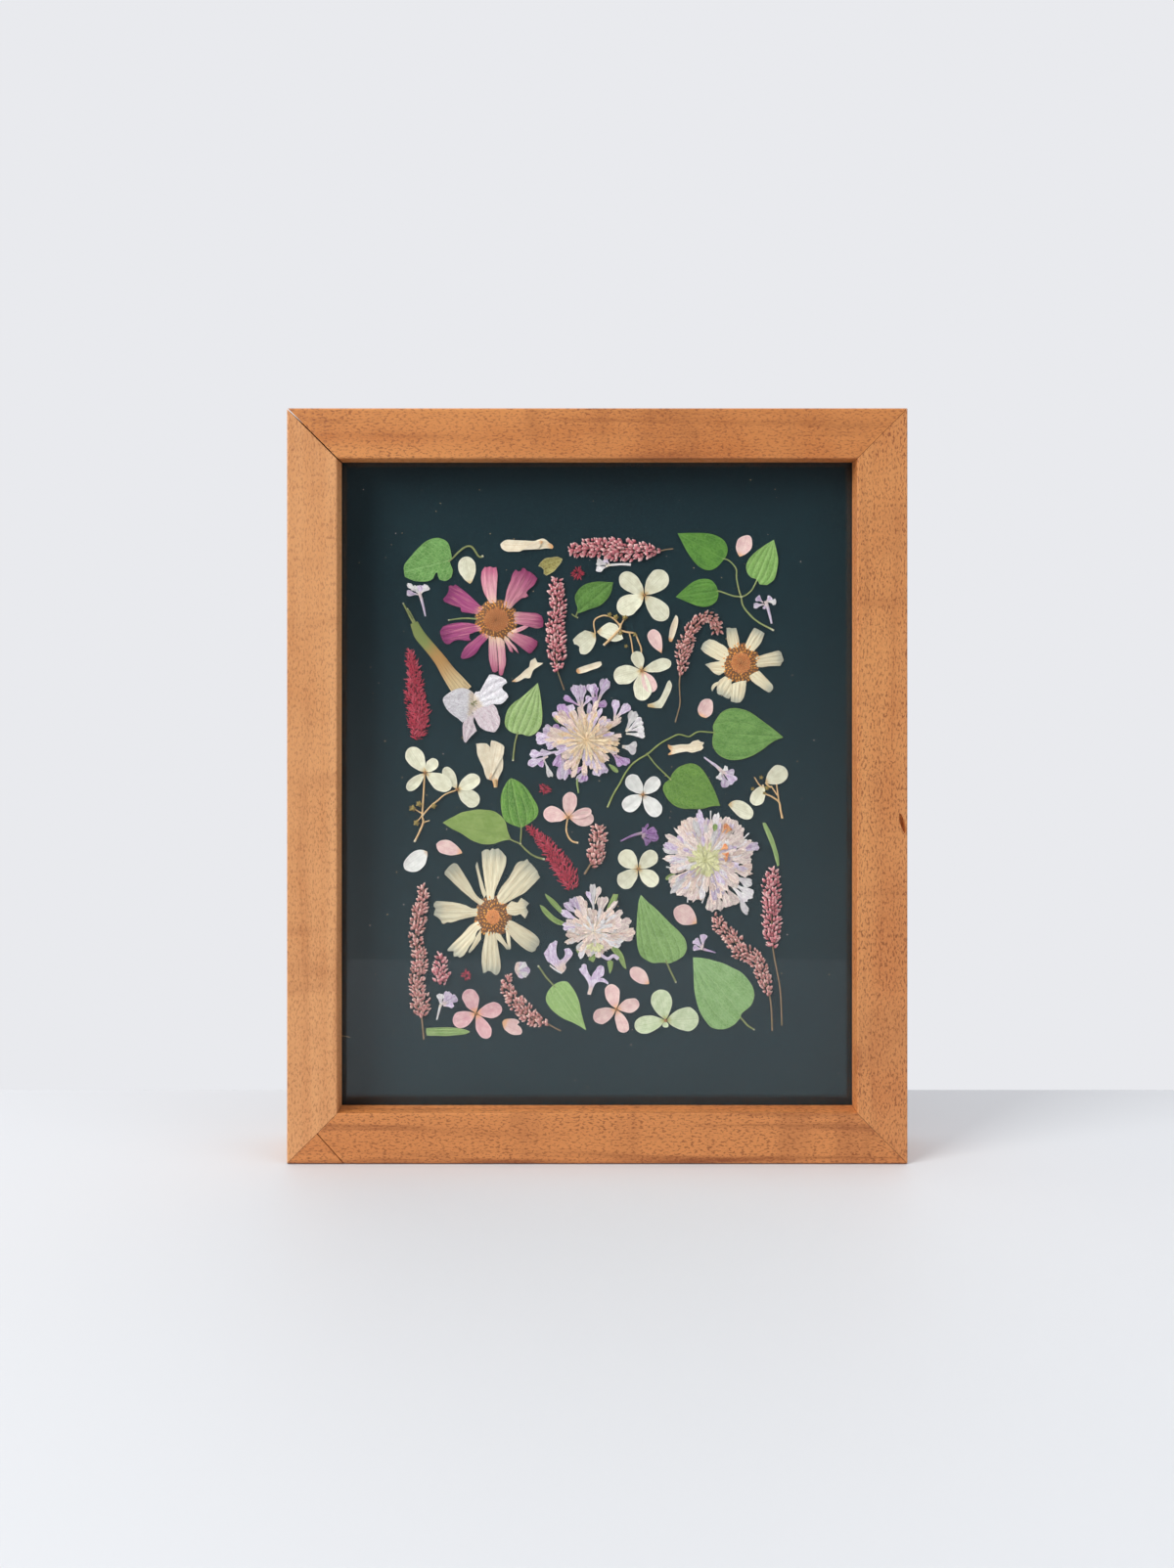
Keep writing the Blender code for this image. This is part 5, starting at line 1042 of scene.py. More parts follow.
folded_bud = Specimen("folded_bud", ivory_petal, cream_stalk)
blade(folded_bud, [
    (-46.6, 157.6), (-44.7, 157.8), (-42.5, 157.6), (-41.7, 156.8), (-41.1, 156.2), (-41.1, 157.7),
    (-40.8, 158.9), (-38.9, 158.5), (-37.1, 157.6), (-36.2, 157.0), (-35.7, 156.2), (-36.1, 154.7),
    (-36.4, 152.8), (-36.2, 150.2), (-36.4, 147.8), (-37.3, 145.8), (-38.1, 144.1), (-38.3, 142.6),
    (-38.5, 140.8), (-39.8, 140.7), (-40.1, 142.2), (-40.4, 143.4), (-41.5, 143.7), (-42.5, 144.1),
    (-43.3, 146.0), (-43.8, 148.1), (-45.1, 150.9), (-46.2, 153.6), (-46.4, 155.7),
], (-39.2, 142.2), (-41.7, 157.7), creased(0.2, 0.05))
blade(folded_bud, [
    (-41.1, 156.2), (-40.8, 158.9), (-38.9, 158.4), (-37.1, 157.5), (-35.8, 156.2), (-36.2, 153.2),
    (-37.9, 150.2), (-39.6, 147.1), (-40.9, 144.5), (-41.5, 143.9), (-41.1, 147.9), (-41.0, 152.4),
], (-41.3, 144.1), (-38.6, 158.1), creased(0.15, 0.03), lift=0.35)
stalk(folded_bud, [(-39.5, 143.7), (-39.2, 142.0), (-39.1, 140.8)], 0.7, 0.6, 1, 0.1)
folded_bud.make("cream_petal", "folded_cream_bud")

folded_strip = Specimen("cream_strip", ivory_petal)
blade(folded_strip, [
    (27.5, 157.3), (28.8, 156.9), (30.6, 157.1), (32.8, 157.4), (35.6, 157.5), (37.0, 158.5),
    (38.2, 158.9), (39.3, 159.1), (39.9, 158.5), (41.4, 158.1), (41.2, 157.5), (40.7, 157.0),
    (41.2, 156.2), (40.4, 155.2), (38.8, 154.7), (36.9, 154.2), (34.6, 154.6), (31.4, 154.1),
    (29.5, 153.6), (27.8, 153.2), (27.5, 153.6), (28.8, 154.7), (28.1, 155.5), (27.6, 156.2),
], (27.6, 155.5), (41.2, 157.0), creased(0.2, 0.04), step=0.4)
folded_strip.make("cream_petal", "cream_sliver")

right_petal = Specimen("cream_petal_right", cream_petal)
blade(right_petal, [
    (50.8, 134.0), (51.7, 135.0), (52.9, 135.6), (54.5, 135.8), (56.3, 135.4), (57.9, 134.5),
    (59.2, 133.4), (60.2, 132.1), (60.5, 130.9), (60.2, 129.6), (59.2, 128.6), (57.5, 128.4),
    (55.7, 129.0), (54.5, 129.8), (53.4, 130.9), (52.0, 132.4),
], (50.8, 134.0), (60.3, 129.7), creased())
right_petal.make("cream_petal", "petal_cream_right")
left_petal = Specimen("white_petal_left", white_petal)
blade(left_petal, [
    (-74.6, 111.6), (-73.6, 113.4), (-71.2, 115.7), (-68.9, 116.6), (-67.0, 116.5), (-65.6, 115.9),
    (-65.5, 114.6), (-65.8, 113.0), (-66.3, 111.2), (-67.5, 109.7), (-68.9, 108.6), (-70.8, 108.1),
    (-72.5, 108.3), (-73.9, 108.9), (-74.6, 110.0),
], (-65.5, 115.9), (-74.6, 110.0), creased())
left_petal.make("cream_petal", "petal_cream_left")
blush_left = Specimen("pink_petal_left", blush_petal)
blade(blush_left, [
    (-62.1, 118.7), (-61.0, 119.9), (-59.4, 120.4), (-57.6, 120.4), (-56.0, 119.7), (-53.9, 118.0),
    (-52.3, 116.1), (-52.1, 115.3), (-54.5, 114.7), (-56.6, 114.5), (-58.9, 115.0), (-60.7, 115.7),
    (-61.7, 117.1),
], (-52.0, 115.5), (-62.1, 118.7), creased())
blush_left.make("pale_rose_petal", "petal_pink_left")


# Cosmos flowers
# Three open flowers pressed face up. Torn, ribbed ray petals stand round a raised disc of packed grains.
def ray_paint(name, root, middle, edge, tip, rib, root_reach=0.34, rib_strength=0.5):
    """A ray petal: close lengthwise ribs, a pale root and deeper, thinner edges and tip."""
    ray = Paintwork(name)
    across = ray.attribute("across")
    along = ray.attribute("along")
    tone = ray.attribute("tone")
    place = ray.attribute("grown", True)
    long_streak = ray.noise(ray.node("Mapping", Vector=place, Scale=(1.9, 0.13, 1)).outputs[0], 1.5, 4, 0.7)
    patch = ray.noise(ray.node("Mapping", Vector=place, Scale=(1, 0.4, 1)).outputs[0], 0.5, 3, 0.6)
    lines = ray.noise(ray.node("Mapping", Vector=place, Scale=(4.2, 0.1, 1)).outputs[0], 1.3, 2, 0.5)
    colour = ray.blend(ray.span(ray.sum("ADD", along, ray.sum("MULTIPLY", patch, 0.5)), 0.62, 1.3), middle, edge)
    side = ray.sum("ADD", ray.sum("ABSOLUTE", across), ray.sum("MULTIPLY", long_streak, 0.5))
    colour = ray.blend(ray.span(side, 0.85, 1.35, 0, 0.8), colour, edge)
    colour = ray.blend(ray.span(long_streak, 0.5, 0.66, 0, rib_strength), colour, rib)
    colour = ray.blend(ray.span(lines, 0.5, 0.62, 0, rib_strength), colour, rib)
    colour = ray.blend(ray.span(lines, 0.3, 0.44, 0.4, 0), colour, root)
    ending = ray.sum("ADD", along, ray.sum("MULTIPLY", ray.sum("SUBTRACT", long_streak, 0.5), 0.5))
    colour = ray.blend(ray.span(ending, 0.74, 1.0, 0, 0.85), colour, tip)
    colour = ray.blend(ray.span(ending, 0.03, root_reach, 0.85, 0), colour, root)
    colour = ray.node("HueSaturation", Color=colour, Value=ray.span(tone, -1, 1, 0.84, 1.12)).outputs[0]
    ray.shader.inputs["Specular IOR Level"].default_value = 0.25
    height = ray.sum("ADD", lines, ray.sum("MULTIPLY", long_streak, 0.8))
    return ray.finish(colour, 0.64, height, 0.00014, 0.6)


def grain_paint(name, colour, pale, dark):
    """Small grains, each a shade of its own, darker at their foot."""
    grain = Paintwork(name)
    along = grain.attribute("along")
    place = grain.attribute("grown", True)
    speck = grain.noise(place, 1.6, 3, 0.6)
    own = grain.blend(grain.span(grain.attribute("tone"), -1, 1), colour, pale)
    own = grain.blend(grain.span(along, 0.0, 0.5, 0.75, 0), own, dark)
    own = grain.blend(grain.span(speck, 0.55, 0.7, 0, 0.5), own, dark)
    return grain.finish(own, 0.6, speck, 0.00008, 0.4)


disc_salmon = grain_paint("disc_salmon", (0.68, 0.23, 0.055), (0.80, 0.36, 0.12), (0.42, 0.12, 0.03))
disc_gold = grain_paint("disc_gold", (0.78, 0.27, 0.018), (0.88, 0.42, 0.06), (0.22, 0.06, 0.01))
disc_brown = grain_paint("disc_brown", (0.13, 0.05, 0.015), (0.22, 0.09, 0.03), (0.05, 0.018, 0.008))


def grain_disc(specimen, centre, wide, high, first, heart=0.55, seed=1):
    """A low brown dome, its middle set with small knobs and its border with standing gold grains."""
    picker = random.Random(seed)
    centre = Vector(centre)
    points = [(centre.x * MM, REST - 0.95 * MM, centre.y * MM)]
    faces = []
    for ring in range(1, 7):
        share = ring / 6
        for k in range(36):
            turn = math.tau * k / 36
            wave = 1 + 0.04 * math.sin(k * 2.7) * (ring == 6)
            points.append(((centre.x + wide * share * wave * math.cos(turn)) * MM,
                           REST - 0.95 * MM * math.sqrt(max(0.0, 1 - share ** 2.4)),
                           (centre.y + high * share * wave * math.sin(turn)) * MM))
    for k in range(36):
        after = (k + 1) % 36
        faces.append([0, 1 + k, 1 + after])
        for ring in range(5):
            a = 1 + ring * 36
            faces.append([a + k, a + 36 + k, a + 36 + after, a + after])
    faces.append([1 + 5 * 36 + k for k in reversed(range(36))])
    specimen.add(points, faces, first + 2)
    for k in range(150):
        share = math.sqrt((k + 0.5) / 150) * heart
        turn = k * 2.39996
        out = Vector((math.cos(turn), math.sin(turn)))
        spot = centre + Vector((out.x * wide, out.y * high)) * share
        size = 0.5 + 0.25 * share
        bud(specimen, spot - out * size * 0.3, out, size * 1.15, size, first, 0.86 - 0.55 * share ** 2,
            picker.uniform(-1, 1), 5)
    for k in range(92):
        share = heart + 0.04 + (0.96 - heart) * ((k * 7) % 23) / 23
        turn = math.tau * k / 92 + picker.uniform(-0.05, 0.05)
        out = Vector((math.cos(turn + picker.uniform(-0.5, 0.5)), math.sin(turn + picker.uniform(-0.5, 0.5))))
        spot = centre + Vector((math.cos(turn) * wide, math.sin(turn) * high)) * share
        size = picker.uniform(0.8, 1.25)
        bud(specimen, spot - out * size * 0.45, out, size, size * 0.52, first + 1,
            max(0.12, 0.75 - 0.6 * share ** 2 + picker.uniform(-0.1, 0.15)), picker.uniform(-1, 1), 5)


def ribbed(count, depth=0.09):
    """Relief of close lengthwise ribs."""
    def relief(along, across, half, rim):
        return 0.12 + depth * (1 + np.cos(across * math.pi * count)) * np.clip(rim / 0.4, 0, 1)
    return relief


def ray(specimen, paint, outline, base, tip, lift=0.1, count=4, tone=None):
    """One torn ray petal, its edges ragged."""
    blade(specimen, outline, base, tip, ribbed(count), paint, step=0.4, lift=lift, sharp=0.6, ragged=0.09,
          curl=0.05, cockle=0.16, tone=tone)


pink_ray = ray_paint("pink_ray", (0.78, 0.56, 0.42), (0.60, 0.225, 0.30), (0.36, 0.06, 0.17),
                     (0.26, 0.03, 0.11), (0.34, 0.07, 0.155), 0.36)
deep_ray = ray_paint("deep_ray", (0.72, 0.42, 0.3), (0.36, 0.065, 0.19), (0.215, 0.025, 0.12),
                     (0.17, 0.02, 0.09), (0.19, 0.024, 0.095), 0.26)
pale_ray = ray_paint("pale_pink_ray", (0.80, 0.62, 0.42), (0.66, 0.34, 0.38), (0.5, 0.15, 0.24),
                     (0.4, 0.09, 0.17), (0.42, 0.12, 0.19), 0.42)
pink_cosmos = Specimen("pink_cosmos", pink_ray, deep_ray, pale_ray, disc_salmon, disc_gold, disc_brown,
                       green_stalk)
ray(pink_cosmos, 2, [
    (-41.3, 211.9), (-42.4, 213.7), (-43.9, 216.8), (-44.7, 221.1), (-44.5, 224.0), (-43.3, 226.1),
    (-42.4, 225.7), (-41.3, 226.2), (-40.1, 225.6), (-38.9, 225.9), (-38.4, 222.8), (-38.6, 219.4),
    (-38.8, 216.0), (-38.9, 211.9),
], (-40.1, 209.2), (-41.3, 226.1))
ray(pink_cosmos, 0, [
    (-36.7, 210.0), (-35.5, 213.4), (-34.7, 217.2), (-33.3, 220.8), (-32.6, 223.2), (-31.4, 225.0),
    (-30.5, 224.2), (-29.4, 224.4), (-28.8, 225.5), (-27.8, 225.5), (-26.9, 224.3), (-26.1, 224.2),
    (-24.6, 223.2), (-23.0, 221.4), (-24.2, 219.0), (-26.4, 217.2), (-27.3, 216.0), (-26.5, 214.7),
    (-27.7, 214.1), (-28.9, 213.9), (-31.1, 212.2), (-33.7, 209.6),
], (-36.0, 208.4), (-27.3, 224.3), 0.2)
ray(pink_cosmos, 0, [
    (-33.3, 208.3), (-30.8, 208.6), (-28.4, 208.5), (-25.8, 208.3), (-23.5, 208.1), (-21.4, 207.2),
    (-20.7, 205.0), (-20.8, 202.8), (-22.7, 202.2), (-24.7, 202.5), (-27.7, 203.3), (-30.8, 203.9),
    (-33.3, 203.9),
], (-34.1, 206.2), (-20.8, 205.0))
ray(pink_cosmos, 2, [
    (-33.3, 201.3), (-30.3, 202.5), (-27.3, 203.6), (-25.3, 204.1), (-26.5, 202.8), (-29.5, 201.1),
    (-32.5, 200.1),
], (-33.3, 200.6), (-25.3, 204.1), 0.02, 2)
ray(pink_cosmos, 0, [
    (-34.5, 200.9), (-31.4, 200.6), (-27.5, 199.4), (-25.2, 198.6), (-23.0, 197.2), (-23.1, 195.7),
    (-23.9, 194.4), (-24.6, 193.7), (-25.2, 192.8), (-26.1, 192.5), (-28.0, 193.8), (-30.7, 196.0),
    (-33.3, 198.0), (-34.8, 199.4),
], (-34.8, 200.9), (-24.2, 194.8))
ray(pink_cosmos, 2, [
    (-35.6, 199.4), (-34.5, 198.6), (-33.7, 196.3), (-32.6, 194.1), (-32.4, 192.8), (-33.6, 193.3),
    (-34.7, 195.6), (-36.0, 197.8),
], (-35.6, 199.0), (-32.7, 192.9), 0.0, 2)
ray(pink_cosmos, 2, [
    (-34.5, 198.6), (-33.0, 196.7), (-31.2, 194.8), (-30.2, 192.5), (-31.4, 193.5), (-33.3, 195.7),
    (-34.8, 197.5),
], (-34.8, 198.6), (-30.3, 192.5), 0.05, 2)
ray(pink_cosmos, 2, [
    (-41.7, 199.4), (-41.8, 194.8), (-41.7, 190.8), (-41.1, 188.0), (-40.3, 185.5), (-39.4, 185.2),
    (-38.3, 185.8), (-38.3, 189.5), (-38.6, 193.3), (-38.9, 199.4),
], (-40.5, 200.9), (-39.4, 185.4))
ray(pink_cosmos, 2, [
    (-39.0, 199.0), (-37.1, 198.6), (-35.8, 197.2), (-35.4, 193.3), (-35.2, 188.9), (-35.8, 186.5),
    (-36.4, 184.2), (-37.1, 183.9), (-37.8, 184.4), (-38.0, 188.8), (-38.4, 194.1),
], (-37.9, 200.1), (-37.0, 184.1), 0.22)
ray(pink_cosmos, 1, [
    (-42.8, 201.3), (-45.2, 199.7), (-47.5, 197.8), (-49.6, 196.3), (-51.1, 194.7), (-52.1, 192.9),
    (-52.7, 191.1), (-51.9, 190.4), (-50.8, 190.5), (-49.5, 190.8), (-48.1, 191.6), (-46.8, 192.5),
    (-45.8, 193.9), (-44.8, 195.6), (-43.2, 197.2), (-41.7, 199.0),
], (-41.7, 201.3), (-52.3, 190.7))
ray(pink_cosmos, 1, [
    (-44.7, 203.1), (-48.5, 204.1), (-52.3, 204.4), (-56.0, 204.1), (-59.4, 203.0), (-60.6, 201.1),
    (-60.2, 199.0), (-59.1, 196.9), (-58.1, 196.1), (-56.9, 196.2), (-55.3, 197.3), (-53.3, 197.8),
    (-50.7, 197.5), (-48.6, 197.5), (-49.4, 198.7), (-49.2, 200.0), (-47.3, 200.7), (-44.3, 201.6),
], (-43.2, 203.1), (-60.2, 199.7))
ray(pink_cosmos, 1, [
    (-46.2, 207.7), (-52.3, 208.6), (-52.7, 210.3), (-55.7, 211.1), (-58.9, 212.5), (-59.4, 213.4),
    (-58.9, 214.1), (-57.6, 215.8), (-57.2, 217.5), (-57.3, 218.4), (-56.6, 218.9), (-55.5, 218.5),
    (-54.7, 219.2), (-51.9, 217.2), (-49.2, 214.9), (-47.0, 212.8), (-43.9, 210.0),
], (-42.8, 208.1), (-57.9, 216.4), 0.16)
stalk(pink_cosmos, [(-46.2, 205.9), (-51.5, 206.1), (-57.5, 205.4)], 0.34, 0.24, 6)
grain_disc(pink_cosmos, (-38.8, 205.5), 8.3, 7.9, 3, 0.56, 4)
pink_cosmos.make("magenta_petal", "cosmos_pink")

cream_ray = ray_paint("cream_ray", (0.80, 0.72, 0.52), (0.76, 0.69, 0.50), (0.58, 0.54, 0.40),
                      (0.36, 0.36, 0.29), (0.50, 0.33, 0.15), 0.3, 0.42)
small_cosmos = Specimen("small_cream_cosmos", cream_ray, disc_salmon, disc_gold, disc_brown)
ray(small_cosmos, 0, [
    (50.1, 202.4), (51.1, 202.5), (52.2, 202.2), (53.8, 202.4), (54.4, 200.1), (55.0, 197.2),
    (55.1, 194.1), (53.0, 192.5), (51.8, 194.1), (50.7, 196.0), (50.2, 199.4),
], (54.1, 191.0), (51.8, 202.4))
ray(small_cosmos, 0, [
    (60.8, 202.4), (62.1, 201.9), (63.2, 201.3), (64.8, 200.3), (64.2, 198.6), (63.5, 196.8),
    (62.3, 195.2), (60.5, 193.3), (57.9, 194.1), (57.3, 195.7), (58.6, 198.6), (59.8, 200.9),
], (56.8, 191.8), (62.8, 201.3), 0.18)
ray(small_cosmos, 0, [
    (60.5, 191.0), (62.3, 191.4), (65.1, 192.3), (67.4, 192.9), (70.2, 193.7), (71.3, 192.9),
    (71.7, 191.4), (72.2, 189.9), (70.8, 187.7), (68.1, 187.7), (65.5, 187.5), (63.1, 187.2),
    (60.5, 188.0),
], (59.0, 189.1), (71.9, 190.7))
ray(small_cosmos, 0, [
    (60.4, 185.0), (62.7, 185.8), (64.3, 184.2), (66.1, 182.3), (67.9, 180.2), (68.1, 179.1),
    (67.7, 178.3), (67.0, 177.6), (66.2, 177.5), (63.2, 179.5), (60.0, 181.8), (58.6, 183.8),
], (57.9, 186.5), (67.4, 178.2), 0.12)
ray(small_cosmos, 0, [
    (51.8, 180.6), (54.5, 181.6), (57.7, 182.1), (57.5, 178.9), (56.9, 176.0), (56.2, 174.6),
    (55.4, 173.6), (53.7, 173.5), (51.8, 174.0), (51.6, 177.4),
], (55.2, 184.2), (54.1, 173.6), 0.14)
ray(small_cosmos, 0, [
    (49.6, 183.7), (47.7, 182.5), (46.5, 181.0), (46.4, 179.1), (46.5, 177.1), (47.3, 176.5),
    (48.4, 176.5), (49.6, 175.5), (51.1, 175.0), (52.0, 177.4), (51.8, 179.8), (52.2, 182.3),
], (53.0, 185.0), (48.4, 176.3))
ray(small_cosmos, 0, [
    (49.2, 190.3), (47.3, 189.5), (44.6, 189.1), (41.8, 188.3), (43.4, 186.9), (44.9, 185.2),
    (46.2, 184.4), (47.3, 184.1), (49.6, 185.4),
], (51.1, 187.6), (42.0, 188.0), 0.05)
ray(small_cosmos, 0, [
    (51.1, 192.2), (49.9, 194.9), (47.7, 196.3), (45.3, 197.6), (43.4, 198.0), (42.1, 197.3),
    (41.1, 196.4), (40.1, 194.3), (41.5, 192.9), (43.1, 191.8), (45.0, 190.8), (46.9, 189.9),
    (49.6, 189.1),
], (52.2, 189.5), (40.9, 196.0), 0.2)
ray(small_cosmos, 0, [
    (46.7, 181.6), (45.5, 181.0), (44.6, 180.2), (44.2, 178.9), (44.6, 177.7), (45.2, 178.8),
    (45.8, 179.8), (46.9, 180.4),
], (46.9, 181.2), (44.6, 177.8), 0.3, 1)
grain_disc(small_cosmos, (55.6, 188.8), 7.4, 7.8, 1, 0.5, 9)
small_cosmos.make("cream_petal", "cosmos_cream_small")

large_cosmos = Specimen("large_cream_cosmos", cream_ray, disc_salmon, disc_gold, disc_brown)
ray(large_cosmos, 0, [
    (-46.6, 99.1), (-49.2, 103.6), (-51.5, 107.4), (-54.0, 111.2), (-55.3, 111.5), (-56.4, 110.8),
    (-57.2, 110.1), (-58.0, 109.1), (-58.8, 108.1), (-58.7, 107.0), (-56.8, 105.3), (-54.6, 103.0),
    (-51.5, 100.2), (-48.2, 97.5), (-44.7, 94.9), (-43.2, 96.4),
], (-42.0, 93.4), (-57.6, 109.7))
ray(large_cosmos, 0, [
    (-46.2, 112.1), (-46.9, 110.4), (-46.0, 106.3), (-44.8, 101.0), (-43.6, 97.9), (-42.6, 99.4),
    (-43.9, 103.2), (-45.2, 107.8),
], (-42.8, 97.2), (-46.4, 111.9), 0.0, 2)
ray(large_cosmos, 0, [
    (-44.5, 115.8), (-43.4, 116.6), (-42.1, 116.8), (-41.3, 116.3), (-40.5, 117.2), (-39.4, 116.8),
    (-38.1, 117.2), (-36.5, 115.7), (-35.0, 113.8), (-35.1, 111.5), (-35.7, 109.4), (-37.5, 105.1),
    (-39.4, 100.3), (-39.8, 97.2), (-42.3, 97.2), (-43.2, 103.2), (-44.1, 110.0),
], (-41.3, 94.9), (-40.1, 117.0), 0.22)
ray(large_cosmos, 0, [
    (-38.7, 98.7), (-36.7, 102.5), (-34.4, 105.3), (-32.6, 108.3), (-31.1, 111.2), (-29.5, 112.3),
    (-28.2, 112.2), (-26.9, 113.1), (-26.1, 111.8), (-25.2, 111.1), (-24.6, 110.3), (-23.9, 109.7),
    (-23.5, 108.9), (-22.9, 108.4), (-22.6, 107.2), (-21.9, 106.0), (-24.6, 103.2), (-27.7, 100.2),
    (-31.1, 98.3), (-34.5, 96.4), (-37.5, 94.9),
], (-39.4, 93.4), (-23.9, 110.8), 0.12)
ray(large_cosmos, 0, [
    (-35.2, 94.5), (-33.0, 96.8), (-30.7, 96.2), (-29.2, 98.1), (-27.3, 96.8), (-26.1, 96.0),
    (-27.4, 94.5), (-26.5, 92.6), (-27.7, 90.1), (-29.5, 91.9), (-31.8, 91.3), (-34.5, 91.9),
], (-36.0, 93.0), (-26.5, 94.1), 0.34, 2)
ray(large_cosmos, 0, [
    (-35.6, 89.6), (-33.0, 89.2), (-30.3, 87.9), (-27.7, 86.4), (-25.0, 84.7), (-22.9, 82.8),
    (-22.2, 81.3), (-22.4, 79.8), (-23.3, 78.8), (-23.7, 77.7), (-25.2, 77.0), (-27.3, 77.9),
    (-29.3, 79.4), (-31.4, 81.3), (-33.7, 83.9), (-36.0, 86.2),
], (-37.9, 89.2), (-23.1, 79.0), 0.1)
ray(large_cosmos, 0, [
    (-35.2, 85.8), (-34.1, 86.2), (-33.5, 82.4), (-33.2, 78.5), (-33.9, 77.9), (-34.8, 81.3),
], (-35.6, 86.6), (-33.5, 77.9), 0.0, 1)
ray(large_cosmos, 0, [
    (-39.1, 84.7), (-37.1, 83.9), (-35.6, 81.4), (-33.7, 78.5), (-34.7, 78.0), (-36.5, 80.1),
    (-38.9, 82.4),
], (-39.4, 84.7), (-33.9, 78.0), 0.25, 1)
ray(large_cosmos, 0, [
    (-42.8, 85.8), (-43.6, 81.3), (-44.3, 77.6), (-44.5, 73.3), (-44.0, 69.0), (-43.0, 69.2),
    (-42.1, 69.9), (-40.8, 69.5), (-39.8, 68.6), (-38.6, 68.2), (-37.6, 69.5), (-37.2, 71.2),
    (-37.3, 73.3), (-37.6, 75.3), (-38.3, 79.8), (-39.0, 85.1),
], (-40.9, 87.3), (-40.9, 68.8), 0.06)
ray(large_cosmos, 0, [
    (-45.8, 89.2), (-48.9, 87.4), (-50.4, 85.8), (-51.9, 84.1), (-54.8, 81.3), (-57.3, 78.6),
    (-57.7, 77.9), (-57.3, 77.5), (-55.3, 77.5), (-55.4, 76.2), (-55.0, 75.3), (-53.8, 75.6),
    (-52.9, 74.9), (-51.6, 75.7), (-50.6, 77.0), (-49.2, 79.4), (-47.5, 81.6), (-46.2, 85.1),
    (-44.3, 86.6),
], (-43.2, 89.6), (-56.0, 76.3), 0.2)
ray(large_cosmos, 0, [
    (-44.8, 85.8), (-44.8, 82.0), (-47.0, 79.0), (-49.2, 76.6), (-49.7, 77.3), (-48.1, 80.1),
    (-46.4, 83.5),
], (-44.7, 86.6), (-49.5, 76.7), 0.02, 1)
ray(large_cosmos, 0, [
    (-46.2, 94.1), (-47.9, 93.9), (-51.1, 95.3), (-54.6, 96.2), (-58.3, 96.6), (-62.1, 96.8),
    (-62.9, 96.0), (-63.1, 94.9), (-62.3, 94.1), (-62.6, 93.1), (-63.1, 91.5), (-61.7, 90.6),
    (-60.4, 89.4), (-59.8, 88.2), (-59.1, 87.9), (-57.8, 88.6), (-56.4, 88.5), (-52.6, 89.7),
    (-48.2, 90.7), (-45.8, 91.1),
], (-43.9, 92.6), (-62.9, 93.0), 0.1)
grain_disc(large_cosmos, (-40.1, 90.8), 7.2, 8.1, 1, 0.34, 14)
large_cosmos.make("cream_petal", "cosmos_cream_large")


# Flower spikes
# Dense spikes of small shut buds round a thin stem, all leaning towards the free end. The two crimson ones
# carry longer, needle-like flowers.
def width_at(share, widths):
    return float(np.interp(share * (len(widths) - 1), range(len(widths)), widths))


def flower_spike(specimen, spine, widths, length=1.7, thick=1.0, paint=0, lean=0.95, pitch=1.05, seed=1,
                 loose=0.4):
    """Buds set round a stem, row after row, as far out as the spike's width there."""
    picker = random.Random(seed)
    line = flowing(spine, 0.4)
    runs = [0.0]
    for before, after in zip(line, line[1:]):
        runs.append(runs[-1] + (after - before).length)
    rows = int(runs[-1] / pitch)
    xs = [p.x for p in line]
    zs = [p.y for p in line]
    for row in range(rows, 0, -1):
        reach = (row - 0.3) * pitch
        spot = Vector((np.interp(reach, runs, xs), np.interp(reach, runs, zs)))
        ahead = Vector((np.interp(reach - 0.8, runs, xs), np.interp(reach - 0.8, runs, zs))) - spot
        if ahead.length < 0.1:
            ahead = line[0] - line[2]
        ahead.normalize()
        side = Vector((-ahead.y, ahead.x))
        half = width_at(reach / runs[-1], widths) / 2
        lanes = max(1, round((half * 2 - thick) / (thick * 0.92)))
        for lane in range(lanes + 1):
            place = (lane - lanes / 2) / max(1, lanes / 2) if lanes else 0.0
            turn = lean * place + picker.uniform(-loose, loose)
            out = (ahead * math.cos(turn) + side * math.sin(turn)).normalized()
            own = length * picker.uniform(0.7, 1.25)
            tip_reach = half * picker.uniform(0.78, 1.16) * place
            foot = spot + side * (tip_reach - math.sin(turn) * own * 0.75)
            foot += ahead * picker.uniform(-0.7, 0.7) * pitch
            rise = 0.05 + 0.75 * (1 - place ** 2) * picker.uniform(0.2, 1.0)
            bud(specimen, foot, out, own, thick * picker.uniform(0.7, 1.15), paint, rise,
                picker.uniform(-1, 1), 5)


def bud_paint(name, foot, body, tip, tip_start=0.5):
    """Buds that pale from a dark foot to a light tip, no two quite alike."""
    skin = Paintwork(name)
    along = skin.attribute("along")
    tone = skin.attribute("tone")
    place = skin.attribute("grown", True)
    speck = skin.noise(place, 1.5, 3, 0.65)
    shift = skin.sum("ADD", along, skin.sum("MULTIPLY", skin.sum("SUBTRACT", speck, 0.5), 0.6))
    colour = skin.blend(skin.span(shift, 0.05, 0.4), foot, body)
    colour = skin.blend(skin.span(shift, tip_start, tip_start + 0.4, 0, 0.85), colour, tip)
    colour = skin.blend(skin.span(tone, 0.3, 1.0, 0, 0.45), colour, tip)
    colour = skin.blend(skin.span(tone, -1, -0.4, 0.5, 0), colour, foot)
    skin.shader.inputs["Specular IOR Level"].default_value = 0.35
    return skin.finish(colour, 0.55, speck, 0.00006, 0.4)


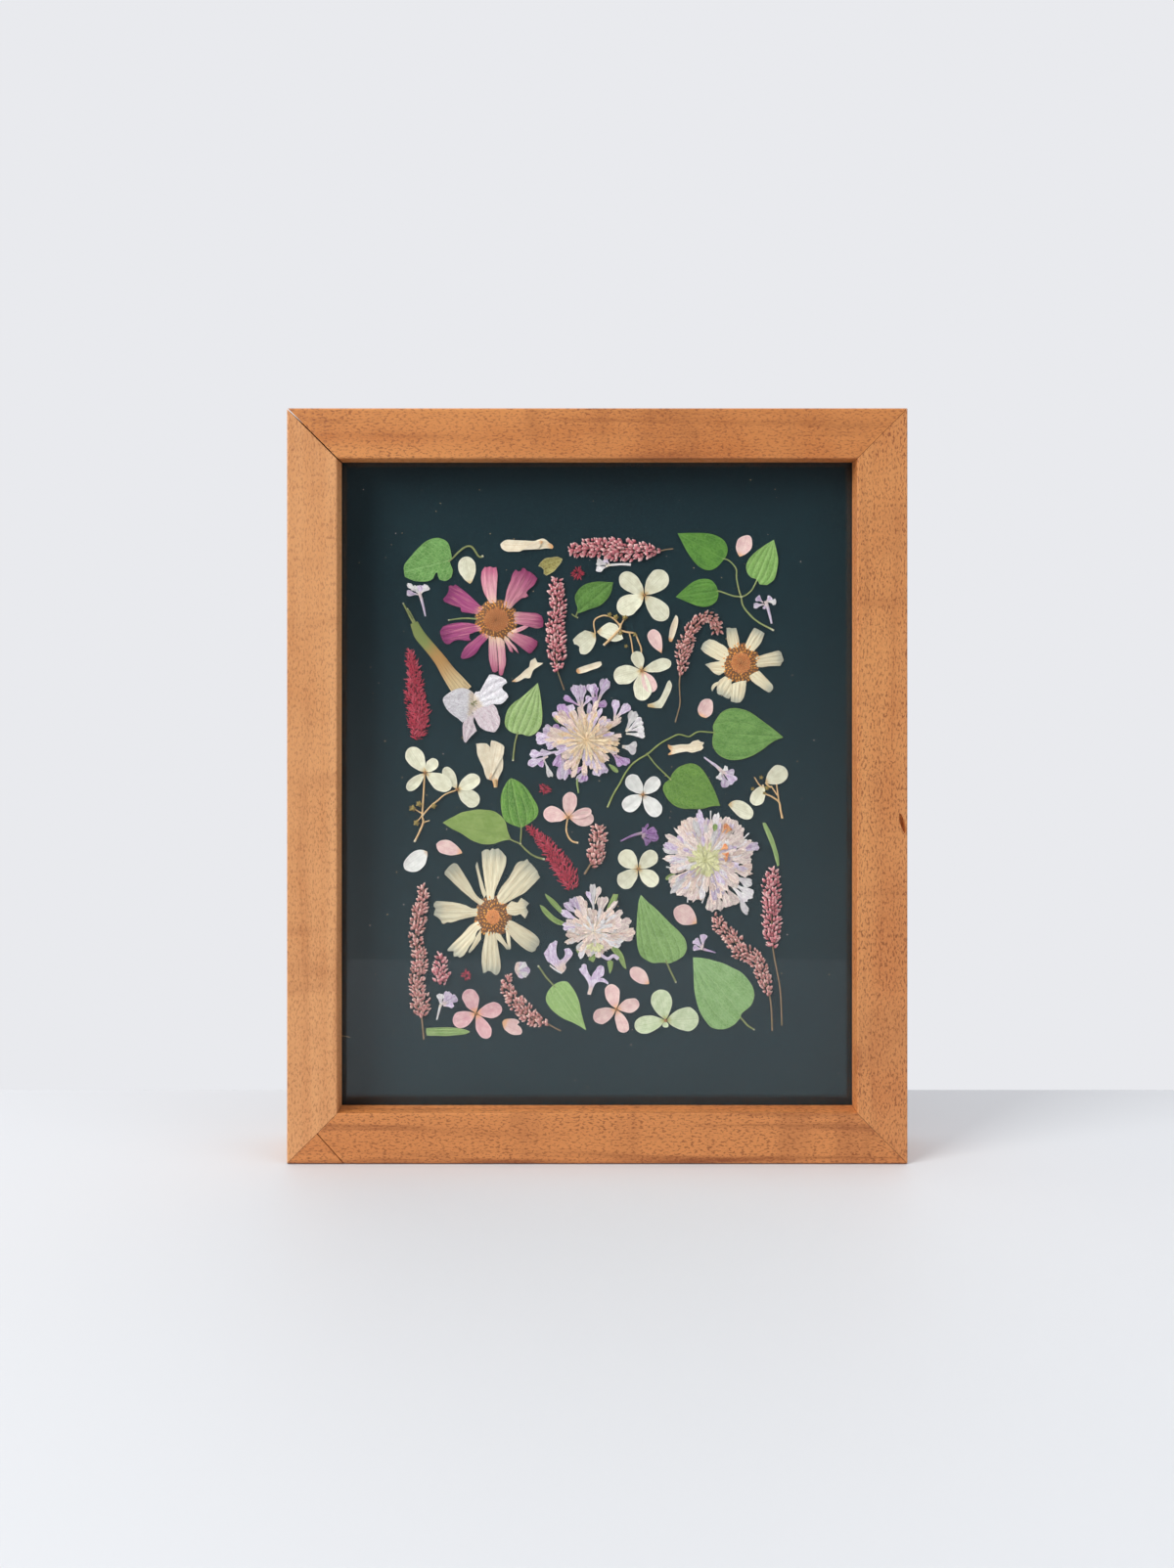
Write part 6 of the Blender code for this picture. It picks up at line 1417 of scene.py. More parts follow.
rose_bud = bud_paint("rose_bud", (0.22, 0.045, 0.05), (0.52, 0.15, 0.175), (0.80, 0.55, 0.52))
dusky_bud = bud_paint("dusky_bud", (0.19, 0.075, 0.04), (0.5, 0.19, 0.18), (0.78, 0.56, 0.49))
crimson_bud = bud_paint("crimson_bud", (0.13, 0.008, 0.018), (0.40, 0.018, 0.045), (0.62, 0.14, 0.19), 0.7)
brown_stem = stalk_paint("brown_stem", (0.17, 0.13, 0.05), (0.30, 0.17, 0.10))

left_crimson = Specimen("crimson_spike_left", crimson_bud)
flower_spike(left_crimson, [
    (-72.5, 192.9), (-70.8, 185.7), (-70.5, 178.9), (-69.9, 174.0), (-68.8, 169.1), (-68.9, 163.8),
    (-70.0, 158.9),
], [2.6, 4.9, 6.4, 7.6, 8.3, 8.3, 3.8],
             2.4, 0.66, lean=1.1, pitch=0.85, seed=3, loose=0.6)
left_crimson.make("crimson_flower", "spike_red_left")
middle_crimson = Specimen("crimson_spike_middle", crimson_bud)
flower_spike(middle_crimson, [
    (-26.3, 125.2), (-23.1, 122.5), (-19.7, 118.7), (-16.3, 113.8), (-12.9, 108.9), (-10.2, 104.4),
    (-9.5, 100.4),
], [1.9, 3.8, 5.3, 6.8, 7.6, 7.6, 3.8],
             2.2, 0.66, lean=1.1, pitch=0.85, seed=5, loose=0.6)
middle_crimson.make("crimson_flower", "spike_red_middle")

top_spike = Specimen("pink_spike_top", rose_bud, brown_stem)
stalk(top_spike, [
    (-3.8, 233.0), (5.7, 232.9), (15.1, 232.3), (23.4, 232.1), (26.9, 232.7), (29.5, 233.0),
], 0.3, 0.24, 1)
flower_spike(top_spike, [
    (-10.2, 232.1), (-3.4, 233.2), (3.0, 233.4), (9.1, 232.5), (15.1, 232.3), (21.2, 232.1),
    (24.6, 232.2),
], [3.4, 6.4, 7.6, 8.3, 7.9, 6.4, 2.3], 2.1, 1.35, seed=7)
top_spike.make("rose_petal", "spike_pink_top")

centre_spike = Specimen("pink_spike_centre", rose_bud, brown_stem)
stalk(centre_spike, [
    (-15.5, 214.5), (-16.1, 203.1), (-15.6, 191.8), (-15.4, 186.5), (-14.0, 182.3), (-12.7, 178.4),
],
      0.3, 0.24, 1)
flower_spike(centre_spike, [
    (-15.5, 221.1), (-15.9, 216.4), (-14.6, 211.9), (-16.1, 204.3), (-15.7, 199.4), (-15.5, 193.7),
    (-15.5, 188.8), (-15.2, 185.0),
],
             [3.4, 5.7, 6.1, 6.4, 6.8, 6.8, 6.4, 2.3], 2.0, 1.3, seed=9)
centre_spike.make("rose_petal", "spike_pink_centre")

curved_spike = Specimen("pink_spike_curved", dusky_bud, brown_stem)
stalk(curved_spike, [
    (34.0, 196.3), (33.3, 192.5), (32.3, 185.0), (31.9, 180.4), (32.2, 173.6), (31.4, 169.8),
    (30.3, 165.9),
],
      0.28, 0.24, 1)
flower_spike(curved_spike, [
    (46.5, 200.9), (45.8, 205.0), (42.4, 206.7), (39.2, 205.2), (36.5, 201.3), (34.4, 197.1),
    (33.3, 192.5), (32.9, 187.6), (32.2, 183.5),
],
             [3.4, 4.5, 4.2, 4.5, 4.9, 5.7, 5.7, 4.5, 1.9], 1.8, 1.1, seed=11)
curved_spike.make("rose_petal", "spike_pink_curved")

left_spike = Specimen("pink_spike_left", dusky_bud, brown_stem)
stalk(left_spike, [
    (-68.2, 94.1), (-70.0, 82.0), (-68.5, 71.0), (-69.3, 63.1), (-67.8, 52.5), (-67.4, 48.7),
    (-66.9, 43.3),
],
      0.3, 0.32, 1)
flower_spike(left_spike, [
    (-67.6, 102.3), (-67.0, 99.1), (-68.2, 94.1), (-69.3, 87.7), (-70.0, 82.0), (-68.7, 77.5),
    (-68.5, 71.0), (-69.5, 66.9), (-69.3, 63.1), (-68.2, 58.6), (-67.8, 54.0), (-67.8, 51.0),
],
             [2.6, 4.5, 5.3, 5.7, 4.9, 4.5, 5.3, 6.1, 5.3, 6.4, 7.6, 3.0],
             1.9, 1.15, seed=13)
left_spike.make("pale_rose_petal", "spike_left")

cluster = Specimen("bud_cluster", rose_bud, brown_stem)
flower_spike(cluster, [(-60.6, 76.2), (-60.2, 72.9), (-60.2, 69.2), (-60.8, 64.0)], [2.3, 4.9, 6.8, 3.0],
             2.0, 1.3, seed=15)
cluster.make("rose_petal", "bud_cluster")

right_spike = Specimen("pink_spike_right", rose_bud, brown_stem)
stalk(right_spike, [
    (67.4, 97.2), (67.7, 85.8), (68.0, 79.4), (68.7, 74.5), (69.5, 70.5), (70.8, 63.1), (71.3, 55.5),
    (71.5, 48.7),
], 0.28, 0.3, 1)
flower_spike(right_spike, [
    (68.1, 109.1), (67.4, 104.7), (67.2, 99.1), (67.4, 93.4), (67.7, 87.7), (67.7, 82.8), (68.0, 77.9),
], [3.0, 6.1, 7.2, 6.8, 6.8, 6.1, 2.3], 2.0, 1.25, seed=17)
right_spike.make("rose_petal", "spike_right")

low_spike = Specimen("pink_spike_low_right", dusky_bud, brown_stem)
stalk(low_spike, [(52.6, 81.6), (60.0, 74.8), (64.9, 65.8), (66.5, 61.6), (67.4, 55.5), (67.8, 46.6)],
      0.28, 0.32, 1)
flower_spike(low_spike, [
    (46.3, 91.1), (47.7, 86.9), (52.6, 82.0), (54.9, 77.9), (60.0, 75.6), (63.2, 71.2), (64.9, 66.1),
    (66.6, 60.1),
],
             [3.0, 5.3, 6.4, 6.1, 5.7, 5.7, 5.3, 2.3], 1.8, 1.15, seed=19)
low_spike.make("pale_rose_petal", "spike_right_low")

bottom_spike = Specimen("pink_spike_bottom", dusky_bud, brown_stem)
stalk(bottom_spike, [
    (-28.8, 54.8), (-21.6, 50.2), (-19.7, 49.7), (-16.7, 48.0), (-14.0, 46.6),
], 0.3, 0.28, 1)
flower_spike(bottom_spike, [
    (-33.9, 68.2), (-35.2, 63.9), (-32.2, 58.9), (-28.8, 55.2), (-25.0, 51.7), (-21.6, 50.4),
    (-18.6, 49.1),
], [2.3, 3.8, 5.3, 6.1, 6.4, 5.3, 1.9], 1.8, 1.15, seed=21)
bottom_spike.make("pale_rose_petal", "spike_bottom")

spike_tip = Specimen("pink_spike_tip", dusky_bud, brown_stem)
stalk(spike_tip, [(-0.5, 113.1), (-2.1, 111.5), (-3.6, 109.1), (-4.8, 107.2)], 0.36, 0.4, 1)
flower_spike(spike_tip, [(0.4, 125.7), (0.7, 121.4), (-0.0, 117.6), (-0.5, 113.1), (-2.7, 110.2)],
             [4.2, 6.4, 6.4, 7.2, 2.3], 2.0, 1.3, seed=23)
spike_tip.make("rose_petal", "spike_tip_middle")


# Scabious heads
# Three heads pressed from above. Dozens of small tubular florets spread from the middle, cream where they are
# tubes, and crumpled and frilled where their lobes open. Narrow green bracts show between them.
def frill(specimen, base, tip, width, paint=0, lift=0.2, picker=random_pick, waist=0.3, crumple=0.3, **more):
    """One lobe: a narrow root that opens into a crumpled blade with a torn, toothed end."""
    base, tip = Vector(base), Vector(tip)
    axis = tip - base
    side = Vector((-axis.y, axis.x)).normalized()
    rows = ((0.0, waist * 0.7), (0.3, waist), (0.52, 0.55), (0.7, 0.92), (0.86, 1.0), (0.95, 0.72))
    left = [base + axis * share + side * width / 2 * swell * picker.uniform(0.82, 1.12) for share, swell in rows]
    right = [base + axis * share - side * width / 2 * swell * picker.uniform(0.82, 1.12) for share, swell in rows]
    teeth = [base + axis * picker.uniform(0.92, 1.04) + side * width / 2 * place for place in (0.42, 0.1, -0.3)]
    fold = picker.uniform(0, math.tau)
    ridge = picker.uniform(2.2, 4.2)

    def relief(along, across, half, rim):
        wave = np.abs(np.sin(across * ridge + fold + along * 2.2))
        return 0.15 + crumple * (wave ** 0.6) * np.clip(along * 2, 0.3, 1)

    blade(specimen, [tuple(p) for p in (*right, *reversed(teeth), *reversed(left))], base, tip, relief, paint,
          step=more.pop("step", 0.42), lift=lift, sharp=0.7, ragged=more.pop("ragged", 0.13),
          cockle=0.1, thickness=0.12 * MM, tone=picker.uniform(-1, 1), **more)


def crumpled_paint(name, pale, deep, root, crease, root_reach=0.5, crease_shade_strength=0.6):
    """A shrivelled lobe: pale folds, painted shade in its creases and a root of its own colour."""
    skin = Paintwork(name)
    along = skin.attribute("along")
    place = skin.attribute("grown", True)
    long_place = skin.node("Mapping", Vector=place, Scale=(1.5, 0.5, 1)).outputs[0]
    cloud = skin.noise(long_place, 0.9, 3, 0.6)
    fine = skin.noise(long_place, 2.6, 4, 0.7, 0.6)
    fold = skin.node("TexVoronoi", {"feature": "DISTANCE_TO_EDGE"}, Vector=long_place, Scale=1.2)
    colour = skin.blend(skin.span(cloud, 0.38, 0.64), pale, deep)
    start = skin.sum("ADD", along, skin.sum("MULTIPLY", skin.sum("SUBTRACT", fine, 0.5), 0.5))
    colour = skin.blend(skin.span(start, 0.1, root_reach, 0.9, 0), colour, root)
    # Painted shade: the crease colour darkens the lobe along a net of crease lines and in fine wrinkle spots, where
    # shade falls in the folds.
    colour = skin.blend(skin.span(fold.outputs["Distance"], 0.0, 0.1, crease_shade_strength, 0), colour, crease)
    colour = skin.blend(skin.span(fine, 0.54, 0.68, 0, crease_shade_strength), colour, crease)
    colour = skin.blend(skin.span(skin.attribute("rim"), 0.02, 0.25, 0.45, 0), colour, pale)
    colour = skin.node("HueSaturation", Color=colour,
                       Value=skin.span(skin.attribute("tone"), -1, 1, 0.8, 1.12)).outputs[0]
    skin.shader.inputs["Specular IOR Level"].default_value = 0.25
    return skin.finish(colour, 0.66, fine, 0.00016, 0.6)


def filaments(specimen, centre, rings, paint, seed):
    """Rings of narrow lobes that spread from the middle, the inner rings on top of the outer ones."""
    picker = random.Random(seed)
    centre = Vector(centre)
    for start, end, count, width, lift in rings:
        for k in range(count):
            turn = math.tau * (k + picker.uniform(-0.42, 0.42)) / count
            out = Vector((math.cos(turn), math.sin(turn)))
            near = start * picker.uniform(0.7, 1.3)
            far = end * picker.uniform(0.78, 1.12)
            swerve = Vector((-out.y, out.x)) * picker.uniform(-0.12, 0.12) * far
            frill(specimen, centre + out * near, centre + out * far + swerve, width * picker.uniform(0.75, 1.25),
                  picker.choice(paint), lift * picker.uniform(0.8, 1.15), picker, 0.5, 0.2, step=0.5, ragged=0.1)


# The fourth colour of each crumpled lobe is the painted shade in its creases.
lilac_lobe = crumpled_paint("lilac_lobe", (0.70, 0.63, 0.72), (0.50, 0.37, 0.54), (0.74, 0.58, 0.44),
                            (0.27, 0.14, 0.30), 0.4, 0.5)
violet_lobe = crumpled_paint("violet_lobe", (0.56, 0.42, 0.62), (0.37, 0.2, 0.42), (0.62, 0.42, 0.4),
                             (0.2, 0.07, 0.22), 0.35, 0.6)
white_lobe = crumpled_paint("white_lobe", (0.78, 0.76, 0.74), (0.62, 0.56, 0.6), (0.72, 0.62, 0.46),
                            (0.32, 0.26, 0.28), 0.25, 0.45)
straw_lobe = crumpled_paint("straw_lobe", (0.82, 0.68, 0.46), (0.70, 0.45, 0.28), (0.66, 0.36, 0.12),
                            (0.30, 0.12, 0.05), 0.4, 0.5)
flesh_lobe = crumpled_paint("flesh_lobe", (0.82, 0.69, 0.58), (0.67, 0.48, 0.44), (0.72, 0.58, 0.34),
                            (0.34, 0.17, 0.16), 0.45, 0.5)
bract_green = leaf_paint("bract_green", (0.21, 0.30, 0.085), (0.13, 0.22, 0.045), (0.32, 0.4, 0.16),
                         (0.3, 0.38, 0.14), 0.35, 0.4, 0.7)

lilac_head = Specimen("lilac_scabious", lilac_lobe, violet_lobe, white_lobe, straw_lobe, flesh_lobe, bract_green)
for base, tip, width, paint in (
    ((-6.3, 172.1), (-13.0, 176.0), 2.3, 1), ((-6.3, 171.4), (-8.9, 180.3), 3.4, 0),
    ((-5.7, 171.4), (-6.1, 180.7), 3.8, 0), ((-5.3, 172.1), (-2.5, 175.9), 2.6, 0),
    ((-1.2, 174.4), (-2.4, 181.0), 4.0, 0), ((-0.0, 175.1), (-0.6, 179.7), 2.3, 1),
    ((0.4, 173.6), (4.0, 182.7), 4.2, 0), ((-2.3, 171.4), (3.8, 173.5), 3.0, 1), ((-1.5, 172.1), (-0.8, 175.7), 2.3, 1),
    ((6.8, 166.8), (7.4, 174.9), 3.4, 0), ((7.5, 167.6), (12.3, 172.7), 3.8, 0),
    ((11.3, 162.3), (14.5, 170.4), 3.8, 2), ((11.3, 162.3), (17.5, 167.2), 3.4, 2),
    ((11.3, 162.6), (18.5, 163.6), 2.6, 2), ((11.3, 161.5), (18.8, 160.9), 2.6, 2),
    ((9.8, 156.6), (15.3, 155.6), 5.3, 2), ((7.5, 153.2), (12.3, 149.9), 3.4, 1),
    ((6.0, 153.9), (9.6, 149.0), 2.6, 1), ((-0.0, 151.7), (0.2, 145.2), 3.4, 0),
    ((1.5, 151.7), (3.2, 146.2), 3.0, 0), ((-3.8, 149.4), (-9.3, 146.5), 2.6, 1), ((-3.8, 149.4), (-7.2, 142.7), 3.0, 0),
    ((-3.8, 149.0), (-5.1, 143.0), 2.6, 1), ((-13.6, 157.7), (-15.9, 148.3), 3.4, 1), ((-13.3, 153.9), (-13.4, 143.7), 4.9, 0),
    ((-12.5, 152.4), (-10.6, 145.2), 2.3, 1), ((-13.6, 160.8), (-23.9, 159.4), 4.9, 0), ((-13.3, 160.8), (-20.8, 163.8), 4.2, 0),
    ((-12.5, 160.8), (-17.1, 164.4), 3.8, 1), ((-12.9, 159.6), (-19.5, 156.4), 3.8, 0), ((-12.1, 158.9), (-14.6, 155.2), 3.4, 1),
    ((-9.1, 166.1), (-17.2, 169.3), 2.6, 0), ((-9.1, 166.1), (-14.6, 172.5), 3.8, 1), ((-8.7, 166.1), (-10.8, 172.9), 3.8, 0),
    ((-16.7, 154.2), (-22.0, 154.5), 2.3, 0), ((-18.6, 153.6), (-25.9, 153.6), 3.4, 0), ((-18.9, 152.8), (-26.3, 149.6), 3.4, 0),
    ((-20.1, 152.0), (-22.1, 148.8), 2.6, 1), ((-20.6, 151.8), (-17.6, 144.5), 2.3, 2),
):
    frill(lilac_head, base, tip, width, paint, 0.1 + 0.02 * paint)
stalk(lilac_head, [(-13.3, 154.5), (-16.7, 154.3), (-18.9, 153.6), (-20.8, 152.8)], 0.5, 0.4, 0, 0.1)
stalk(lilac_head, [(-7.4, 144.1), (-7.6, 142.2), (-7.1, 138.6)], 0.5, 0.28, 5)
petal(lilac_head, (4.5, 149.8), (8.2, 146.6), 1.7, 5, step=0.4)
petal(lilac_head, (-13.6, 165.3), (-16.8, 168.2), 1.7, 5, step=0.4)
filaments(lilac_head, (-4.2, 159.2), (
    (3.5, 14.2, 34, 2.2, 0.30), (3.0, 12.4, 40, 1.7, 0.42), (2.0, 10.4, 40, 1.25, 0.6),
), (3, 4, 4, 0), 31)
filaments(lilac_head, (-4.2, 159.2), (
    (0.6, 7.6, 34, 1.0, 0.8), (0.2, 4.2, 24, 0.8, 1.0),
), (3,), 33)
lilac_head.make("lilac_petal", "scabious_lilac")

pale_flesh = crumpled_paint("pale_flesh_lobe", (0.82, 0.72, 0.64), (0.66, 0.50, 0.49), (0.74, 0.66, 0.44),
                            (0.30, 0.18, 0.2), 0.4, 0.5)
green_straw = crumpled_paint("green_straw_lobe", (0.74, 0.72, 0.44), (0.56, 0.55, 0.25), (0.42, 0.42, 0.12),
                             (0.25, 0.2, 0.06), 0.5, 0.45)
rust_lobe = crumpled_paint("rust_lobe", (0.80, 0.42, 0.2), (0.60, 0.16, 0.05), (0.7, 0.4, 0.2),
                           (0.25, 0.06, 0.03), 0.3, 0.5)
pale_head = Specimen("pale_scabious", pale_flesh, flesh_lobe, white_lobe, green_straw, rust_lobe, bract_green,
                     lilac_lobe)
for base, tip, width, paint in (
    ((37.8, 119.1), (31.8, 125.8), 3.0, 1), ((38.6, 119.1), (35.7, 129.1), 3.8, 0), ((39.3, 119.1), (38.8, 129.5), 3.8, 0),
    ((40.9, 119.1), (41.5, 128.6), 2.6, 6), ((42.4, 119.1), (44.3, 127.4), 3.0, 0), ((45.4, 119.1), (46.9, 128.8), 3.4, 0),
    ((46.5, 119.1), (48.8, 129.1), 3.8, 0), ((47.3, 119.1), (51.5, 129.5), 4.5, 0), ((49.2, 118.4), (53.9, 128.2), 3.4, 0),
    ((49.9, 117.6), (56.4, 125.8), 3.4, 0), ((49.9, 116.8), (56.6, 122.7), 3.0, 0), ((50.7, 115.0), (57.1, 120.6), 3.0, 0),
    ((52.2, 115.0), (60.2, 119.9), 3.0, 0), ((53.0, 115.0), (62.8, 118.7), 3.4, 6), ((53.7, 114.2), (60.5, 116.2), 3.0, 0),
    ((51.5, 112.3), (57.5, 115.0), 3.4, 0), ((52.2, 111.5), (59.4, 112.7), 3.4, 0), ((52.2, 110.0), (60.2, 110.0), 3.4, 1),
    ((52.2, 108.5), (58.5, 107.4), 3.4, 0), ((53.0, 106.3), (59.6, 103.4), 4.2, 2), ((52.2, 104.0), (60.4, 98.7), 3.8, 2),
    ((51.5, 103.2), (58.1, 96.6), 3.4, 2), ((53.7, 101.7), (58.0, 92.0), 3.0, 2), ((49.2, 103.2), (54.3, 95.7), 3.4, 0),
    ((48.4, 102.5), (51.1, 94.4), 4.2, 0), ((46.2, 102.5), (46.8, 93.0), 4.2, 0), ((44.6, 103.2), (43.7, 92.9), 3.8, 0),
    ((42.4, 104.0), (39.0, 97.2), 3.4, 1), ((40.1, 104.7), (36.3, 97.3), 3.0, 0), ((38.6, 105.5), (33.7, 98.5), 3.4, 0),
    ((37.1, 106.3), (30.9, 99.4), 3.4, 0), ((36.3, 107.0), (28.7, 101.1), 3.8, 0), ((35.6, 107.8), (27.6, 104.5), 3.0, 0),
    ((35.6, 109.3), (28.2, 108.7), 3.0, 0), ((36.3, 110.8), (29.5, 110.8), 2.6, 2), ((35.6, 112.3), (28.0, 112.1), 1.9, 6),
    ((36.3, 113.8), (25.7, 118.0), 3.8, 2), ((36.3, 114.6), (27.6, 121.2), 3.0, 0), ((37.1, 115.3), (31.0, 121.8), 2.6, 6),
    ((36.3, 113.1), (30.6, 115.0), 2.6, 1),
):
    frill(pale_head, base, tip, width, paint, 0.1 + 0.015 * paint)
petal(pale_head, (30.3, 107.4), (26.5, 105.3), 1.7, 5, step=0.4)
petal(pale_head, (45.4, 123.7), (45.8, 126.7), 1.9, 5, step=0.4, lift=0.6)
for thread in ([(44.0, 127.4), (44.0, 129.7), (44.0, 131.7)], [(56.0, 119.9), (57.5, 121.8), (58.8, 123.1)],
               [(29.5, 109.3), (28.0, 109.8), (26.8, 110.0)], [(35.4, 99.4), (35.2, 97.9), (35.0, 96.3)],
               [(42.0, 99.4), (41.2, 97.5), (40.6, 96.0)], [(30.3, 113.8), (29.1, 112.7), (28.0, 111.5)],
               [(33.7, 118.4), (32.4, 120.6), (32.2, 123.7)]):
    stalk(pale_head, thread, 0.2, 0.3, 2, 0.2, 0.5)
filaments(pale_head, (42.5, 113.1), (
    (4.0, 17.0, 46, 2.3, 0.3), (3.6, 14.2, 46, 2.0, 0.44), (3.0, 11.0, 42, 1.6, 0.6),
), (0, 1, 0, 2, 6), 41)
filaments(pale_head, (41.8, 112.8), (
    (0.5, 6.6, 34, 1.0, 0.8), (0.2, 4.0, 26, 0.85, 1.0),
), (3,), 43)
for base, tip, width in (((48.4, 123.3), (50.3, 126.7), 2.4), ((49.6, 122.9), (51.5, 125.6), 2.2), ((47.7, 116.8), (50.3, 118.4), 2.6),
                         ((48.4, 115.3), (50.7, 114.6), 2.4), ((48.8, 113.8), (50.3, 112.7), 2.0)):
    frill(pale_head, base, tip, width, 4, 0.95)
pale_head.make("pale_lilac_petal", "scabious_pale")

small_head = Specimen("small_scabious", pale_flesh, flesh_lobe, white_lobe, green_straw, lilac_lobe, bract_green)
for base, tip, width, paint in (
    ((-1.2, 91.1), (-1.7, 104.1), 2.6, 2), ((-1.5, 94.9), (-3.7, 100.7), 1.9, 4), ((-0.8, 95.7), (1.0, 102.3), 2.3, 0),
    ((-4.6, 89.6), (-12.7, 96.2), 2.3, 4), ((-4.6, 90.4), (-9.9, 98.3), 3.4, 4), ((-3.8, 90.4), (-7.2, 98.7), 3.4, 0),
    ((-3.1, 91.1), (-5.3, 97.2), 2.6, 1), ((0.7, 90.4), (1.5, 98.5), 2.6, 0), ((1.1, 90.4), (3.6, 98.5), 2.6, 0),
    ((1.9, 89.6), (7.7, 97.0), 1.9, 0), ((2.2, 88.8), (6.0, 93.9), 3.4, 1), ((3.8, 86.6), (9.8, 93.4), 2.6, 0),
    ((3.8, 85.8), (13.1, 89.7), 3.0, 0), ((4.5, 85.8), (9.1, 90.9), 3.0, 0), ((4.5, 83.5), (12.3, 87.3), 3.0, 0),
    ((4.5, 83.2), (15.0, 85.4), 3.4, 1), ((4.5, 82.8), (14.2, 82.9), 3.0, 0), ((3.0, 82.0), (10.2, 82.0), 3.4, 2),
    ((2.2, 81.6), (9.1, 80.1), 3.4, 2), ((-4.9, 88.1), (-13.6, 92.9), 2.6, 4), ((-5.3, 86.6), (-13.3, 87.2), 3.0, 4),
    ((-4.9, 85.8), (-11.4, 89.2), 2.6, 0), ((-5.3, 84.3), (-11.9, 84.1), 3.0, 1), ((-4.9, 83.5), (-10.2, 82.6), 2.3, 1),
    ((-4.6, 82.8), (-8.0, 82.0), 2.3, 0),
):
    frill(small_head, base, tip, width, paint, 0.14 + 0.02 * paint)
blade(small_head, [
    (-20.1, 99.7), (-18.6, 98.8), (-16.1, 96.8), (-13.6, 93.9), (-12.1, 92.0), (-13.3, 91.3),
    (-15.5, 93.4), (-18.0, 96.0), (-19.6, 98.3),
], (-12.5, 91.5), (-20.1, 99.7), arching(0.7, 0.15), 5, 0.4)
blade(small_head, [
    (-22.1, 95.3), (-20.5, 94.7), (-18.0, 92.2), (-15.5, 90.1), (-12.5, 88.6), (-12.9, 87.4),
    (-15.5, 87.9), (-18.6, 90.0), (-21.0, 92.8),
], (-12.5, 88.1), (-22.1, 95.3), arching(0.7, 0.15), 5, 0.4)
blade(small_head, [
    (6.3, 99.4), (8.3, 99.4), (7.4, 96.4), (6.0, 93.4), (4.1, 90.7), (2.9, 91.5), (4.4, 95.3),
],
      (3.8, 91.1), (7.3, 99.4), arching(0.8, 0.15), 5, 0.4)
blade(small_head, [(-8.2, 77.9), (-7.0, 76.1), (-4.9, 77.9), (-2.7, 80.1), (-3.8, 81.8), (-6.1, 79.9)],
      (-3.1, 80.9), (-7.6, 77.0), arching(0.8, 0.15), 5, 0.4)
blade(small_head, [(-3.3, 74.2), (-1.4, 73.1), (-0.0, 76.0), (0.7, 79.0), (-1.3, 79.6), (-1.9, 77.3)],
      (-0.4, 79.4), (-2.3, 73.5), arching(0.8, 0.15), 5, 0.4)
blade(small_head, [
    (11.5, 70.5), (10.3, 71.2), (8.2, 74.5), (5.9, 77.6), (4.0, 80.1), (5.4, 80.7), (7.9, 78.8),
    (10.1, 76.0),
], (4.7, 80.3), (11.5, 70.5), arching(0.7, 0.15), 5, 0.4)
blade(small_head, [(5.0, 68.6), (4.4, 71.0), (4.0, 73.3), (5.1, 74.2), (6.3, 73.3), (6.0, 70.8)],
      (5.0, 73.9), (5.0, 68.6), arching(0.8, 0.15), 5, 0.4)
stalk(small_head, [(0.7, 80.1), (1.2, 77.8), (2.0, 75.8), (4.4, 74.5), (6.4, 75.7), (8.3, 74.5)],
      0.5, 0.75, 4, 0.35, 0.5, flat=0.45)
filaments(small_head, (-1.3, 85.1), (
    (2.6, 10.6, 32, 2.0, 0.3), (2.2, 8.6, 30, 1.5, 0.46), (0.8, 6.0, 26, 1.1, 0.66), (0.2, 3.4, 20, 0.8, 0.85),
), (0, 1, 2), 51)
for k in range(22):
    turn = math.radians(-150 + 120 * k / 21)
    out = Vector((math.cos(turn), math.sin(turn)))
    foot = Vector((-0.8, 81.3)) + out * 0.6
    frill(small_head, foot, foot + out * random_pick.uniform(2.2, 4.2), 0.7, 3, 0.6, step=0.5)
small_head.make("pale_lilac_petal", "scabious_small")


# White flower
# A long-tubed flower pressed from the side. Its green calyx turns brown towards the crumpled white petals.
def husk(specimen, line, widths, paint, ribs=5, height=0.62, lift=0.0):
    """A flattened, ribbed tube with the given widths along its line."""
    rows = flowing(line, 0.6)
    sides = 28
    points = []
    along = []
    across = []
    for index, spot in enumerate(rows):
        share = index / (len(rows) - 1)
        ahead = rows[min(index + 1, len(rows) - 1)] - rows[max(index - 1, 0)]
        side = Vector((-ahead.y, ahead.x)).normalized()
        half = width_at(share, widths) / 2
        for k in range(sides):
            turn = math.tau * k / sides
            rib = 1 + 0.10 * math.cos(turn * ribs * 2)
            out = side * half * math.cos(turn)
            rise = min(height, half) * (1 + math.sin(turn)) * rib * 0.5
            points.append(((spot.x + out.x) * MM, REST - (rise + lift) * MM, (spot.y + out.y) * MM))
            along.append(share)
            across.append(math.cos(turn))
    faces = []
    for ring in range(len(rows) - 1):
        for k in range(sides):
            a = ring * sides + k
            b = ring * sides + (k + 1) % sides
            faces.append([a, b, b + sides, a + sides])
    last = (len(rows) - 1) * sides
    faces += [list(reversed(range(sides))), [last + k for k in range(sides)]]
    places = [(a * 3, b * len(rows) * 0.6, 3.0) for a, b in zip(across, along)]
    specimen.add(points, faces, paint, along, across, 3.0, 0.4, 0.0, places)


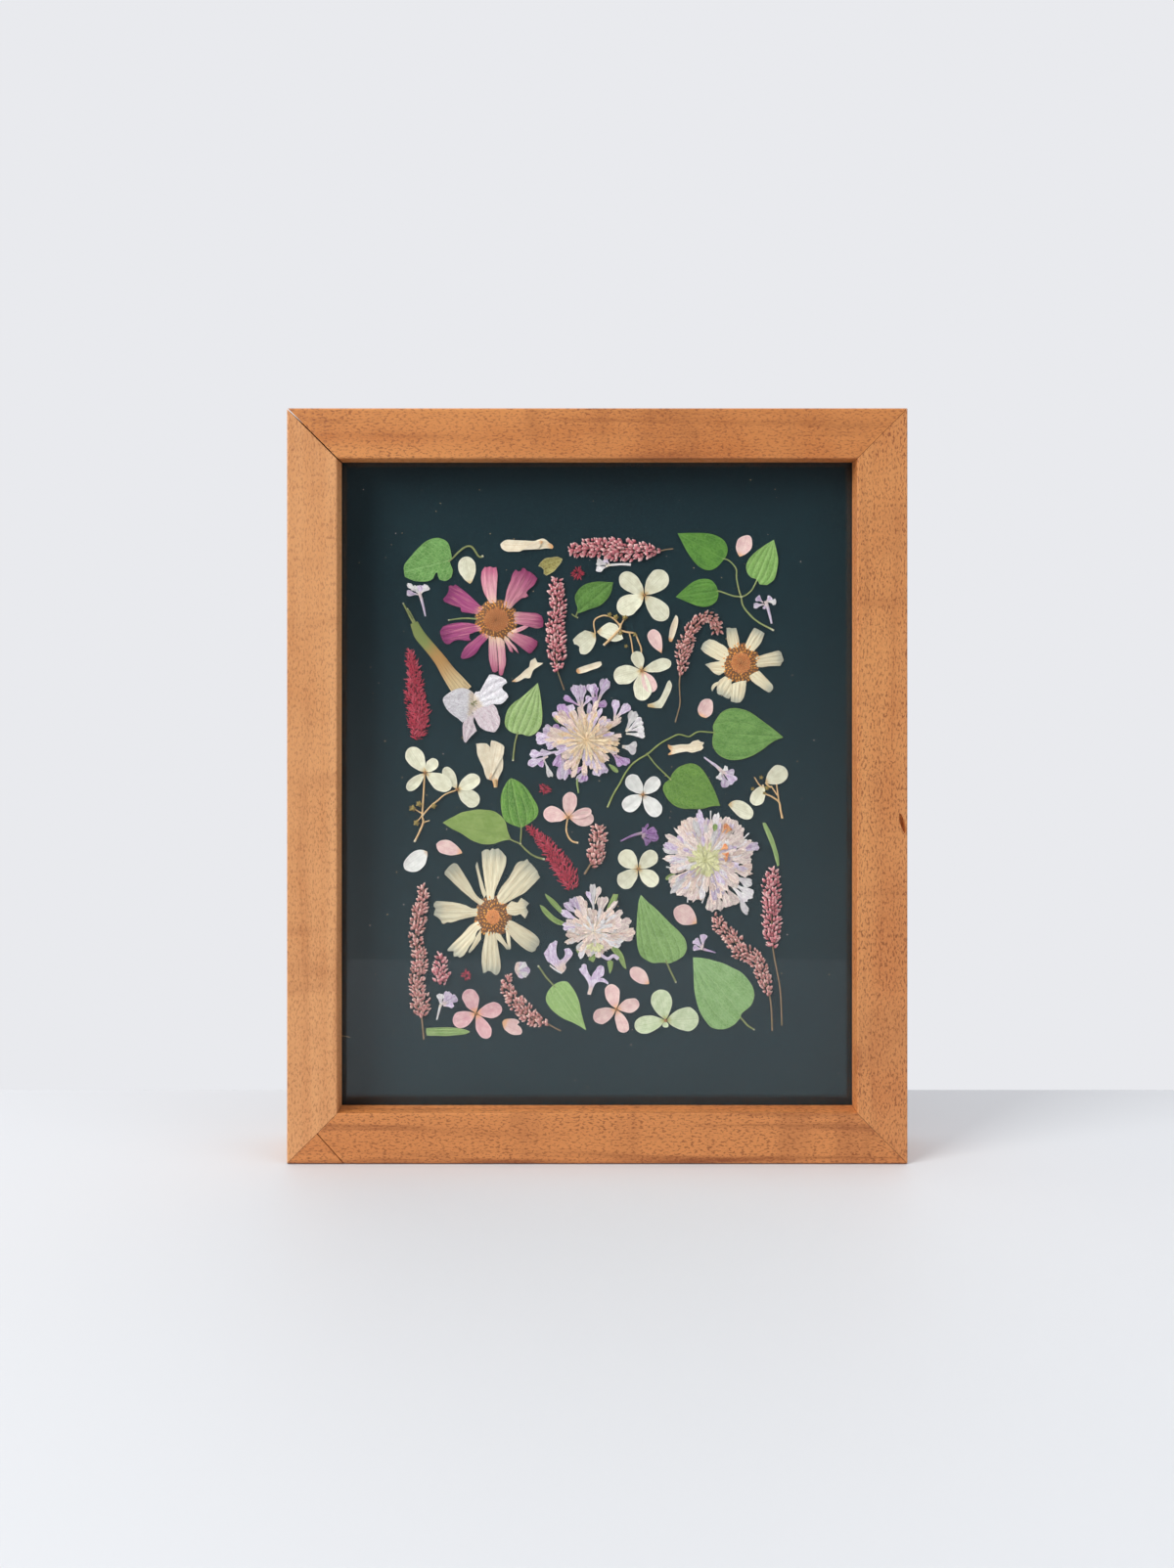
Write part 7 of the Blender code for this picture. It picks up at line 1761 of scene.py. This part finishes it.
def calyx_paint():
    """A ribbed calyx, green at its foot, rusty halfway and straw where it meets the petals."""
    skin = Paintwork("calyx")
    along = skin.attribute("along")
    place = skin.attribute("grown", True)
    streak = skin.noise(skin.node("Mapping", Vector=place, Scale=(2.4, 0.22, 1)).outputs[0], 1.2, 4, 0.65)
    rib = skin.sum("PINGPONG", skin.attribute("across"), 0.2)
    step = skin.sum("ADD", along, skin.sum("MULTIPLY", skin.sum("SUBTRACT", streak, 0.5), 0.3))
    colour = skin.blend(skin.span(step, 0.22, 0.5), (0.17, 0.22, 0.05), (0.42, 0.22, 0.06))
    colour = skin.blend(skin.span(step, 0.5, 0.92), colour, (0.56, 0.42, 0.22))
    colour = skin.blend(skin.span(rib, 0.0, 0.06, 0.55, 0), colour, (0.14, 0.075, 0.03))
    colour = skin.blend(skin.span(streak, 0.52, 0.66, 0, 0.55), colour, (0.2, 0.11, 0.04))
    return skin.finish(colour, 0.6, streak, 0.00012, 0.5)


crumpled_white = crumpled_paint("crumpled_white", (0.76, 0.74, 0.76), (0.64, 0.60, 0.64), (0.62, 0.50, 0.36),
                                (0.28, 0.22, 0.26), 0.2, 0.5)
crumpled_pink = crumpled_paint("crumpled_pink", (0.76, 0.68, 0.70), (0.66, 0.52, 0.57), (0.62, 0.50, 0.36),
                               (0.34, 0.22, 0.26), 0.2, 0.45)
calyx = calyx_paint()


def fluted(count, depth):
    """Relief of pleats that spread from the base."""
    def relief(along, across, half, rim):
        return 0.2 + depth * np.abs(np.sin(across * count + along * 1.3)) ** 0.7 * np.clip(along * 2.5, 0.2, 1)
    return relief


white_flower = Specimen("white_flower", crumpled_white, crumpled_pink, calyx, olive_stalk)
stalk(white_flower, [(-70.8, 204.3), (-72.5, 207.3), (-74.2, 210.7), (-74.9, 212.0)], 0.42, 0.3, 3)
stalk(white_flower, [(-70.3, 204.7), (-71.6, 207.3), (-73.2, 210.0)], 0.26, 0.22, 3, 0.1)
husk(white_flower, [
    (-70.7, 204.4), (-69.7, 202.0), (-68.2, 199.2), (-64.6, 194.9), (-60.7, 190.1), (-57.6, 185.4),
    (-54.5, 181.3), (-51.5, 177.4),
], [3.0, 4.2, 4.2, 4.3, 4.8, 5.7, 6.8, 7.6], 2)
blade(white_flower, [
    (-59.4, 175.4), (-57.2, 177.2), (-54.6, 178.7), (-53.0, 179.1), (-51.3, 179.1), (-49.4, 178.5),
    (-47.9, 177.4), (-46.6, 175.7), (-47.0, 172.5), (-48.5, 169.1), (-50.1, 167.3), (-51.9, 165.9),
    (-53.4, 167.2), (-56.6, 169.6), (-58.5, 171.9), (-59.4, 174.4),
], (-47.7, 173.6), (-59.1, 174.4), fluted(5.5, 0.34), 0, 0.42, 0.3, ragged=0.12, sharp=0.8)
blade(white_flower, [
    (-47.5, 175.9), (-46.8, 177.8), (-45.2, 177.8), (-43.9, 180.1), (-42.6, 182.5), (-41.5, 184.3),
    (-39.8, 184.4), (-38.1, 183.8), (-36.4, 183.2), (-35.0, 182.1), (-34.7, 181.2), (-36.0, 180.3),
    (-36.7, 179.4), (-36.1, 178.3), (-35.4, 177.8), (-34.6, 176.8), (-34.2, 175.7), (-35.6, 174.0),
    (-37.1, 173.0), (-38.6, 172.9), (-40.1, 173.0), (-42.8, 171.8), (-45.4, 171.0), (-47.3, 172.5),
], (-47.1, 173.2), (-36.4, 180.8), fluted(6.5, 0.34), 0, 0.42, 0.38, ragged=0.12, sharp=0.8)
blade(white_flower, [
    (-48.2, 170.4), (-47.1, 167.6), (-45.2, 164.2), (-43.3, 162.9), (-41.1, 162.3), (-39.9, 162.0),
    (-39.1, 162.5), (-38.0, 164.0), (-37.4, 165.9), (-37.5, 167.7), (-38.1, 169.3), (-38.8, 171.4),
    (-40.1, 173.0), (-41.8, 174.2), (-43.6, 174.0), (-46.2, 172.9),
], (-47.0, 172.9), (-39.4, 163.4), fluted(4.5, 0.28), 1, 0.42, 0.28, ragged=0.1, sharp=0.8)
blade(white_flower, [
    (-48.8, 169.7), (-50.5, 167.7), (-51.6, 165.6), (-51.9, 162.6), (-51.6, 159.8), (-51.3, 158.5),
    (-50.6, 158.0), (-49.2, 159.8), (-47.7, 161.4), (-46.4, 162.7), (-47.1, 164.5), (-47.7, 166.2),
    (-47.3, 168.7),
], (-48.1, 171.0), (-50.6, 158.5), fluted(4.0, 0.26), 1, 0.42, 0.2, ragged=0.1, sharp=0.8)
for k in range(9):
    turn = random_pick.uniform(0, math.tau)
    spot = Vector((-47.5, 173.1)) + Vector((math.cos(turn), math.sin(turn))) * random_pick.uniform(0, 1.3)
    bud(white_flower, spot, (math.cos(turn), math.sin(turn)), 0.8, 0.42, 3, 0.85, random_pick.uniform(-1, 1), 5)
white_flower.make("white_petal", "white_flower_with_tube")


# Small loose flowers
# Tiny tubular florets, red tufts, single petals and torn scraps that fill the gaps between the large pieces.
def lobed_floret(name, paints, tube, lobes, tube_width=(0.35, 0.6), lift=0.1):
    """A small floret: a tube that widens towards a few frilled lobes."""
    made = Specimen(name, *paints)
    stalk(made, tube, tube_width[1], tube_width[0], 0, 0.05, 0.5, flat=0.6)
    for base, tip, width in lobes:
        frill(made, base, tip, width, random_pick.randrange(min(2, len(paints))), lift)
    made.make("lilac_petal")


purple_lobe = crumpled_paint("purple_lobe", (0.36, 0.22, 0.42), (0.20, 0.085, 0.24), (0.5, 0.4, 0.34),
                             (0.10, 0.03, 0.12), 0.3, 0.5)
white_floret = Specimen("white_floret_small", white_lobe, lilac_lobe, eye_brown)
stalk(white_floret, [(4.1, 226.6), (6.8, 226.8), (9.8, 227.0), (13.1, 226.8)], 0.42, 0.5, 0, 0.05, flat=0.6)
frill(white_floret, (4.5, 226.6), (-0.2, 228.1), 3.0, 0)
frill(white_floret, (4.5, 226.4), (-0.2, 224.9), 2.6, 0, 0.3)
frill(white_floret, (4.9, 227.0), (3.0, 229.0), 2.3, 1, 0.2)
for spot in ((3.8, 226.8), (4.5, 226.2), (3.4, 226.0)):
    bud(white_floret, spot, (-1, 0.2), 0.5, 0.35, 2, 0.6)
white_floret.make("white_petal")

lobed_floret("lilac_floret_top", (lilac_lobe, white_lobe), [
    (-68.5, 215.6), (-67.8, 213.4), (-67.0, 210.3), (-66.3, 206.9),
], (
    ((-68.2, 215.6), (-71.3, 218.3), 2.6), ((-68.2, 215.3), (-73.2, 219.4), 1.9), ((-68.2, 215.3), (-73.8, 215.9), 2.3),
    ((-68.2, 215.6), (-65.3, 218.7), 3.0), ((-68.2, 215.3), (-68.2, 218.9), 3.0),
), (0.3, 0.62))
lobed_floret("lilac_floret_right", (lilac_lobe, white_lobe),
             [(65.2, 212.8), (66.1, 210.0), (67.0, 206.6), (67.6, 204.1)], (
    ((64.7, 211.5), (60.5, 210.9), 2.3), ((64.3, 212.2), (61.7, 214.3), 2.6), ((65.5, 212.6), (67.2, 214.4), 2.3),
    ((65.8, 212.6), (69.2, 212.4), 2.6), ((65.1, 211.5), (64.5, 209.7), 1.3),
), (0.4, 0.7))
lobed_floret("lilac_floret_middle", (lilac_lobe, white_lobe), [
    (48.2, 147.1), (46.2, 149.0), (43.5, 150.9), (41.5, 152.4),
], (
    ((48.0, 147.1), (47.1, 143.7), 2.6), ((48.4, 146.7), (49.8, 140.7), 3.4), ((48.4, 147.1), (53.6, 142.7), 3.8),
    ((48.4, 147.1), (53.2, 146.4), 2.6), ((48.4, 147.1), (50.5, 148.4), 2.3),
), (0.32, 0.75))
lobed_floret("purple_floret", (purple_lobe, violet_lobe), [
    (17.4, 123.1), (14.4, 122.3), (11.3, 121.0), (9.2, 119.9),
], (
    ((17.0, 122.5), (18.8, 125.0), 2.3), ((17.4, 122.5), (22.9, 124.3), 3.4), ((17.4, 122.1), (23.7, 121.2), 3.4),
    ((17.4, 121.8), (20.4, 118.9), 3.0), ((17.0, 122.9), (19.9, 126.7), 1.1),
), (0.3, 0.6))
lobed_floret("lilac_floret_low", (violet_lobe, lilac_lobe), [(41.2, 78.2), (43.5, 77.5), (45.9, 76.8)], (
    ((40.9, 78.2), (37.1, 78.8), 2.6), ((40.9, 78.6), (37.7, 82.0), 3.0), ((40.9, 79.0), (41.1, 84.1), 3.0),
), (0.2, 0.55))
lobed_floret("white_floret_bottom", (white_lobe, lilac_lobe), [
    (-60.4, 56.7), (-61.1, 54.0), (-61.9, 50.9),
], (
    ((-60.2, 56.3), (-60.6, 61.0), 3.0), ((-59.8, 56.7), (-56.9, 61.7), 3.4), ((-59.4, 56.7), (-54.0, 59.8), 3.4),
    ((-59.4, 56.3), (-55.3, 56.7), 2.3),
), (0.28, 0.6))

arched_floret = Specimen("lilac_floret_arched", lilac_lobe, white_lobe)
blade(arched_floret, [
    (-20.5, 76.5), (-19.9, 77.5), (-19.1, 78.6), (-18.4, 79.9), (-18.0, 80.5), (-17.1, 80.7),
    (-16.1, 81.6), (-15.2, 81.3), (-15.5, 79.8), (-15.7, 77.9), (-15.4, 75.6), (-14.4, 73.9),
    (-13.3, 74.5), (-12.4, 75.7), (-12.3, 77.1), (-12.7, 78.1), (-11.8, 78.5), (-10.7, 78.6),
    (-10.0, 77.9), (-9.3, 76.7), (-9.9, 75.2), (-11.2, 73.7), (-12.3, 72.3), (-11.8, 71.1), (-12.5, 69.7),
    (-13.5, 68.9), (-15.3, 70.3), (-17.2, 72.2), (-19.1, 73.7),
], (-12.9, 69.9), (-17.4, 80.5), fluted(5, 0.22), 0, 0.42, ragged=0.1, sharp=0.8)
stalk(arched_floret, [(-18.2, 72.0), (-16.7, 70.8), (-15.2, 69.8), (-13.5, 69.0)], 0.3, 0.4, 1, 0.3)
arched_floret.make("lilac_petal")
forked_floret = Specimen("lilac_floret_forked", lilac_lobe, white_lobe)
blade(forked_floret, [
    (-6.9, 70.6), (-5.9, 71.2), (-5.9, 72.0), (-5.1, 72.6), (-4.0, 72.2), (-3.8, 70.7), (-3.1, 68.8),
    (-2.1, 67.3), (-1.5, 68.9), (-0.6, 69.9), (0.4, 71.6), (1.5, 72.0), (2.6, 71.4), (2.9, 69.5),
    (2.5, 68.2), (1.0, 67.0), (2.6, 66.9), (4.4, 65.5), (4.4, 64.6), (2.6, 65.4), (0.7, 65.6),
    (-0.8, 64.6), (-2.4, 60.5), (-3.7, 60.8), (-3.1, 63.9), (-3.7, 65.8), (-5.1, 68.0), (-6.2, 69.3),
], (-3.1, 60.8), (-1.9, 72.2), fluted(5, 0.22), 0, 0.42, ragged=0.1, sharp=0.8)
forked_floret.make("lilac_petal")
cup_floret = Specimen("lilac_floret_cup", lilac_lobe, white_lobe)
blade(cup_floret, [
    (-31.8, 71.0), (-31.2, 72.9), (-30.1, 73.3), (-29.0, 73.3), (-27.3, 72.2), (-25.8, 70.4),
    (-25.8, 69.7), (-26.1, 69.0), (-27.5, 67.9), (-29.0, 66.8), (-30.1, 67.3), (-30.8, 68.2),
    (-31.6, 69.5),
], (-31.4, 70.3), (-26.1, 69.9), fluted(5, 0.3), 0, 0.42, ragged=0.12)
frill(cup_floret, (-30.7, 69.9), (-27.3, 72.9), 2.3, 1, 0.4)
frill(cup_floret, (-30.7, 69.9), (-26.7, 68.0), 2.3, 1, 0.4)
cup_floret.make("lilac_petal")


def tuft(name, centre, size, seed, count=34):
    """A tuft of short crimson needles that point every way."""
    picker = random.Random(seed)
    made = Specimen(name, crimson_bud)
    for k in range(count):
        turn = k * 2.4 + picker.uniform(-0.3, 0.3)
        out = Vector((math.cos(turn), math.sin(turn)))
        start = Vector(centre) + out * size * picker.uniform(0.0, 0.28)
        bud(made, start, out, size * picker.uniform(0.2, 0.34), 0.5 * picker.uniform(0.8, 1.2), 0,
            0.7 * (1 - k / count), picker.uniform(-1, 1), 5)
    made.make("crimson_flower")


tuft("red_tuft_top", (-7.2, 223.6), 5.7, 61)
tuft("red_tuft_middle", (-19.9, 140.0), 5.3, 62, 28)
tuft("red_tuft_low", (-50.4, 68.4), 4.9, 63, 28)

for name, paint, outline, base, tip in (
    ("pink_petal_top", blush_petal, [
        (54.0, 235.1), (54.5, 236.5), (55.5, 237.4), (57.7, 238.2), (58.8, 238.1), (59.6, 237.4),
        (60.0, 235.1), (59.8, 233.4), (59.1, 232.3), (57.3, 230.8), (55.2, 229.9), (54.3, 231.4),
        (53.7, 233.4),
    ], (55.2, 230.0), (57.9, 238.1)),
    ("pink_petal_middle", blush_petal, [
        (19.5, 199.2), (19.9, 200.6), (21.1, 201.7), (22.3, 201.8), (23.4, 201.2), (24.4, 200.1),
        (25.0, 198.5), (25.3, 195.6), (25.0, 192.7), (23.3, 193.8), (21.7, 195.1), (20.3, 196.9),
    ], (25.0, 192.7), (20.4, 201.3)),
    ("cream_splinter", ivory_petal, [
        (28.5, 202.9), (29.5, 205.4), (30.5, 207.4), (31.2, 206.6), (31.4, 205.2), (31.2, 203.5),
        (30.9, 202.2), (30.1, 199.6), (29.0, 197.1), (28.2, 197.1), (27.8, 197.8), (28.0, 200.5),
    ], (28.4, 197.5), (30.6, 207.3)),
    ("curved_cream_petal", cream_petal, [
        (19.5, 172.9), (21.9, 173.5), (24.1, 174.8), (25.9, 178.2), (27.5, 181.8), (28.2, 182.1),
        (28.7, 181.2), (29.0, 179.9), (28.4, 177.8), (27.5, 175.9), (26.3, 173.5), (25.0, 171.4),
        (22.3, 171.5), (19.7, 171.9),
    ],
     (19.7, 172.5), (28.4, 181.6)),
    ("pink_petal_right", blush_petal, [
        (39.0, 171.0), (39.5, 172.6), (40.3, 174.0), (41.4, 174.8), (42.6, 175.0), (43.8, 174.8),
        (44.6, 174.0), (44.9, 172.3), (44.8, 170.6), (44.5, 169.5), (43.8, 168.6), (42.2, 167.6),
        (40.7, 168.0), (39.5, 169.0),
    ],
     (39.3, 168.7), (43.5, 174.8)),
    ("pink_petal_low_right", blush_petal, [
        (29.7, 93.2), (30.6, 94.5), (32.2, 95.3), (33.8, 95.6), (35.3, 95.2), (36.7, 94.0), (37.6, 92.5),
        (38.4, 90.4), (38.6, 88.2), (36.4, 87.7), (34.4, 87.6), (32.9, 87.8), (31.4, 88.7), (30.3, 90.1),
        (29.7, 91.7),
    ], (38.6, 88.1), (30.3, 94.1)),
    ("pink_petal_low_middle", blush_petal, [
        (12.8, 70.1), (13.5, 71.0), (14.4, 71.4), (15.7, 71.4), (17.1, 70.8), (18.3, 70.0), (19.1, 68.9),
        (19.9, 66.9), (20.2, 64.8), (18.5, 64.7), (16.7, 65.0), (15.1, 65.8), (13.6, 67.0), (12.8, 68.4),
    ],
     (20.2, 64.8), (13.2, 70.7)),
    ("blush_scrap", blush_petal, [
        (-36.6, 49.9), (-36.0, 50.8), (-34.8, 51.3), (-33.2, 51.4), (-31.6, 51.3), (-30.5, 50.8),
        (-29.9, 50.0), (-30.8, 49.1), (-29.8, 48.3), (-29.0, 47.2), (-28.9, 46.1), (-29.4, 45.3),
        (-31.1, 45.1), (-33.0, 45.4), (-34.6, 46.3), (-35.9, 47.6),
    ], (-36.0, 49.1), (-29.2, 46.1)),
    ("cream_scrap", ivory_petal, [
        (-33.0, 181.6), (-31.4, 182.9), (-29.5, 184.4), (-27.7, 186.1), (-26.1, 187.3), (-25.7, 189.6),
        (-24.5, 190.4), (-23.8, 190.8), (-23.0, 189.0), (-20.7, 188.8), (-22.2, 187.7), (-23.5, 186.9),
        (-24.5, 186.2), (-25.2, 184.6), (-25.7, 183.1), (-26.7, 182.9), (-27.7, 183.1), (-29.2, 182.3),
        (-30.7, 181.6),
    ], (-32.6, 181.6), (-23.1, 189.5)),
    ("cream_scrap_small", ivory_petal, [
        (-7.7, 186.6), (-5.3, 187.6), (-2.3, 188.5), (-0.0, 189.2), (1.6, 189.4), (1.9, 188.2),
        (0.7, 187.1), (-1.9, 186.2), (-4.9, 185.1), (-7.2, 184.7), (-8.0, 185.6),
    ], (-7.6, 185.7), (1.6, 188.5)),
):
    made = Specimen(name, paint)
    blade(made, outline, base, tip, creased(0.14, 0.02), curl=0.08)
    made.make("pale_rose_petal" if paint is blush_petal else "cream_petal")


# Dust and crumbs
# Specks of pollen, petal crumbs and lint that fell on the card before the pane was laid over it.
def crumbs():
    picker = random.Random(71)
    made = Specimen("crumbs", cream_stalk, blush_petal, brown_stem)
    known = [
        (-67.8, 199.4), (-84.4, 181.2), (93.5, 30.2), (-34.5, 25.3), (-26.9, 23.7), (28.7, 131.6),
        (28.4, 129.0), (-13.3, 139.6),
    ]
    for spot in known + [(picker.uniform(-92, 92), picker.uniform(24, 260)) for _ in range(170)]:
        turn = picker.uniform(0, math.tau)
        size = picker.choice((0.16, 0.2, 0.26, 0.34))
        bud(made, spot, (math.cos(turn), math.sin(turn)), size * 1.3, size, picker.choice((0, 0, 1, 2)), 0.0,
            picker.uniform(-1, 1), 5)
    stalk(made, [(-106.0, 44.2), (-102.2, 43.8), (-98.4, 44.6), (-95.4, 44.0)], 0.06, 0.05, 0)
    made.make("cream_petal")


crumbs()
